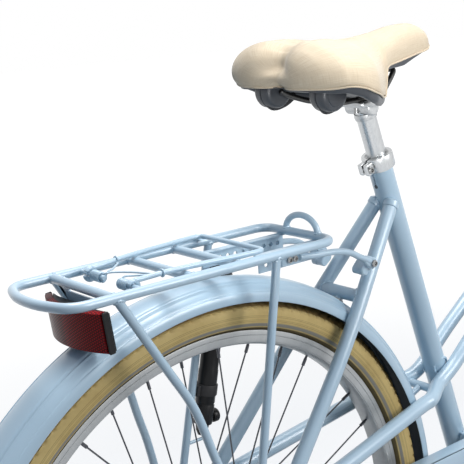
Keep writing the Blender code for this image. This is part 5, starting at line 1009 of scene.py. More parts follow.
for side, word in SIDES:
    line = on_side(bent((STAY_FOOT, STAY_BEND, STAY_TOP), 0.07, 14), side)
    weld = [(-0.009, STAY_R), (-0.0086, STAY_R + 0.001), (-0.007, STAY_R + 0.0014)]
    weld += [(-0.001, STAY_R + 0.0012), (0.002, STAY_R * 0.8), (0.003, 0.0)]
    weld = lathe(weld, line[-1], line[-1] - line[-2], 40)
    lug = hull(LUG_AT, 0.0078, (LUG_AT[0] - 0.0085, LUG_AT[1] - 0.0085), 0.0066)
    middle = side * (ARM_INNER_Y - 0.0003 - 0.00525)
    foot = lathe([(-0.004, 0.0), (-0.004, 0.0075), (0.0, 0.009), (0.004, 0.0075), (0.004, 0.0)],
                 line[0], line[1] - line[0], 32)
    near, far = (LUG_AT[0] - 0.002, LUG_AT[1] - 0.004), (LUG_AT[0] - 0.008, LUG_AT[1] - 0.009)
    web = hull(near, 0.0066, far, 0.006)
    piece(
        f"seat_stay_enamelled_{word}", "frame",
        [
            (tube(line, STAY_R, 40, edge=0.004), enamel), (weld, enamel),
            (plate(lug, 0.0105, middle, 0.0016), enamel), (foot, enamel),
            (plate(web, 0.015, side * 0.034, 0.001), enamel),
        ],
        f"seat_stay_{word}",
    )

# %% Bridges
stay_line = bent((STAY_FOOT, STAY_BEND, STAY_TOP), 0.07, 40)
bridge = reach_at(stay_line, 0.3899)
ends = [on_side(bridge, side) for side in (-1, 1)]
bridge_joins = [
    bead(meeting_line(bridge * (1, 0, 1), on_side((0, 1, 0), side), 0.0085, on_side(STAY_BEND, side),
                      on_side(STAY_TOP, side) - on_side(STAY_BEND, side), STAY_R))
    for side, _ in SIDES
]
piece(
    "seat_stay_bridge_enamelled", "frame",
    [(tube(np.linspace(*ends, 6), 0.0085, 36), enamel), *((join, enamel) for join in bridge_joins),
     *spacer(bridge, 0.005)],
    "seat_stay_bridge",
)
left_lateral = lateral_line(1, 16)
behind = left_lateral[left_lateral[:, 0] > 0.36]
low_bridge = np.array([np.interp(0.381, behind[:, 0], behind[:, k]) for k in range(3)]) - (0, 0, 0.004)
ends = [on_side(low_bridge, side) for side in (-1, 1)]
piece(
    "lateral_bridge_enamelled", "frame",
    [(tube(np.linspace(*ends, 6), 0.006, 32), enamel), *spacer(low_bridge, 0.0045)],
    "lateral_bridge",
)

# %% Lateral tubes
for side, word in SIDES:
    line = lateral_line(side, 10)
    run = line[-1] - line[-2]
    head_join = meeting_line(line[-2], run, LATERAL_R, steer_point(0.5), STEER_UP, 0.018)
    stay_run = on_side(STAY_BEND, side) - on_side(STAY_FOOT, side)
    stay_join = meeting_line(line[12], line[0] - line[12], LATERAL_R, line[0], stay_run, STAY_R)
    parts = [(tube(line, LATERAL_R, 40), enamel), (bead(head_join), enamel), (bead(stay_join), enamel)]
    beside = line[np.abs(line[:, 0] - 0.4225).argmin()]
    lean = np.linspace(0, 2 * np.pi, 60, endpoint=False)
    out = TUBE_R - 0.0016 - 0.0045 * np.cos(lean) ** 2
    oval_x, oval_h = seat_point(beside[2])[0] + 0.013 * np.cos(lean), beside[2] + 0.0128 * np.sin(lean)
    oval = np.column_stack((oval_x, side * out, oval_h))
    parts.append((bead(oval, 0.002), enamel))
    piece(f"lateral_tube_enamelled_{word}", "frame", parts, f"lateral_tube_{word}")

# %% Chain stays and dropouts
DROPOUT_WALL, REAR_HALF_SPACING = 0.0045, 0.0675
RACK_EYE, GUARD_EYE = (-0.0036, 0.0239), (-0.014, 0.0085)


def eye_plate(outline, centre, radius, wall, y, edge=0.0008):
    """Plate with a round hole: each point of the hole lies in its outline point's direction."""
    outline = np.asarray(outline, float)
    way = outline - centre
    hole = centre + radius * way / np.linalg.norm(way, axis=1, keepdims=True)
    return plate(outline, wall, y, edge, hole)


for side, word in SIDES:
    middle = side * (REAR_HALF_SPACING + DROPOUT_WALL / 2)
    line = bent((CHAIN_STAY_END, (0.33, 0.0385, -0.0336), (BRACKET_X, 0.027, -0.05)), 0.06, 10)
    line = on_side(line, side)
    corners = [(0.0075, 0.0465), (0.022, 0.027), (0.036, 0.012), (0.04, -0.006), (0.016, -0.018),
               (0.004, -0.02), (-0.005, -0.02), (-0.016, -0.016), (-0.021, 0.0), (-0.015, 0.02),
               (-0.0095, 0.0315), (0.0035, 0.052)]
    outline = rounded(corners, 2, closed=True)
    parts = [
        (tube(line, STAY_R, 40, edge=0.004), enamel),
        (eye_plate(outline, np.zeros(2), 0.0053, DROPOUT_WALL, middle), enamel),
        (bead(meeting_line(line[-2], line[-1] - line[-2], STAY_R, BRACKET, (0, 1, 0), 0.02)), enamel),
    ]
    for x, h in (RACK_EYE, GUARD_EYE):
        boss = lathe([(0.0, 0.0), (0.0, 0.0056), (0.0032, 0.0056), (0.0038, 0.005), (0.0038, 0.0)],
                     (x, middle, h), (0, side, 0), 28)
        parts.append((boss, enamel))
    piece(f"chain_stay_enamelled_{word}", "frame", parts, f"chain_stay_{word}")

# %% Bottom bracket, down tube and head tube
half = [(-0.0365, 0.0087), (-0.0365, 0.0192), (-0.0357, 0.02)]
shell = lathe(half + mirrored(half), BRACKET, steps=64, closed=True)
cup = [(0.0, 0.0088), (0.0, 0.0165), (0.0015, 0.0172), (0.0015, 0.0088)]
cups = [
    lathe(cup, (BRACKET_X, side * 0.0362, -BRACKET_DROP), (0, side, 0), 48, True) for side, _ in SIDES
]
piece(
    "bottom_bracket_enamelled", "frame",
    [(shell, enamel), (cups[0], zinc_steel), (cups[1], zinc_steel)],
    "bottom_bracket",
)
down_end = np.array(steer_point(0.447))
down = np.linspace(BRACKET, down_end, 10)
run = down[-1] - down[0]
piece(
    "down_tube_enamelled", "frame",
    [
        (tube(down, TUBE_R, 56), enamel),
        (bead(meeting_line(down[0], run, TUBE_R, steer_point(0.5), STEER_UP, 0.018), 0.0019), enamel),
        (bead(meeting_line(down[-1], -run, TUBE_R, BRACKET, (0, 1, 0), 0.02), 0.0019), enamel),
    ],
    "down_tube",
)
HEAD_FOOT, HEAD_TOP = 0.4138, 0.585
length = HEAD_TOP - HEAD_FOOT
head = lathe(
    [(0.0004, 0.013), (0.0004, 0.02), (0.004, 0.0207), (0.0105, 0.0192), (0.016, 0.018),
     (length - 0.016, 0.018), (length - 0.0105, 0.0192), (length - 0.004, 0.0207),
     (length - 0.0004, 0.02), (length - 0.0004, 0.013)],
    steer_point(HEAD_FOOT), STEER_UP, 64, True,
)
races = [
    lathe([(0.0, 0.013), (0.0, 0.0208), (0.0012, 0.0215),
           (0.0052, 0.0215), (0.006, 0.0208), (0.006, 0.013)],
          steer_point(at), STEER_UP, 64, True)
    for at in (HEAD_FOOT, HEAD_TOP - 0.006)
]
piece(
    "head_tube_enamelled", "frame",
    [(head, enamel), (races[0], bright_alloy), (races[1], bright_alloy)],
    "head_tube",
)
print("frame:", made_faces, "faces")

# %% [markdown]
# ## Seat collar and post
# A collar of cast aluminium clamps the slotted tube; its ears stand apart behind the tube and
# one screw draws them together. The post is drawn aluminium with shallow flutes along it.

# %% Seat collar
COLLAR_R, COLLAR_HEIGHT = 0.0208, 0.0185
collar_top = SEAT_TUBE_TOP + 0.002
collar_foot = collar_top - COLLAR_HEIGHT * math.sin(SEAT_ANGLE)
middle = (collar_top + collar_foot) / 2
gap_turn = math.degrees(math.asin(0.0015 / COLLAR_R))
c_shape = np.vstack((
    arc((0, 0), COLLAR_R, gap_turn, 360 - gap_turn, 64),
    arc((0, 0), 0.0163, 360 - gap_turn, gap_turn, 64)
))
rows = [collar_foot, collar_foot + 0.0012, collar_top - 0.0012, collar_top]
collar_path = np.array([seat_point(h) for h in rows])
LEAN = math.pi / 2 - SEAT_ANGLE
ear_back = COLLAR_R + 0.0035
parts = [(sweep(collar_path, c_shape, (0.975, 1, 1, 0.975), flat=flat), post_alloy)]
for side, _ in SIDES:
    ear = block(seat_point(middle, ear_back, side * 0.005), (0.014, 0.007, 0.015), 0.002, LEAN)
    parts.append((ear, post_alloy))
piece("seat_collar_cast", "frame", parts, "seat_collar")
bolt_back = COLLAR_R + 0.0055
pin = np.array([seat_point(middle, bolt_back, y) for y in (-0.0088, -0.004, 0.0085)])
head = screw_head(pin[0], (0, -1, 0), 0.0045, 0.004)
parts = [(tube(pin, 0.0025, 16), zinc_steel), (head, zinc_steel)]
piece("seat_collar_screw", "frame", parts, "seat_collar_bolt")

# %% Seat post
POST_R, POST_TOP = 0.0127, 0.553
turn = np.arange(120) * 2 * np.pi / 120
flutes = sum(np.exp(-((np.angle(np.exp(1j * (turn - at))) / 0.15) ** 4))
             for at in (0.9, 2.2, -0.9, -2.2))
post_profile = ring(1.0, 120) * (POST_R - 0.0005 * flutes)[:, None]
round_profile = ring(POST_R, 120)
post_path = np.array([seat_point(h) for h in (0.3, 0.302, 0.4, 0.53)])
neck_path = np.array([seat_point(h) for h in (0.53, 0.531, 0.545, POST_TOP - 0.004)])
piece(
    "seat_post_fluted", "seat",
    [(sweep(post_path, post_profile, (0.95, 1, 1, 1), flat=flat), post_alloy),
     (sweep(neck_path, round_profile, flat=flat), post_alloy)],
    "seat_post", sharp=55,
)
print("collar and post:", made_faces, "faces")

# %% [markdown]
# ## Carrier
# The carrier is bent from steel tube and wire, welded and enamelled with the frame: a closed
# rail loop, three cross bars, a hoop for a strap, perforated angles for the arms to the seat
# stays, two legs a side, and a wire flap that coil springs press down. Tubes are swept along
# their lines; the perforated web is built cell by cell round its holes.

# %% Rail loop, bars and hoop
RACK_H, RACK_R, RACK_HALF, RACK_REAR, RACK_FRONT = 0.4053, 0.0055, 0.0622, -0.216, 0.1613
RACK_BARS, LEG_R, HINGE_X = (-0.1507, -0.0494, 0.0145), 0.005, -0.1135


def at_height(flat_points, h):
    """Points of x and y at one height."""
    flat_points = np.asarray(flat_points, float)
    return np.column_stack((flat_points, np.full(len(flat_points), h)))


front_r = 0.019
tail = smooth([(-0.15, RACK_HALF), (-0.172, RACK_HALF), (-0.19, 0.0607), (-0.2022, 0.0525),
               (-0.2095, 0.037), (-0.2145, 0.019), (RACK_REAR, 0.0)], 5)
near_side = np.vstack((
    arc((RACK_FRONT - front_r, RACK_HALF - front_r), front_r, 90, 0, 10),
    arc((RACK_FRONT - front_r, front_r - RACK_HALF), front_r, 0, -90, 10),
    (tail * (1, -1))[:-1], tail[::-1],
))
loop = at_height(near_side, RACK_H)
parts = [(tube(loop, RACK_R, 28, closed=True, flat=(0, 0, 1)), enamel)]
for x in RACK_BARS:
    bar = np.array([(x, y, RACK_H) for y in np.linspace(-RACK_HALF, RACK_HALF, 6)])
    parts.append((tube(bar, 0.0052, 24), enamel))
    for side, _ in SIDES:
        meet = meeting_line((x, 0, RACK_H), (0, side, 0), 0.0052, (0, side * RACK_HALF, RACK_H),
                            (1, 0, 0), RACK_R, 48)
        parts.append((bead(meet, 0.0011), enamel))

# %% Perforated angles
PLATE_Y, PLATE_WALL, PLATE_FOOT, PLATE_TOP = 0.035, 0.002, 0.3805, 0.401
HOLE_STEP, HOLE_R, PLATE_REAR = 0.0115, 0.003, {1: 0.036, -1: 0.064}


def perforated(start, end, y):
    """Web of equal cells: each cell's outline runs to a hole with as many points, through the
    hole and back to the outline on the other face. One strip makes the outer edge."""
    parts, upper, lower = [], [], []
    centres = np.arange(end - 0.009, start + 0.006, -HOLE_STEP)
    hole_h = PLATE_FOOT + 0.0085
    for x in centres:
        right = end if x == centres[0] else x + HOLE_STEP / 2
        left = start if x == centres[-1] else x - HOLE_STEP / 2
        top = [(v, PLATE_TOP) for v in np.linspace(right, left, 13)]
        rear = [(left, h) for h in np.linspace(PLATE_TOP, PLATE_FOOT, 9)][1:-1]
        foot = [(v, PLATE_FOOT) for v in np.linspace(left, right, 13)]
        front = [(right, h) for h in np.linspace(PLATE_FOOT, PLATE_TOP, 9)][1:-1]
        outline = np.array(top + rear + foot + front)
        way = outline - (x, hole_h)
        hole = (x, hole_h) + HOLE_R * way / np.linalg.norm(way, axis=1, keepdims=True)
        half = PLATE_WALL / 2
        rows = [(-half, outline), (-half, hole), (half, hole), (half, outline)]
        grid = np.array([np.column_stack((o[:, 0], np.full(len(o), y + d), o[:, 1])) for d, o in rows])
        parts.append((patch(world(grid)), enamel))
        upper, lower = upper + top[:-1], lower + foot[::-1][:-1]
    edge = np.array([*upper, *[(start, h) for h in np.linspace(PLATE_TOP, PLATE_FOOT, 9)][:-1]])
    back = np.array([*lower, (start, PLATE_FOOT)])[::-1]
    front = np.array([(end, h) for h in np.linspace(PLATE_FOOT, PLATE_TOP, 9)][1:-1])
    rim = np.vstack((edge, back, front))
    grid = np.array([np.column_stack((rim[:, 0], np.full(len(rim), y + d), rim[:, 1]))
                     for d in (-half, half)])
    parts.append((patch(world(grid)), enamel))
    return parts


for side, _ in SIDES:
    start, end = PLATE_REAR[side], RACK_FRONT + 0.0033
    parts += perforated(start, end, side * PLATE_Y)
    flange = block(
        ((start + end) / 2, side * (PLATE_Y - 0.0045), PLATE_TOP - 0.0008),
        (end - start, 0.009, PLATE_WALL), 0.0006
    )
    parts.append((flange, enamel))
    pin = np.array([(HINGE_X, side * y, RACK_H) for y in (RACK_HALF, 0.04, 0.0135)])
    parts.append((tube(pin, 0.0032, 24, edge=0.002), enamel))
    rail_at = (0, side * RACK_HALF, RACK_H)
    meet = meeting_line(pin[2], (0, side, 0), 0.0032, rail_at, (1, 0, 0), RACK_R, 40)
    parts.append((bead(meet, 0.0011), enamel))

# %% Hanger of the reflector
flare = arc((0.05, 0.379), 0.0225, 90, 172, 12)
sheet = np.vstack((
    [(0.05, 0.404), (0.05, 0.4015)], flare[1:], [(0.0272, 0.3645), (-0.02, 0.3645)],
    [(-0.0215, 0.366), (-0.0215, 0.3955), (-0.02, 0.397), (0.025, 0.397)],
    arc((0.04, 0.399), 0.013, 170, 110, 5), [(0.043, 0.404)],
))
wall = 0.0011
centre = np.array((0.0272, 0.385))
grid = np.array([
    np.column_stack((np.full(len(o), -0.1502 + d), o))
    for d, o in ((-wall, sheet * 0 + centre), (-wall, sheet), (wall, sheet), (wall, sheet * 0 + centre))
])
parts.append((patch(world(grid)), enamel))
piece("rack_deck_tubes", "frame", parts, "rack_deck")

# %% Hoop
HOOP_Y, HOOP_HALF, HOOP_RISE, HOOP_R = -0.005, 0.028, 0.0238, 0.004
lean = np.linspace(0.0, np.pi, 25)
standing = np.column_stack((
    np.full(25, RACK_FRONT), HOOP_Y + HOOP_HALF * np.cos(lean),
    RACK_H + 0.003 + (HOOP_RISE - 0.0035) * np.sin(lean)
))
rail_at = (RACK_FRONT, 0, RACK_H)
feet = [
    bead(meeting_line(standing[k], (0, 0, -1), 0.004, rail_at, (0, 1, 0), RACK_R, 40), 0.0013)
    for k in (1, -2)
]
piece(
    "rack_hoop_wire", "frame",
    [(tube(standing, HOOP_R, 24, flat=(1, 0, 0)), enamel), *((foot, enamel) for foot in feet)],
    "rack_hoop",
)

# %% Legs
LEG_EYE_Y = (0.074, 0.079)


def leg_at(h, ahead=0.0):
    """Point of the left front leg's line at height h, moved forward."""
    t = (h - RACK_EYE[1]) / (RACK_H - RACK_EYE[1])
    return (RACK_EYE[0] + (0.0688 - RACK_EYE[0]) * t + ahead, 0.0765 + (RACK_HALF - 0.0765) * t, h)


for side, word in SIDES:
    leg_foot = (RACK_EYE[0], 0.0765, RACK_EYE[1])
    front = on_side(np.linspace((0.0688, RACK_HALF, RACK_H), leg_foot, 8), side)
    rear = smooth([(-0.149, RACK_HALF, RACK_H), (-0.0961, 0.0645, 0.3175), (-0.0655, 0.0675, 0.264),
                   (-0.047, 0.0715, 0.208), (-0.031, 0.0745, 0.155), leg_foot], 10)
    rear = on_side(rear, side)
    inner, outer = LEG_EYE_Y
    x, h = RACK_EYE
    eye = lathe([(0, 0.0028), (0, 0.0078), (0.0007, 0.0085),
                 (0.0043, 0.0085), (0.005, 0.0078), (0.005, 0.0028)],
                (x, side * inner, h), (0, side, 0), 32, True)
    parts = [(tube(front, LEG_R, 28), enamel), (tube(rear, LEG_R, 28), enamel), (eye, enamel),
             (screw_head((x, side * outer, h), (0, side, 0), 0.0046, 0.0038), zinc_steel)]
    for line in (front, rear):
        meet = meeting_line(line[1], line[0] - line[1], LEG_R, (0, side * RACK_HALF, RACK_H),
                            (1, 0, 0), RACK_R, 48)
        parts.append((bead(meet, 0.0014), enamel))
    if side > 0:
        pin = np.array([leg_at(0.15, ahead) for ahead in (0.0, 0.015, 0.03)])
        parts.append((tube(pin, 0.0022, 16, edge=0.001), enamel))
    piece(f"rack_leg_tubes_{word}", "frame", parts, f"rack_leg_{word}")

# %% Arms to the seat stays
for side, word in SIDES:
    y = PLATE_Y + PLATE_WALL / 2 + GAP + 0.0015
    blade_h = PLATE_FOOT + 0.008
    rod = smooth([(0.124, y + 0.002, blade_h), (0.15, 0.0425, 0.3868), (0.178, 0.0445, 0.385),
                  (0.2, 0.0465, 0.38), (0.216, 0.048, 0.3715),
                  (LUG_AT[0] - 0.004, ARM_INNER_Y + 0.0025, LUG_AT[1] + 0.003)], 8)
    tab = hull(LUG_AT, 0.0072, (LUG_AT[0] - 0.01, LUG_AT[1] + 0.006), 0.0052)
    bolt_y = ARM_INNER_Y + 0.005
    parts = [
        (block((0.112, side * y, blade_h), (0.032, 0.003, 0.0125), 0.0012), enamel),
        (tube(on_side(rod, side), 0.004, 28), enamel),
        (plate(tab, 0.005, side * (ARM_INNER_Y + 0.0025), 0.0012), enamel),
        (screw_head((LUG_AT[0], side * bolt_y, LUG_AT[1]), (0, side, 0), 0.0044, 0.0035), zinc_steel),
    ]
    for x in (0.1075, 0.116):
        start = (x, side * (y + 0.0015), blade_h)
        parts.append((screw_head(start, (0, side, 0), 0.0038, 0.0036), zinc_steel))
    piece(f"rack_arm_rod_{word}", "frame", parts, f"rack_arm_{word}")
print("carrier:", made_faces, "faces")

# %% [markdown]
# ## Spring flap
# The flap is one bent wire. Its two ends wrap round the hinge pins, and a torsion spring on
# each pin presses it onto the cross bars through a thin leg hooked to the rod.

# %% Flap
FLAP_R, FLAP_Y, SPRING_WIRE, HOOK_X = 0.003, 0.041, 0.0011, -0.079
rest = RACK_H + RACK_R + FLAP_R + GAP
eye_h = RACK_H + 0.0032 + GAP + FLAP_R
half = [(-0.1125, 0.041, eye_h), (-0.0985, 0.0412, eye_h + 0.0001), (-0.0694, 0.045, rest),
        (0.02, 0.056, rest)]
half += [(0.044, 0.0585, rest), (0.0515, 0.057, rest), (0.0545, 0.05, rest)]
half = np.array(half)
outline = np.vstack((half, (half * MIRROR)[::-1]))
flap_line = rounded(outline, 3)
parts = [(tube(flap_line, FLAP_R, 24, flat=(0, 0, 1), edge=0.002), enamel)]
for side, _ in SIDES:
    wound = np.linspace(-0.35, 1.5, 30) * np.pi
    around = np.column_stack((
        HINGE_X + 0.0064 * np.sin(wound), side * (FLAP_Y + 0.0005 * wound / np.pi),
        RACK_H + 0.0064 * np.cos(wound)
    ))
    parts.append((tube(around, 0.0028, 20, edge=0.0018), enamel))
    near = on_side(flap_line[np.abs(flap_line[: len(flap_line) // 2, 0] - HOOK_X).argmin()], side)
    wound = np.linspace(-0.55, 1.15, 20) * np.pi
    clip_r = FLAP_R + SPRING_WIRE * 0.8
    hook = np.column_stack((np.full(20, near[0]), near[1] + side * clip_r * np.sin(wound),
                            near[2] + clip_r * np.cos(wound)))
    parts.append((tube(hook, SPRING_WIRE, 12, edge=0.0008), enamel))
piece("rack_flap_wire", "flap", parts, "rack_flap")

# %% Springs
for side, word in SIDES:
    turns, coil_r = 6, 0.0051
    t = np.linspace(0, 1, turns * 24 + 1)
    lean = np.pi / 2 + 2 * np.pi * turns * t
    coil = np.column_stack((HINGE_X + coil_r * np.cos(lean), 0.035 - 0.018 * t,
                            RACK_H - coil_r * np.sin(lean)))
    last = coil[-1]
    if side > 0:
        leg = [last, (last[0] + 0.006, 0.015, 0.4108), (-0.099, 0.019, 0.4112), (-0.088, 0.029, 0.4112)]
    else:
        leg = [last, (-0.1105, 0.019, 0.4112), (-0.099, 0.025, 0.4118), (-0.088, 0.033, 0.4116)]
    wire = on_side(np.vstack((coil, smooth([*leg, (HOOK_X, 0.0372, 0.4114)], 8)[1:])), side)
    parts = [(tube(wire, SPRING_WIRE, 12, flat=(0, 1, 0.2), edge=0.0006), enamel)]
    if side > 0:
        stray = smooth([(-0.115, 0.013, 0.4108), (-0.105, 0.006, 0.4114), (-0.0915, -0.0088, 0.411),
                        (-0.082, -0.027, 0.4106), (HOOK_X, -0.038, 0.4108)], 8)
        parts.append((tube(stray, SPRING_WIRE, 12, flat=(0, 0, 1), edge=0.0006), enamel))
    piece(f"flap_spring_wire_{word}", "frame", parts, f"flap_spring_{word}", sharp=60)
print("flap:", made_faces, "faces")

# %% [markdown]
# ## Rear reflector
# A curved red lens stands in a black housing with a thin rim. Lens and housing are level
# plates: an outline seen from above, raised straight up, with rounded edges. The lens's map
# runs in metres from its left end, so that the prism panels lie where they should.

# %% Reflector
LENS_HALF, LENS_SAG, LENS_APEX, LENS_TILT = 0.056, 0.016, -0.1745, 0.12
LENS_FOOT, LENS_HEIGHT, LENS_WALL = 0.3462, 0.0455, 0.008


def lens_arc(inset, half, count=48):
    """Arc of the lens's face seen from above, moved inward."""
    radius = (LENS_SAG**2 + LENS_HALF**2) / (2 * LENS_SAG)
    reach = math.degrees(math.asin(half / (radius - inset)))
    return arc((LENS_APEX + radius, 0.0), radius - inset, 180 - reach, 180 + reach, count)


def level_grid(front, back, foot, top, edge):
    """Round the section of a curved slab: front face, top, back face and underside, with the
    four corners cut by the edge; a row for each place along the arc, poles at both ends."""
    share = edge / 0.004
    profile = [
        (0.0, foot + edge), (0.0, top - edge), (share, top), (1.0, top), (1.0, foot), (share, foot)
    ]
    rows = []
    for a, b in zip(front, back):
        rows.append([(*(a + (b - a) * s), h) for s, h in profile])
    return capped(rows)


top = LENS_FOOT + LENS_HEIGHT
face, rear_face = lens_arc(0, LENS_HALF - 0.0012), lens_arc(LENS_WALL, LENS_HALF - 0.003)
lens = level_grid(face, rear_face, LENS_FOOT, top, 0.0014)
back_line = lens_arc(LENS_WALL + GAP, LENS_HALF, 48)
flat_back = np.column_stack((np.full(48, -0.1518),
                             np.linspace(LENS_HALF - 0.016, 0.016 - LENS_HALF, 48)))
housing = level_grid(back_line, flat_back, LENS_FOOT + 0.0012, top - 0.0012, 0.001)
for slab in (lens, housing):
    slab[..., 0] -= (slab[..., 2] - LENS_FOOT) * LENS_TILT
lips = []
for side, _ in SIDES:
    x, y = lens_arc(0, LENS_HALF)[0 if side > 0 else -1]
    edge_at = (x + 0.0046 - LENS_TILT * LENS_HEIGHT / 2, side * (abs(y) + 0.0002),
               LENS_FOOT + LENS_HEIGHT / 2)
    lips.append(block(edge_at, (0.008, 0.0026, LENS_HEIGHT + 0.0004), 0.001, LENS_TILT))
piece("reflector_lens_prisms", "frame", [(patch(world(lens)), reflex_red)], "reflector_lens")
nut_at = (-0.149, 0.0, 0.379)
piece(
    "reflector_housing_shell", "frame",
    [(patch(world(housing)), black_abs), *((lip, black_abs) for lip in lips),
     (nut(nut_at, (1, 0, 0), 0.0075, 0.0035), zinc_steel)],
    "reflector_housing",
)

# %% [markdown]
# ## Hand pump
# The pump is a straight barrel of black plastic with a wider ribbed handle above, a turned
# collar, a head with a lever knob at its foot, and two straps that clip it to the leg.

# %% Pump
PUMP_R, PUMP_HEAD_R, PUMP_OFFSET = 0.0125, 0.0165, 0.0235
foot, top = np.array(leg_at(0.156, PUMP_OFFSET)), np.array(leg_at(0.38, PUMP_OFFSET))
run = top - foot
length = float(np.linalg.norm(run))
ribs = [(length - 0.036 + k * 0.002, PUMP_HEAD_R - (0.001 if k % 2 else 0.0)) for k in range(13)]
barrel = [
    (0.0, 0.0), (0.0, 0.0045), (0.006, 0.0075), (0.014, 0.0088), (0.0155, 0.0118), (0.018, PUMP_R),
    (0.04, PUMP_R), (0.041, 0.0118), (0.0425, 0.0118), (0.0435, PUMP_R), (0.085, PUMP_R),
    (0.086, 0.012), (0.16, 0.012), (0.161, PUMP_R),
    (length - 0.042, PUMP_R), (length - 0.038, PUMP_HEAD_R - 0.001), *ribs,
    (length - 0.01, PUMP_HEAD_R), (length - 0.004, 0.013), (length - 0.001, 0.0085), (length, 0.0),
]
parts = [(lathe(barrel, foot, run, 56), black_abs)]
knob = np.array(leg_at(0.176, PUMP_OFFSET))
stem = [(0.0, 0.0), (0.0, 0.0045), (0.012, 0.0045), (0.013, 0.008), (0.0145, 0.0088),
        (0.0205, 0.0088), (0.0218, 0.0078), (0.0222, 0.0)]
parts.append((lathe(stem, knob, (1, 0, 0), 32), black_abs))
parts.append((block(knob + (0.003, 0, 0.012), (0.011, 0.012, 0.034), 0.003), black_abs))
lean = math.atan2(run[0], run[2])
for h in (0.215, 0.322):
    ring_at = np.array(leg_at(h, PUMP_OFFSET))
    half = [(-0.007, 0.0122), (-0.007, 0.0136), (-0.006, 0.014)]
    parts.append((lathe(half + mirrored(half), ring_at, run, 56, True), black_rubber))
    near = np.array(leg_at(h))
    reach = PUMP_OFFSET * math.cos(lean) - 0.0056
    middle = near + np.array((0.0056 + reach / 2, 0, 0)) / math.cos(lean)
    parts.append((block(middle, (reach, 0.01, 0.014), 0.001, -lean), black_rubber))
piece("air_pump_barrel", "frame", parts, "air_pump")
print("reflector and pump:", made_faces, "faces")

# %% [markdown]
# ## Saddle
# A wide comfort saddle: foam under a woven cover, stretched over a moulded base whose lip shows
# under the hem. Two steel rails run under it, held by the post's clamp, and two rubber
# cushions carry the tail. The cover starts from rings along its length and is then blown up a
# little by the cloth solver, which gives the foam's soft fullness.

# %% Saddle tables
RAIL_H = 0.56
SADDLE_TAIL, SADDLE_LENGTH, CLAMP_X = 0.1215, 0.2745, 0.268
WIDTH_TABLE = (
    (0.1215, 0.126, 0.136, 0.153, 0.175, 0.2, 0.225, 0.25, 0.275, 0.3, 0.33, 0.355, 0.378, 0.39, 0.396),
    (0.03, 0.062, 0.085, 0.102, 0.107, 0.102, 0.085, 0.064, 0.046, 0.036, 0.03, 0.0265, 0.0235, 0.016, 0.006),
)
CROWN_TABLE = (
    (0.1215, 0.126, 0.136, 0.155, 0.18, 0.22, 0.26, 0.3, 0.335, 0.36, 0.378, 0.39, 0.396),
    (0.046, 0.062, 0.074, 0.0805, 0.0805, 0.076, 0.0745, 0.078, 0.0845, 0.086, 0.081, 0.072, 0.065),
)
HEM_TABLE = (
    (0.1215, 0.138, 0.155, 0.175, 0.19, 0.21, 0.235, 0.26, 0.27,
     0.2755, 0.28, 0.286, 0.316, 0.346, 0.38, 0.39, 0.396),
    (0.0245, 0.025, 0.027, 0.024, 0.019, 0.013, 0.007, 0.003, 0.0025,
     0.013, 0.035, 0.038, 0.0414, 0.046, 0.0515, 0.0555, 0.061),
)


def curve(x, table):
    """Smooth value of a table at x: a cubic on each span. The slope at a point is the harmonic
    mean of its neighbours' slopes, or nothing at a peak, so the curve never overshoots."""
    xs, ys = (np.array(row) for row in table)
    rise = np.diff(ys) / np.diff(xs)
    both = rise[1:] * rise[:-1]
    inner = np.where(both > 0, 2 * both / np.where(both > 0, rise[1:] + rise[:-1], 1), 0)
    slope = np.concatenate((rise[:1], inner, rise[-1:]))
    k = np.clip(np.searchsorted(xs, x) - 1, 0, len(xs) - 2)
    run = xs[k + 1] - xs[k]
    t = np.clip((x - xs[k]) / run, 0, 1)
    a, b = ys[k], ys[k + 1]
    return (
        a * (2 * t**3 - 3 * t**2 + 1) + b * (3 * t**2 - 2 * t**3)
        + run * (slope[k] * (t**3 - 2 * t**2 + t) + slope[k + 1] * (t**3 - t**2))
    )


def notch(x, y):
    """How far the tail's middle is drawn forward: a bell across, fading along the saddle."""
    return 0.03 * np.exp(-((y / 0.022) ** 2)) * np.clip((0.205 - x) / 0.083, 0, 1)


def tucked(rows, hem):
    """The lowest part of the tail is drawn in: forward and towards the middle by an
    exponential of the height above the hem, fading along the saddle."""
    x, y, h = rows[..., 0], rows[..., 1], rows[..., 2]
    low = np.exp(-np.clip(h - hem, 0, 1) / 0.008) * np.clip((0.185 - x) / 0.05, 0, 1)
    away = 1 - np.exp(-((y / 0.03) ** 2))
    return np.stack((x + 0.007 * low * away + 0.75 * notch(x, y), y * (1 - 0.075 * low), h), -1)


def saddle_at(x):
    """Half width, height of the crown and height of the hem at x."""
    return curve(x, WIDTH_TABLE), RAIL_H + curve(x, CROWN_TABLE), RAIL_H + curve(x, HEM_TABLE)


def saddle_stations(start, end, count):
    """Places along the saddle, by shares of its length that lie closer at its ends."""
    t = np.linspace(start, end, count)
    return SADDLE_TAIL + SADDLE_LENGTH * (0.35 * t + 0.65 * (0.5 - 0.5 * np.cos(np.pi * t)))


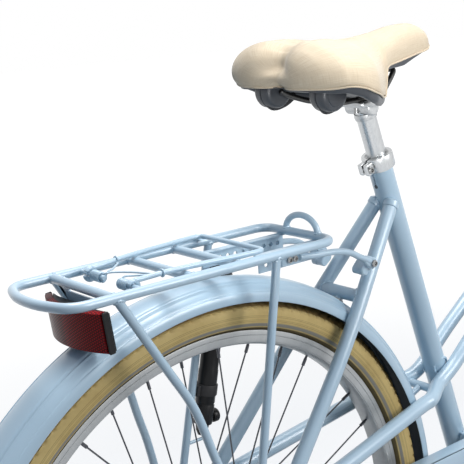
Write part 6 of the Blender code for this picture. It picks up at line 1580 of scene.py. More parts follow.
def cover_rings(over, under):
    """Rings along the saddle. Over the top: half width times a cosine to the power 0.86, and a
    rise of the sine to the power 0.70, less a groove along the tail's middle. Below: a floor
    arched by the fourth power. The tail's middle is then drawn forward, so it has two lobes."""
    xs = saddle_stations(0.002, 0.998, 96)
    wide, crown, hem, x = (row[:, None] for row in (*saddle_at(xs), xs))
    lean = np.linspace(0, np.pi, over)[None]
    y = wide * np.sign(np.cos(lean)) * np.abs(np.cos(lean)) ** 0.86
    tail = np.clip((0.27 - x) / 0.11, 0, 1)
    groove = 0.009 * np.exp(-((y / 0.021) ** 2)) * tail * np.clip((x - SADDLE_TAIL) / 0.014, 0, 1)
    lobe = 1 - 0.06 * np.clip((0.24 - x) / 0.08, 0, 1) * (np.abs(y) / wide) ** 2
    h = hem + (crown - hem) * np.abs(np.sin(lean)) ** 0.7 * lobe - groove
    floor_y = wide * np.linspace(-1, 1, under + 2)[None, 1:-1]
    rise = 0.35 * (crown - hem) * np.clip((x - 0.1225) / 0.03, 0, 1)
    floor_h = hem + rise * (1 - np.abs(floor_y / wide) ** 4)
    y, h = np.concatenate((y, floor_y), 1), np.concatenate((h, floor_h), 1)
    return tucked(np.stack((x + 0 * y, y, h), -1), hem)


# %% Padded cover
OVER, UNDER = 60, 24
rings = cover_rings(OVER, UNDER)
cover = piece(
    "saddle_cover_cloth", "seat", [(patch(world(capped(rings))), cloth)],
    "saddle_cover", sharp=70,
)
pinned = cover.vertex_groups.new(name="hem")
count = len(cover.data.vertices)
before = np.zeros(count * 3)
cover.data.vertices.foreach_get("co", before)
before = before.reshape(-1, 3)
x = before[:, 0] - REAR_AXLE_X
above = before[:, 2] - AXLE_HEIGHT - RAIL_H - curve(x, HEM_TABLE)
held = np.flatnonzero(above < 0.004)
pinned.add([int(k) for k in held], 1.0, "REPLACE")
solver = cover.modifiers.new("cloth", "CLOTH")
settings = solver.settings
settings.quality, settings.mass, settings.air_damping = 6, 0.25, 1.0
settings.tension_stiffness = settings.compression_stiffness = 25.0
settings.shear_stiffness, settings.bending_stiffness = 8.0, 4.0
settings.vertex_group_mass = "hem"
settings.use_pressure, settings.uniform_pressure_force = True, 4.0
settings.effector_weights.gravity = 0.0
solver.point_cache.frame_end = 20
for number in range(1, 21):
    bpy.context.scene.frame_set(number)
solved = cover.evaluated_get(bpy.context.evaluated_depsgraph_get()).to_mesh()
after = np.zeros(count * 3)
solved.vertices.foreach_get("co", after)
move = after.reshape(-1, 3) - before
reach = np.linalg.norm(move, axis=1, keepdims=True)
CAP = 0.0045
move *= np.minimum(1.0, CAP / np.maximum(reach, 1e-9))
cover.modifiers.remove(solver)
cover.data.vertices.foreach_set("co", (before + move).ravel())
cover.data.update()
bpy.context.scene.frame_set(1)
print("cover swelled by up to", round(float(reach.max()) * 1000, 1), "mm before its cap")
fine = cover.modifiers.new("fine", "SUBSURF")
fine.levels = fine.render_levels = 1

# %% Hem
edge_left, edge_right = rings[:, 0], rings[:, OVER - 1]
hem_line = np.vstack((edge_left, edge_right[::-1], rings[0, OVER:]))
far = np.linalg.norm(np.diff(hem_line, axis=0, append=hem_line[:1]), axis=1) > 0.0008
hem_line = hem_line[far] * (1, 0.992, 1) + (0, 0, 0.0004)
piece(
    "saddle_hem_fold", "seat",
    [(sweep(hem_line, ring(1.0, 12), 0.0012, closed=True, flat=(0, 0, 1)), cloth)],
)

# %% Base
drop_table = ((0.12, 0.15, 0.17, 0.2, 0.25, 0.27, 0.29, 0.33, 0.375, 0.392, 0.396),
              (0.002, 0.007, 0.0095, 0.011, 0.0105, 0.008, 0.005, 0.008, 0.001, 0.000, 0.0))


def base_rings():
    """Each ring runs round the shell's section: outer wall, lip, inner wall, ceiling, and back
    over the top just under the cover's floor."""
    rows = []
    for x in saddle_stations(0.06, 0.965, 90):
        wide, crown, hem = saddle_at(x)
        drop = float(np.interp(x, *drop_table))
        lip = min(0.012, wide * 0.3)
        y = np.linspace(-1, 1, 19)
        arch = 0.35 * (crown - hem) * np.clip((x - 0.1225) / 0.03, 0, 1) * (1 - np.abs(y) ** 4)
        over = np.column_stack((wide * 0.965 * y, hem + arch - 0.0012))
        low = hem + 0.002
        side = [(1.0, low), (0.995, hem - drop * 0.5), (0.975, hem - drop * 0.85), (0.945, hem - drop)]
        right = [(wide * 0.965 * s, h) for s, h in side]
        inner = [(wide * 0.945 - lip * 0.6, hem - drop), (wide * 0.965 - lip, hem - drop * 0.7),
                 (wide * 0.965 - lip, low)]
        z = np.linspace(1, -1, 11)
        reach = wide * 0.965 - lip
        ceiling = hem + arch.max() * 0.86 * (1 - np.abs(z) ** 4) - 0.0035
        under = np.column_stack((reach * z, np.maximum(ceiling, hem - 0.002)))
        left = [(-a, b) for a, b in reversed(right + inner)]
        rows.append(np.column_stack((np.full(19 + 7 + 11 + 7, x),
                                     np.vstack((over, right + inner, under, left)))))
    return np.array(rows)


shell = base_rings()
shell = tucked(shell, RAIL_H + curve(shell[..., 0], HEM_TABLE))
shell[..., 0] = CLAMP_X + (shell[..., 0] - CLAMP_X) * 0.985
parts = [(patch(world(capped(shell))), grey_pp)]
BUMPER_X, BUMPER_Y, BUMPER_H = 0.172, 0.048, 0.576
half = [(-0.014, 0.0), (-0.014, 0.015), (-0.0125, 0.0185), (-0.009, 0.0205)]
drum = [*half, (-0.001, 0.021), (-0.0004, 0.0194), (0.0008, 0.0194), (0.0014, 0.021), *mirrored(half)]
for side, _ in SIDES:
    centre = (BUMPER_X, side * BUMPER_Y, BUMPER_H)
    parts.append((lathe(drum, centre, (0, 1, 0), 48), grey_pp))
    cap = [(0.0, 0.0), (0.0, 0.015), (0.002, 0.014), (0.003, 0.011), (0.003, 0.0)]
    cap_at = (BUMPER_X, side * (BUMPER_Y + 0.0135), BUMPER_H)
    parts.append((lathe(cap, cap_at, (0, side, 0), 40), grey_pp))
    mount_at = (BUMPER_X + 0.002, side * BUMPER_Y, BUMPER_H + 0.016)
    parts.append((block(mount_at, (0.044, 0.026, 0.018), 0.005), grey_pp))
    foot = smooth([(BUMPER_X - 0.016, side * 0.048, BUMPER_H - 0.004),
                   (BUMPER_X - 0.004, side * 0.046, BUMPER_H - 0.019),
                   (BUMPER_X + 0.016, side * 0.044, BUMPER_H - 0.0165),
                   (BUMPER_X + 0.03, side * 0.04, BUMPER_H - 0.006)], 6)
    parts.append((tube(foot, 0.0042, 20, edge=0.003), black_rubber))
bridge = np.array([(BUMPER_X + 0.004, y, BUMPER_H + 0.006) for y in np.linspace(-0.036, 0.036, 5)])
parts.append((tube(bridge, 0.0065, 20), grey_pp))
piece("saddle_base_moulding", "seat", parts, "saddle_base")

# %% Rails and clamp
rail = [(0.168, 0.03, 0.577), (0.185, 0.028, 0.569), (0.215, 0.021, 0.56), (0.252, 0.021, 0.56),
        (0.29, 0.021, 0.56), (0.306, 0.016, 0.57), (0.328, 0.009, 0.587)]
rail_line = smooth([*rail, (0.3315, 0.0, 0.5895), *[(x, -y, h) for x, y, h in reversed(rail)]], 8)
piece("saddle_rail_wire", "seat", [(tube(rail_line, 0.0035, 24, edge=0.002), dark_steel)],
      "saddle_rails")
parts = []
for h, wall in ((0.5535, 0.0085), (0.5655, 0.008)):
    parts.append((block((CLAMP_X, 0, h), (0.036, 0.056, wall), 0.0026), cast_alloy))
half = [(-0.0215, 0.0), (-0.0215, 0.0085), (-0.02, 0.01)]
parts.append((lathe(half + mirrored(half), seat_point(0.548, 0.003), (0, 1, 0), 48), cast_alloy))
bolt = np.array([(CLAMP_X, 0.0, h) for h in (0.54, 0.556, 0.572)])
parts.append((tube(bolt, 0.0032, 20), zinc_steel))
parts.append((screw_head((CLAMP_X, 0.0, 0.569), (0, 0, 1), 0.0062, 0.005), zinc_steel))
collar = lathe([(0.0, 0.0128), (0.0, 0.0142), (0.0035, 0.0148), (0.008, 0.014), (0.008, 0.0128)],
               seat_point(0.533), SEAT_UP, 60, True)
parts.append((collar, cast_alloy))
piece("saddle_clamp_cast", "seat", parts, "saddle_clamp")
print("saddle:", made_faces, "faces")

# %% [markdown]
# ## Axles, mudguard stays and brake arm
# The rear axle carries cones, nuts and the arm that holds the back-pedal brake to the left
# chain stay. Wire stays run from each end round the back of the mudguard.

# %% Axles and stays
def axle_parts(x, radius, half, wall, across, reach):
    """Threaded rod with a nut and washer outside each end and a cone inside it."""
    line = np.array([(x, y, 0.0) for y in (-reach, 0.0, reach)])
    parts = [(tube(line, radius, 24, edge=0.0008), zinc_steel)]
    for side, _ in SIDES:
        outer = (x, side * (half + wall + GAP), 0.0)
        outside = domed_nut(outer, np.array((0, side, 0)), across, reach - half - wall)
        parts += [(shape, zinc_steel) for shape in outside]
        inner = (x, side * (half - GAP), 0.0)
        parts.append((nut(inner, (0, -side, 0), across, 0.0055, radius), zinc_steel))
    return parts


parts = axle_parts(0.0, 0.005, 0.0675, 0.0045, 0.0165, 0.0838)
arm_tip = (0.15, -0.036)
arm = np.vstack((
    arc((0, 0), 0.012, 35, 240, 14), [(0.018, -0.0275)], arc(arm_tip, 0.006, 262, 442, 12),
    [(0.027, -0.015)]
))
parts.append((plate(rounded(arm, 1, closed=True), 0.003, 0.063, pole=(0.01, -0.008)), zinc_steel))
stay_h = float(np.interp(arm_tip[0], (0.03, BRACKET_X), (0.001, -BRACKET_DROP)))
stay_y = float(np.interp(arm_tip[0], (0.03, 0.33), (0.06975, 0.0385)))
strap = lathe([(-0.006, STAY_R + 0.0002), (-0.006, STAY_R + 0.0012), (0.006, STAY_R + 0.0012),
               (0.006, STAY_R + 0.0002)],
              (arm_tip[0], stay_y, stay_h), (1, -0.104, -0.11), 40, True)
lug = block((arm_tip[0], (stay_y + 0.063) / 2, arm_tip[1] + 0.003),
            (0.012, 0.063 - stay_y + 0.003, 0.01), 0.0015)
bolt = screw_head((arm_tip[0], 0.0645, arm_tip[1]), (0, 1, 0), 0.0042, 0.0035)
parts += [(strap, zinc_steel), (lug, zinc_steel), (bolt, zinc_steel)]
piece("rear_axle_steel", "frame", parts, "rear_axle")
parts = axle_parts(WHEEL_BASE, 0.0045, 0.05, 0.0045, 0.015, 0.0663)
piece("front_axle_steel", "steering", parts, "front_axle")

STAY_WIRE = 0.0022
for word, x, turn, foot, foot_y, body in (
    ("rear", 0.0, 190.0, GUARD_EYE, 0.0784, "frame"),
    ("front", WHEEL_BASE, 183.0, (-0.0108, 0.0), 0.0579, "steering"),
):
    way = np.array((math.cos(math.radians(turn)), math.sin(math.radians(turn))))
    over, side_y = GUARD_CREST_R + STAY_WIRE + GAP, GUARD_HALF_WIDTH + STAY_WIRE + 2 * GAP
    spots = [(0.3307, side_y + 0.004), (over, side_y), (over, 0.0)]
    half = [(x + foot[0], foot_y, foot[1])]
    half = np.array(half + [(x + radius * way[0], y, radius * way[1]) for radius, y in spots])
    line = bent(np.vstack((half, (half[:-1] * MIRROR)[::-1])), 0.008, 8)
    parts = [(tube(line, STAY_WIRE, 16, edge=0.001), zinc_steel)]
    for side, _ in SIDES:
        eye = lathe([(-0.0022, 0.0032), (-0.0022, 0.0062), (0.0022, 0.0062), (0.0022, 0.0032)],
                    (x + foot[0], side * foot_y, foot[1]), (0, 1, 0), 28, True)
        parts.append((eye, zinc_steel))
        if word == "rear":
            head_at = (x + foot[0], side * (foot_y + 0.0022), foot[1])
            parts.append((screw_head(head_at, (0, side, 0), 0.0045, 0.0025), zinc_steel))
    piece(f"{word}_guard_stay_wire", body, parts, f"{word}_guard_stay")
print("axles:", made_faces, "faces")

# %% [markdown]
# ## Fork, stem and handlebar
# The fork's blades taper and bend forward from a round crown. The stem and the swept bar are
# aluminium; the grips are moulded rubber with rings for the fingers. A round lamp stands on
# the crown.

# %% Fork
CROWN_AT, BAR_AT, COLLAR_AT = 0.397, 0.672, 0.5853
parts = []
crown = np.array([steer_point(CROWN_AT, 0.0, y) for y in (-0.058, 0.0, 0.058)])
parts.append((tube(crown, 0.0162, 48, edge=0.003), enamel))
steerer = np.array([steer_point(at) for at in (CROWN_AT, 0.45, COLLAR_AT + 0.002)])
parts.append((tube(steerer, 0.0127, 40), enamel))
race = lathe([(0.0, 0.0128), (0.0, 0.0185), (0.004, 0.0205), (0.015, 0.0205), (0.016, 0.0128)],
             steer_point(0.3975), STEER_UP, 56, True)
lock = lathe([(0.0, 0.0115), (0.0, 0.0172), (0.0012, 0.0185), (0.0055, 0.0185),
              (0.006, 0.017), (0.013, 0.0162), (0.013, 0.0115)],
             steer_point(COLLAR_AT), STEER_UP, 48, True, sides_of(8) ** 0.6)
parts += [(race, bright_alloy), (lock, bright_alloy)]
for side, _ in SIDES:
    route = [steer_point(CROWN_AT, 0.0, side * 0.0465), steer_point(0.2, 0.0, side * 0.0475),
             steer_point(0.11, 0.009, side * 0.049), steer_point(0.016, 0.046, side * 0.05225)]
    line = smooth(route, 14)
    size = np.interp(np.linspace(0, 1, len(line)), (0, 0.4, 1), (0.0115, 0.0112, 0.0075))
    parts.append((tube(line, size, 40, edge=0.003), enamel))
    tip = steer_point(0.02, 0.046)
    outline = hull((WHEEL_BASE, 0.0), 0.0125, (tip[0], tip[2]), 0.0068, 56)
    dropout = eye_plate(outline, np.array((WHEEL_BASE, 0.0)), 0.0048, 0.0045, side * 0.05225)
    parts.append((dropout, enamel))
foot = np.array(steer_point(0.0, FORK_RAKE))
inward = foot - steer_point(CROWN_AT)
inward /= np.linalg.norm(inward)
boss = np.array([steer_point(CROWN_AT), foot - inward * (GUARD_CREST_R + 2 * GAP)])
parts.append((tube(boss, 0.005, 24), enamel))
piece("fork_enamelled", "steering", parts, "fork")

# %% Stem, bar and grips
clamp = np.array(steer_point(BAR_AT, 0.06))
neck = np.array([steer_point(at) for at in (0.5, 0.5986, 0.599, 0.64, BAR_AT + 0.01, BAR_AT + 0.012)])
neck_r = np.array((0.0111, 0.0111, 0.0125, 0.0125, 0.0125, 0.0105))
reach = np.array([steer_point(BAR_AT, forward) for forward in (0.0, 0.03, 0.06)])
half = [(-0.019, 0.013), (-0.019, 0.0165), (-0.0175, 0.0178)]
ring_part = lathe(half + mirrored(half), clamp, (0, 1, 0), 56, True)
parts = [
    (tube(neck, neck_r, 40), bright_alloy), (tube(reach, 0.012, 40), bright_alloy),
    (ring_part, bright_alloy),
    (screw_head(neck[-1], STEER_UP, 0.0062, 0.0045), zinc_steel),
    (screw_head(clamp - STEER_UP * 0.0165, -STEER_UP, 0.0045, 0.005), zinc_steel),
]
piece("stem_forged", "steering", parts, "stem")
half = [(0.0, 0.0, 0.0), (0.0, 0.028, 0.0), (0.004, 0.075, 0.012), (0.012, 0.14, 0.046),
        (-0.004, 0.21, 0.078), (-0.062, 0.262, 0.09), (-0.125, 0.283, 0.084), (-0.245, 0.3, 0.07)]
left_bar = clamp + smooth(half, 9)
bar_line = np.vstack((((left_bar - clamp) * MIRROR + clamp)[:0:-1], left_bar))
sleeve = [(-0.03, 0.0111), (-0.0285, 0.0126)]
sleeve += mirrored(sleeve)
piece(
    "handlebar_tube", "steering",
    [(tube(bar_line, 0.0109, 40, edge=0.001), bright_alloy),
     (lathe(sleeve, clamp, (0, 1, 0), 48), bright_alloy)],
    "handlebar",
)
for side, word in SIDES:
    start, end = (on_side(left_bar[k] - clamp, side) + clamp for k in (-10, -1))
    run = (end - start) / np.linalg.norm(end - start)
    tip = end + run * 0.0043
    rows = [(0.0, 0.0), (0.0, 0.012), (0.0015, 0.016), (0.006, 0.0168), (0.01, 0.016)]
    for k in range(11):
        at = 0.012 + k * 0.0092
        rows += [(at, 0.0152), (at + 0.0012, 0.0164), (at + 0.006, 0.0167), (at + 0.0078, 0.0158)]
    rows += [(0.115, 0.016), (0.118, 0.0168), (0.122, 0.016), (0.122, 0.0112)]
    grip = lathe(rows, tip, -run, 44)
    parts = [(grip, black_rubber)]
    piece(f"grip_rubber_{word}", "steering", parts, f"grip_{word}", sharp=45)

# %% Lamp
crown_x, _, crown_h = steer_point(CROWN_AT)
lamp_at = np.array((crown_x + 0.0725, 0.0, crown_h + 0.0758))
shell = [(-0.04, 0.0), (-0.0395, 0.006), (-0.037, 0.0125), (-0.026, 0.0224), (-0.012, 0.027),
         (-0.004, 0.028), (0.01, 0.028), (0.0125, 0.0272), (0.0125, 0.0245), (0.007, 0.0238),
         (-0.006, 0.015), (-0.01, 0.0)]
glass = [(0.009, 0.0), (0.009, 0.0243), (0.012, 0.025), (0.015, 0.021), (0.0172, 0.012), (0.018, 0.0)]
route = smooth([(crown_x + 0.015, 0, crown_h + 0.002), (crown_x + 0.0342, 0, crown_h + 0.012),
                (lamp_at[0] - 0.01, 0, lamp_at[2] - 0.0196)], 8)
parts = [(lathe(shell, lamp_at, (1, 0, 0), 64), bright_alloy),
         (lathe(glass, lamp_at, (1, 0, 0), 64), white_lens),
         (tube(route, 0.0035, 20, flat=(0, 1, 0)), zinc_steel),
         (nut(route[-1] + (0, 0, 0.001), (0.3, 0, 1), 0.009, 0.004), zinc_steel)]
piece("front_lamp_shell", "steering", parts, "front_lamp")
print("steering:", made_faces, "faces")

# %% [markdown]
# ## Drive
# Forged cranks turn a toothed ring with five arms; a roller chain runs back to the sprocket
# inside a case of enamelled sheet. The chain's links are one stack of equal grids, set along
# the line that touches both wheels' pitch circles.

# %% Cranks and chainring
CHAIN_Y, RING_R, SPROCKET_R = -0.048, 0.08894, 0.03638


def toothed(teeth, steps, middle_r, depth, hole_r, centre=(0, 0)):
    """Disc of 3 mm in the chain's plane: radius = middle + depth * cos(teeth * turn), its
    crests and feet cut off flat, with a round hole."""
    turn = np.arange(teeth * steps) * 2 * np.pi / (teeth * steps)
    way = np.column_stack((np.cos(turn), np.sin(turn)))
    tooth = np.clip(np.cos(teeth * turn) * 1.4, -0.7, 0.9)
    rim = centre + (middle_r + depth * tooth)[:, None] * way
    return plate(rim, 0.003, CHAIN_Y, 0.0006, centre + hole_r * way)


centre = np.array((BRACKET_X, -BRACKET_DROP))
spindle = np.array([(BRACKET_X, y, -BRACKET_DROP) for y in (-0.076, 0.0, 0.076)])
piece("crank_spindle_steel", "cranks", [(tube(spindle, 0.0085, 32, edge=0.001), zinc_steel)],
      "crank_spindle")
for side, word in SIDES:
    tip = centre - (side * 0.17, 0.0)
    middle = side * 0.0715
    inner = 0.0385 if side > 0 else 0.045
    boss = [(inner, 0.0088), (inner, 0.0165), (inner + 0.0015, 0.018)]
    boss += [(0.077, 0.018), (0.0785, 0.0165), (0.0785, 0.0088)]
    boss = [(side * along, radius) for along, radius in boss]
    cap = [(0.0, 0.0), (0.0, 0.014), (0.0012, 0.015), (0.0012, 0.0)]
    pin = np.array([(tip[0], side * y, tip[1]) for y in (0.07, 0.12, 0.1715)])
    parts = [
        (plate(hull(centre, 0.016, tip, 0.013, 72), 0.012, middle, 0.0028), bright_alloy),
        (lathe(boss, (BRACKET_X, 0, -BRACKET_DROP), steps=48, closed=True), bright_alloy),
        (lathe(cap, (BRACKET_X, side * 0.0785, -BRACKET_DROP), (0, side, 0), 40), bright_alloy),
        (tube(pin, 0.006, 28, edge=0.001), zinc_steel),
        (nut((tip[0], side * 0.0776, tip[1]), (0, side, 0), 0.015, 0.003), zinc_steel),
    ]
    if side < 0:
        parts.append((toothed(44, 6, 0.0829, 0.0015, 0.069, centre), bright_alloy))
        for k in range(5):
            lean = 2 * math.pi * k / 5
            end = centre + 0.073 * np.array((math.cos(lean), math.sin(lean)))
            arm = hull(centre, 0.0125, end, 0.0065, 40)
            parts.append((plate(arm, 0.0044, CHAIN_Y - 0.0018, 0.001), bright_alloy))
            bolt_at = (end[0], CHAIN_Y - 0.0038, end[1])
            parts.append((screw_head(bolt_at, (0, -1, 0), 0.0042, 0.0012), zinc_steel))
    piece(f"crank_forged_{word}", "cranks", parts, f"crank_{word}")

# %% Pedals
for side, word in SIDES:
    x, h = BRACKET_X - side * 0.17, -BRACKET_DROP
    middle = side * 0.1265
    half = [(-0.043, 0.0064), (-0.043, 0.0095), (-0.0415, 0.0105), (-0.02, 0.0085)]
    parts = [(lathe(half + mirrored(half), (x, middle, h), (0, 1, 0), 36, True), black_abs)]
    for end in (-1, 1):
        corners = ((-0.042, -0.01), (0.042, -0.01), (0.042, 0.01), (-0.042, 0.01))
        outline = rounded([(x + dx, h + dh) for dx, dh in corners], 3, True)
        cage = eye_plate(outline, np.array((x, h)), 0.0066, 0.004, middle + end * 0.0415)
        parts.append((cage, zinc_steel))
        for up in (-1, 1):
            bar_at = (x + end * 0.03, middle, h + up * 0.0068)
            parts.append((block(bar_at, (0.029, 0.079, 0.0095), 0.0018), black_rubber))
            for k in range(7):
                rib = (x + end * 0.03, middle + (k - 3) * 0.0112, h + up * 0.0112)
                parts.append((block(rib, (0.025, 0.0062, 0.0016), 0.0005, count=16), black_rubber))
    piece(f"pedal_block_{word}", f"pedal_{word}", parts, f"pedal_{word}")

# %% Chain and sprocket
run = -centre
length = float(np.linalg.norm(run))
base = math.degrees(math.atan2(run[1], run[0]))
lean = math.degrees(math.acos((RING_R - SPROCKET_R) / length))
loop = np.vstack((
    arc(centre, RING_R, base + lean, base + 360 - lean, 90),
    arc((0, 0), SPROCKET_R, base - lean, base + lean, 40),
))
steps = np.linalg.norm(np.roll(loop, -1, 0) - loop, axis=1)
total = float(steps.sum())
links = 2 * round(total / 0.0127 / 2)
at = np.arange(links + 1) * total / links
along = np.append(0, np.cumsum(steps))
closed_loop = np.vstack((loop, loop[:1]))
pins = np.column_stack([np.interp(at, along, closed_loop[:, k]) for k in (0, 1)])
middle, ahead = (pins[1:] + pins[:-1]) / 2, pins[1:] - pins[:-1]
ahead = ahead / np.linalg.norm(ahead, axis=1, keepdims=True)
square = np.column_stack((-ahead[:, 1], ahead[:, 0]))
turn = np.arange(12) * np.pi / 6
waist = np.where(np.abs(np.cos(turn)) < 0.1, 0.72, 1.0)
side_shape = np.column_stack((
    0.00635 * np.sign(np.round(np.cos(turn), 3)) + 0.0036 * np.cos(turn), 0.0039 * waist * np.sin(turn)
))
flat_shape = side_shape[None, :, :1] * ahead[:, None] + side_shape[None, :, 1:] * square[:, None]
flat_shape += middle[:, None]
stacks = []
for outward in (-1, 1):
    off = CHAIN_Y + outward * np.where(np.arange(links) % 2, 0.0018, 0.0029)
    rows = []
    for wall, share in ((-0.0005, 0.0), (-0.0005, 1.0), (0.0005, 1.0), (0.0005, 0.0)):
        outline = middle[:, None] + share * (flat_shape - middle[:, None])
        y = np.broadcast_to((off + wall)[:, None], outline.shape[:2])
        rows.append(np.stack((outline[..., 0], y, outline[..., 1]), -1))
    stacks.append((patch(world(np.stack(rows, 1))), chain_steel))
turn = np.arange(10) * np.pi / 5
rows = []
for y, radius in ((-0.0034, 0.0), (-0.0034, 0.0018), (0.0034, 0.0018), (0.0034, 0.0)):
    circle = pins[:-1, None] + radius * np.column_stack((np.cos(turn), np.sin(turn)))[None]
    rows.append(np.stack((circle[..., 0], np.full(circle.shape[:2], CHAIN_Y + y), circle[..., 1]), -1))
stacks.append((patch(world(np.stack(rows, 1))), chain_steel))
piece("chain_links", "frame", stacks, "chain", sharp=30)
parts = [(toothed(18, 8, 0.0303, 0.0014, 0.0125), dark_steel)]
piece("rear_sprocket_teeth", "rear_sprocket", parts, "rear_sprocket")

# %% Chain case
CASE_TOP, CASE_DEPTH, CASE_R, CASE_REAR, CASE_Y = 0.058, 0.045, 0.108, 0.052, -0.0585
high = np.vstack(([(CASE_REAR, CASE_TOP)], arc(centre, CASE_R, 90, -25, 40)))
low_end = [(x, CASE_TOP - CASE_DEPTH) for x in (BRACKET_X - 0.05, CASE_REAR)]
low = np.vstack((arc(centre, CASE_R - CASE_DEPTH, -25, 75, 30), low_end))
steps = 60


def spread(line, count):
    """Points at equal distances along a line."""
    along = np.append(0, np.cumsum(np.linalg.norm(np.diff(line, axis=0), axis=1)))
    at = np.linspace(0, along[-1], count)
    return np.column_stack([np.interp(at, along, line[:, k]) for k in range(line.shape[1])])


def folded(rows):
    """Sheet from rows of points along the case and a place across it, closed at both ends."""
    grid = [np.column_stack((line[:, 0], np.full(steps, y), line[:, 1])) for line, y in rows]
    return patch(world(capped(np.stack(grid, 1))))


top_line, low_line = spread(high, steps), spread(low[::-1], steps)
inward = low_line - top_line
wall_rows = (
    (0.0, 0.002), (0.0, 0.0), (0.04, -0.0008), (0.92, -0.0008),
    (0.97, 0.0002), (1.0, 0.0), (1.0, 0.002), (0.5, 0.0012),
)
wall = folded([(top_line + share * inward, CASE_Y + dy) for share, dy in wall_rows])
inward /= np.linalg.norm(inward, axis=1, keepdims=True)
roof_rows = ((0.0, CASE_Y), (0.0, -0.037), (0.0018, -0.037), (0.0018, CASE_Y))
roof = folded([(top_line + depth * inward, y) for depth, y in roof_rows])
seat_at = seat_point(CASE_TOP - 0.008)
parts = [
    (wall, enamel), (roof, enamel),
    (block((seat_at[0], -0.0272, seat_at[2]), (0.014, 0.0216, 0.012), 0.0015), enamel),
    (block((0.105, CASE_Y, 0.008), (0.014, 0.0016, 0.03), 0.0005), enamel),
]
piece("chain_case_sheet", "frame", parts, "chain_case")
print("drive:", made_faces, "faces")

# %% [markdown]
# ## Stand
# A two-legged stand swings on a cross tube below a bracket that is welded under the chain
# stays. Each leg ends in a rubber foot.

# %% Stand
PIVOT, STAND_LEAN = np.array((0.42, -0.09)), math.radians(8)
ground = -AXLE_HEIGHT


def stand_point(down, y):
    """Point of a leg, by its distance down from the pivot along the lean."""
    return (PIVOT[0] + down * math.sin(STAND_LEAN), y, PIVOT[1] - down * math.cos(STAND_LEAN))


sole = (PIVOT[1] - ground - 0.003) / math.cos(STAND_LEAN)
cross = np.array([(PIVOT[0], y, PIVOT[1]) for y in (-0.034, 0.0, 0.034)])
parts = [(tube(cross, 0.009, 36, edge=0.001), zinc_steel)]
for side, _ in SIDES:
    leg = ((0.0, 0.034), (0.06, 0.034), (0.13, 0.034), (0.15, 0.038), (0.2, 0.0735),
           (sole - 0.006, 0.1128))
    route = smooth([stand_point(down, side * y) for down, y in leg], 8)
    parts.append((tube(route, 0.007, 28), zinc_steel))
    foot_x = stand_point(sole, 0)[0]
    foot = [(0.0, 0.0), (0.0, 0.0118), (0.0015, 0.013), (0.005, 0.013), (0.0065, 0.0118),
            (0.014, 0.0092), (0.015, 0.0)]
    parts.append((lathe(foot, (foot_x, side * 0.115, ground + 0.0001), (0, 0, 1), 40), black_rubber))
piece("stand_tubes", "stand", parts, "stand")
stay_h = float(np.interp(PIVOT[0], (0.03, BRACKET_X), (0.001, -BRACKET_DROP)))
stay_y = float(np.interp(PIVOT[0], (0.33, BRACKET_X), (0.0385, 0.027)))
top = stay_h - STAY_R - GAP - 0.002
parts = [(block((PIVOT[0], 0, top - 0.002), (0.03, 2 * stay_y + 0.006, 0.004), 0.0008), enamel)]
outline = rounded([
    (PIVOT[0] - 0.013, top - 0.002), (PIVOT[0] + 0.013, top - 0.002), (PIVOT[0] + 0.0135, PIVOT[1]),
    (PIVOT[0] + 0.008, PIVOT[1] - 0.0135), (PIVOT[0] - 0.008, PIVOT[1] - 0.0135),
    (PIVOT[0] - 0.0135, PIVOT[1]),
], 2, True)
parts.append((eye_plate(outline, PIVOT, 0.0093, 0.034, 0.0, 0.0015), enamel))
parts.append((screw_head((PIVOT[0] - 0.008, 0.0, top), (0, 0, 1), 0.0045, 0.0018), zinc_steel))
piece("stand_bracket_cast", "frame", parts, "stand_bracket")
print("stand:", made_faces, "faces")

# %% [markdown]
# ## Nodes that keep their CAD shape
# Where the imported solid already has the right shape, it stays and only gets its finish.

# %% Finishes for CAD nodes
FINISH_OF_SLOT = {
    "blue_paint": enamel, "bare_alloy": cast_alloy, "dark_steel": zinc_steel,
    "tan_rubber": tan_rubber, "black_plastic": black_abs, "grey_plastic": grey_pp,
    "red_lens": reflex_red, "beige_cover": cloth,
}
slot_of = {row["node"]: row["material_slot"] for row in frame["record"]["subparts"]}
shown = [name for name, node in frame["nodes"].items() if not node.hide_render]
for name in shown:
    mesh = frame["nodes"][name].data
    mesh.materials.clear()
    mesh.materials.append(FINISH_OF_SLOT[slot_of[name]])
print("CAD nodes shown:", ", ".join(sorted(shown)))

# %% [markdown]
# ## Studio
# The photograph has a white background and soft light. Two broad lamps stand for it, one on the
# bicycle's right and one above, and a narrow one lights the saddle's side. The floor is pale;
# seen straight by the camera it adds white of its own, so that it fades into the background but
# keeps the shadow. The world is a dim blue grey to the object and white to the camera.

# %% Floor and world
FLOOR_REACH = 14.0
floor_mesh = bpy.data.meshes.new("floor")
floor_corners = [(x * FLOOR_REACH, y * FLOOR_REACH, 0) for x, y in ((-1, -1), (1, -1), (1, 1), (-1, 1))]
floor_mesh.from_pydata(floor_corners, [], [(0, 1, 2, 3)])
floor = bpy.data.objects.new("floor", floor_mesh)
bpy.context.scene.collection.objects.link(floor)
floor_finish, add = new_finish("matt_white_paint")
place = add("TexCoord", out="Object")
rays = {k: add("LightPath", out=f"Is {kind} Ray") for k, kind in enumerate(("Camera", "Glossy"))}
seen = add("Math", rays, operation="MAXIMUM")
cloud = add("TexNoise", {"Vector": place, "Scale": 3.0, "Detail": 2.0})
pale = add("ValToRGB", {"Fac": cloud}, stops=[(0.3, "EFEFEF"), (0.7, "F4F4F4")])
paint = add("BsdfPrincipled", {
    "Base Color": add("Mix", {"Factor": seen, 6: colour("70787F"), 7: pale}, 2, data_type="RGBA"),
    "Roughness": 0.9, "Specular IOR Level": 0.1,
})
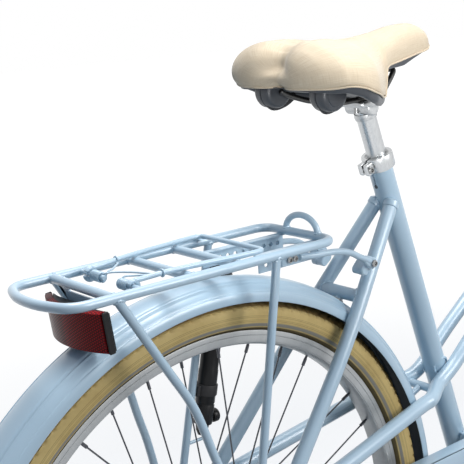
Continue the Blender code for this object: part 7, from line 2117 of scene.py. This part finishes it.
glow = add("Emission", {"Color": (1, 1, 1, 1), "Strength": 1.1})
near = add("Mapping", {"Vector": place, "Scale": (0.2, 0.2, 0.2)})
away = add("VectorMath", {0: near}, "Value", operation="LENGTH")
fade = add("ValToRGB", {"Fac": away}, stops=[(0.2, 0.55), (0.46, 0.96)])
share = add("Math", {0: seen, 1: fade}, operation="MULTIPLY")
add("OutputMaterial", {"Surface": add("MixShader", {0: share, 1: paint, 2: glow})})
floor_mesh.materials.append(floor_finish)

world_light = bpy.data.worlds.new("studio")
world_light.use_nodes = True
world_light.node_tree.nodes.clear()
add = partial(add_node, world_light.node_tree)
rays = {k: add("LightPath", out=f"Is {kind} Ray") for k, kind in enumerate(("Camera", "Glossy"))}
seen = add("Math", rays, operation="MAXIMUM")
room = add("Background", {"Color": (0.56, 0.7, 0.9, 1), "Strength": 0.33})
white = add("Background", {"Color": (1, 1, 1, 1), "Strength": 1.0})
add("OutputWorld", {"Surface": add("MixShader", {0: seen, 1: room, 2: white})})
bpy.context.scene.world = world_light

# %% Lamps
LAMPS = (
    ("key", "AREA", (0.6, -2.15, 1.8), (-0.35, 0.0, 0.75), 43.0),
    ("top", "AREA", (-0.25, 0.15, 2.9), (-0.35, 0.0, 0.75), 50.0),
    ("snoot", "SPOT", (-1.4, -1.75, 0.95), (-0.34, -0.02, 1.02), 120.0),
)
LAMP_SHAPES = {
    "AREA": {"size": 1.2},
    "SPOT": {"spot_size": math.radians(13), "spot_blend": 0.5, "shadow_soft_size": 0.2},
}
for name, kind, place, target, watts in LAMPS:
    lamp_data = bpy.data.lights.new(name, kind)
    lamp_data.energy = watts
    for key, value in LAMP_SHAPES[kind].items():
        setattr(lamp_data, key, value)
    lamp = bpy.data.objects.new(name, lamp_data)
    lamp.location = place
    lamp.rotation_euler = (Vector(target) - lamp.location).to_track_quat("-Z", "Y").to_euler()
    bpy.context.scene.collection.objects.link(lamp)
bpy.context.scene.view_settings.view_transform = "Standard"
print("lamps:", ", ".join(lamp[0] for lamp in LAMPS))
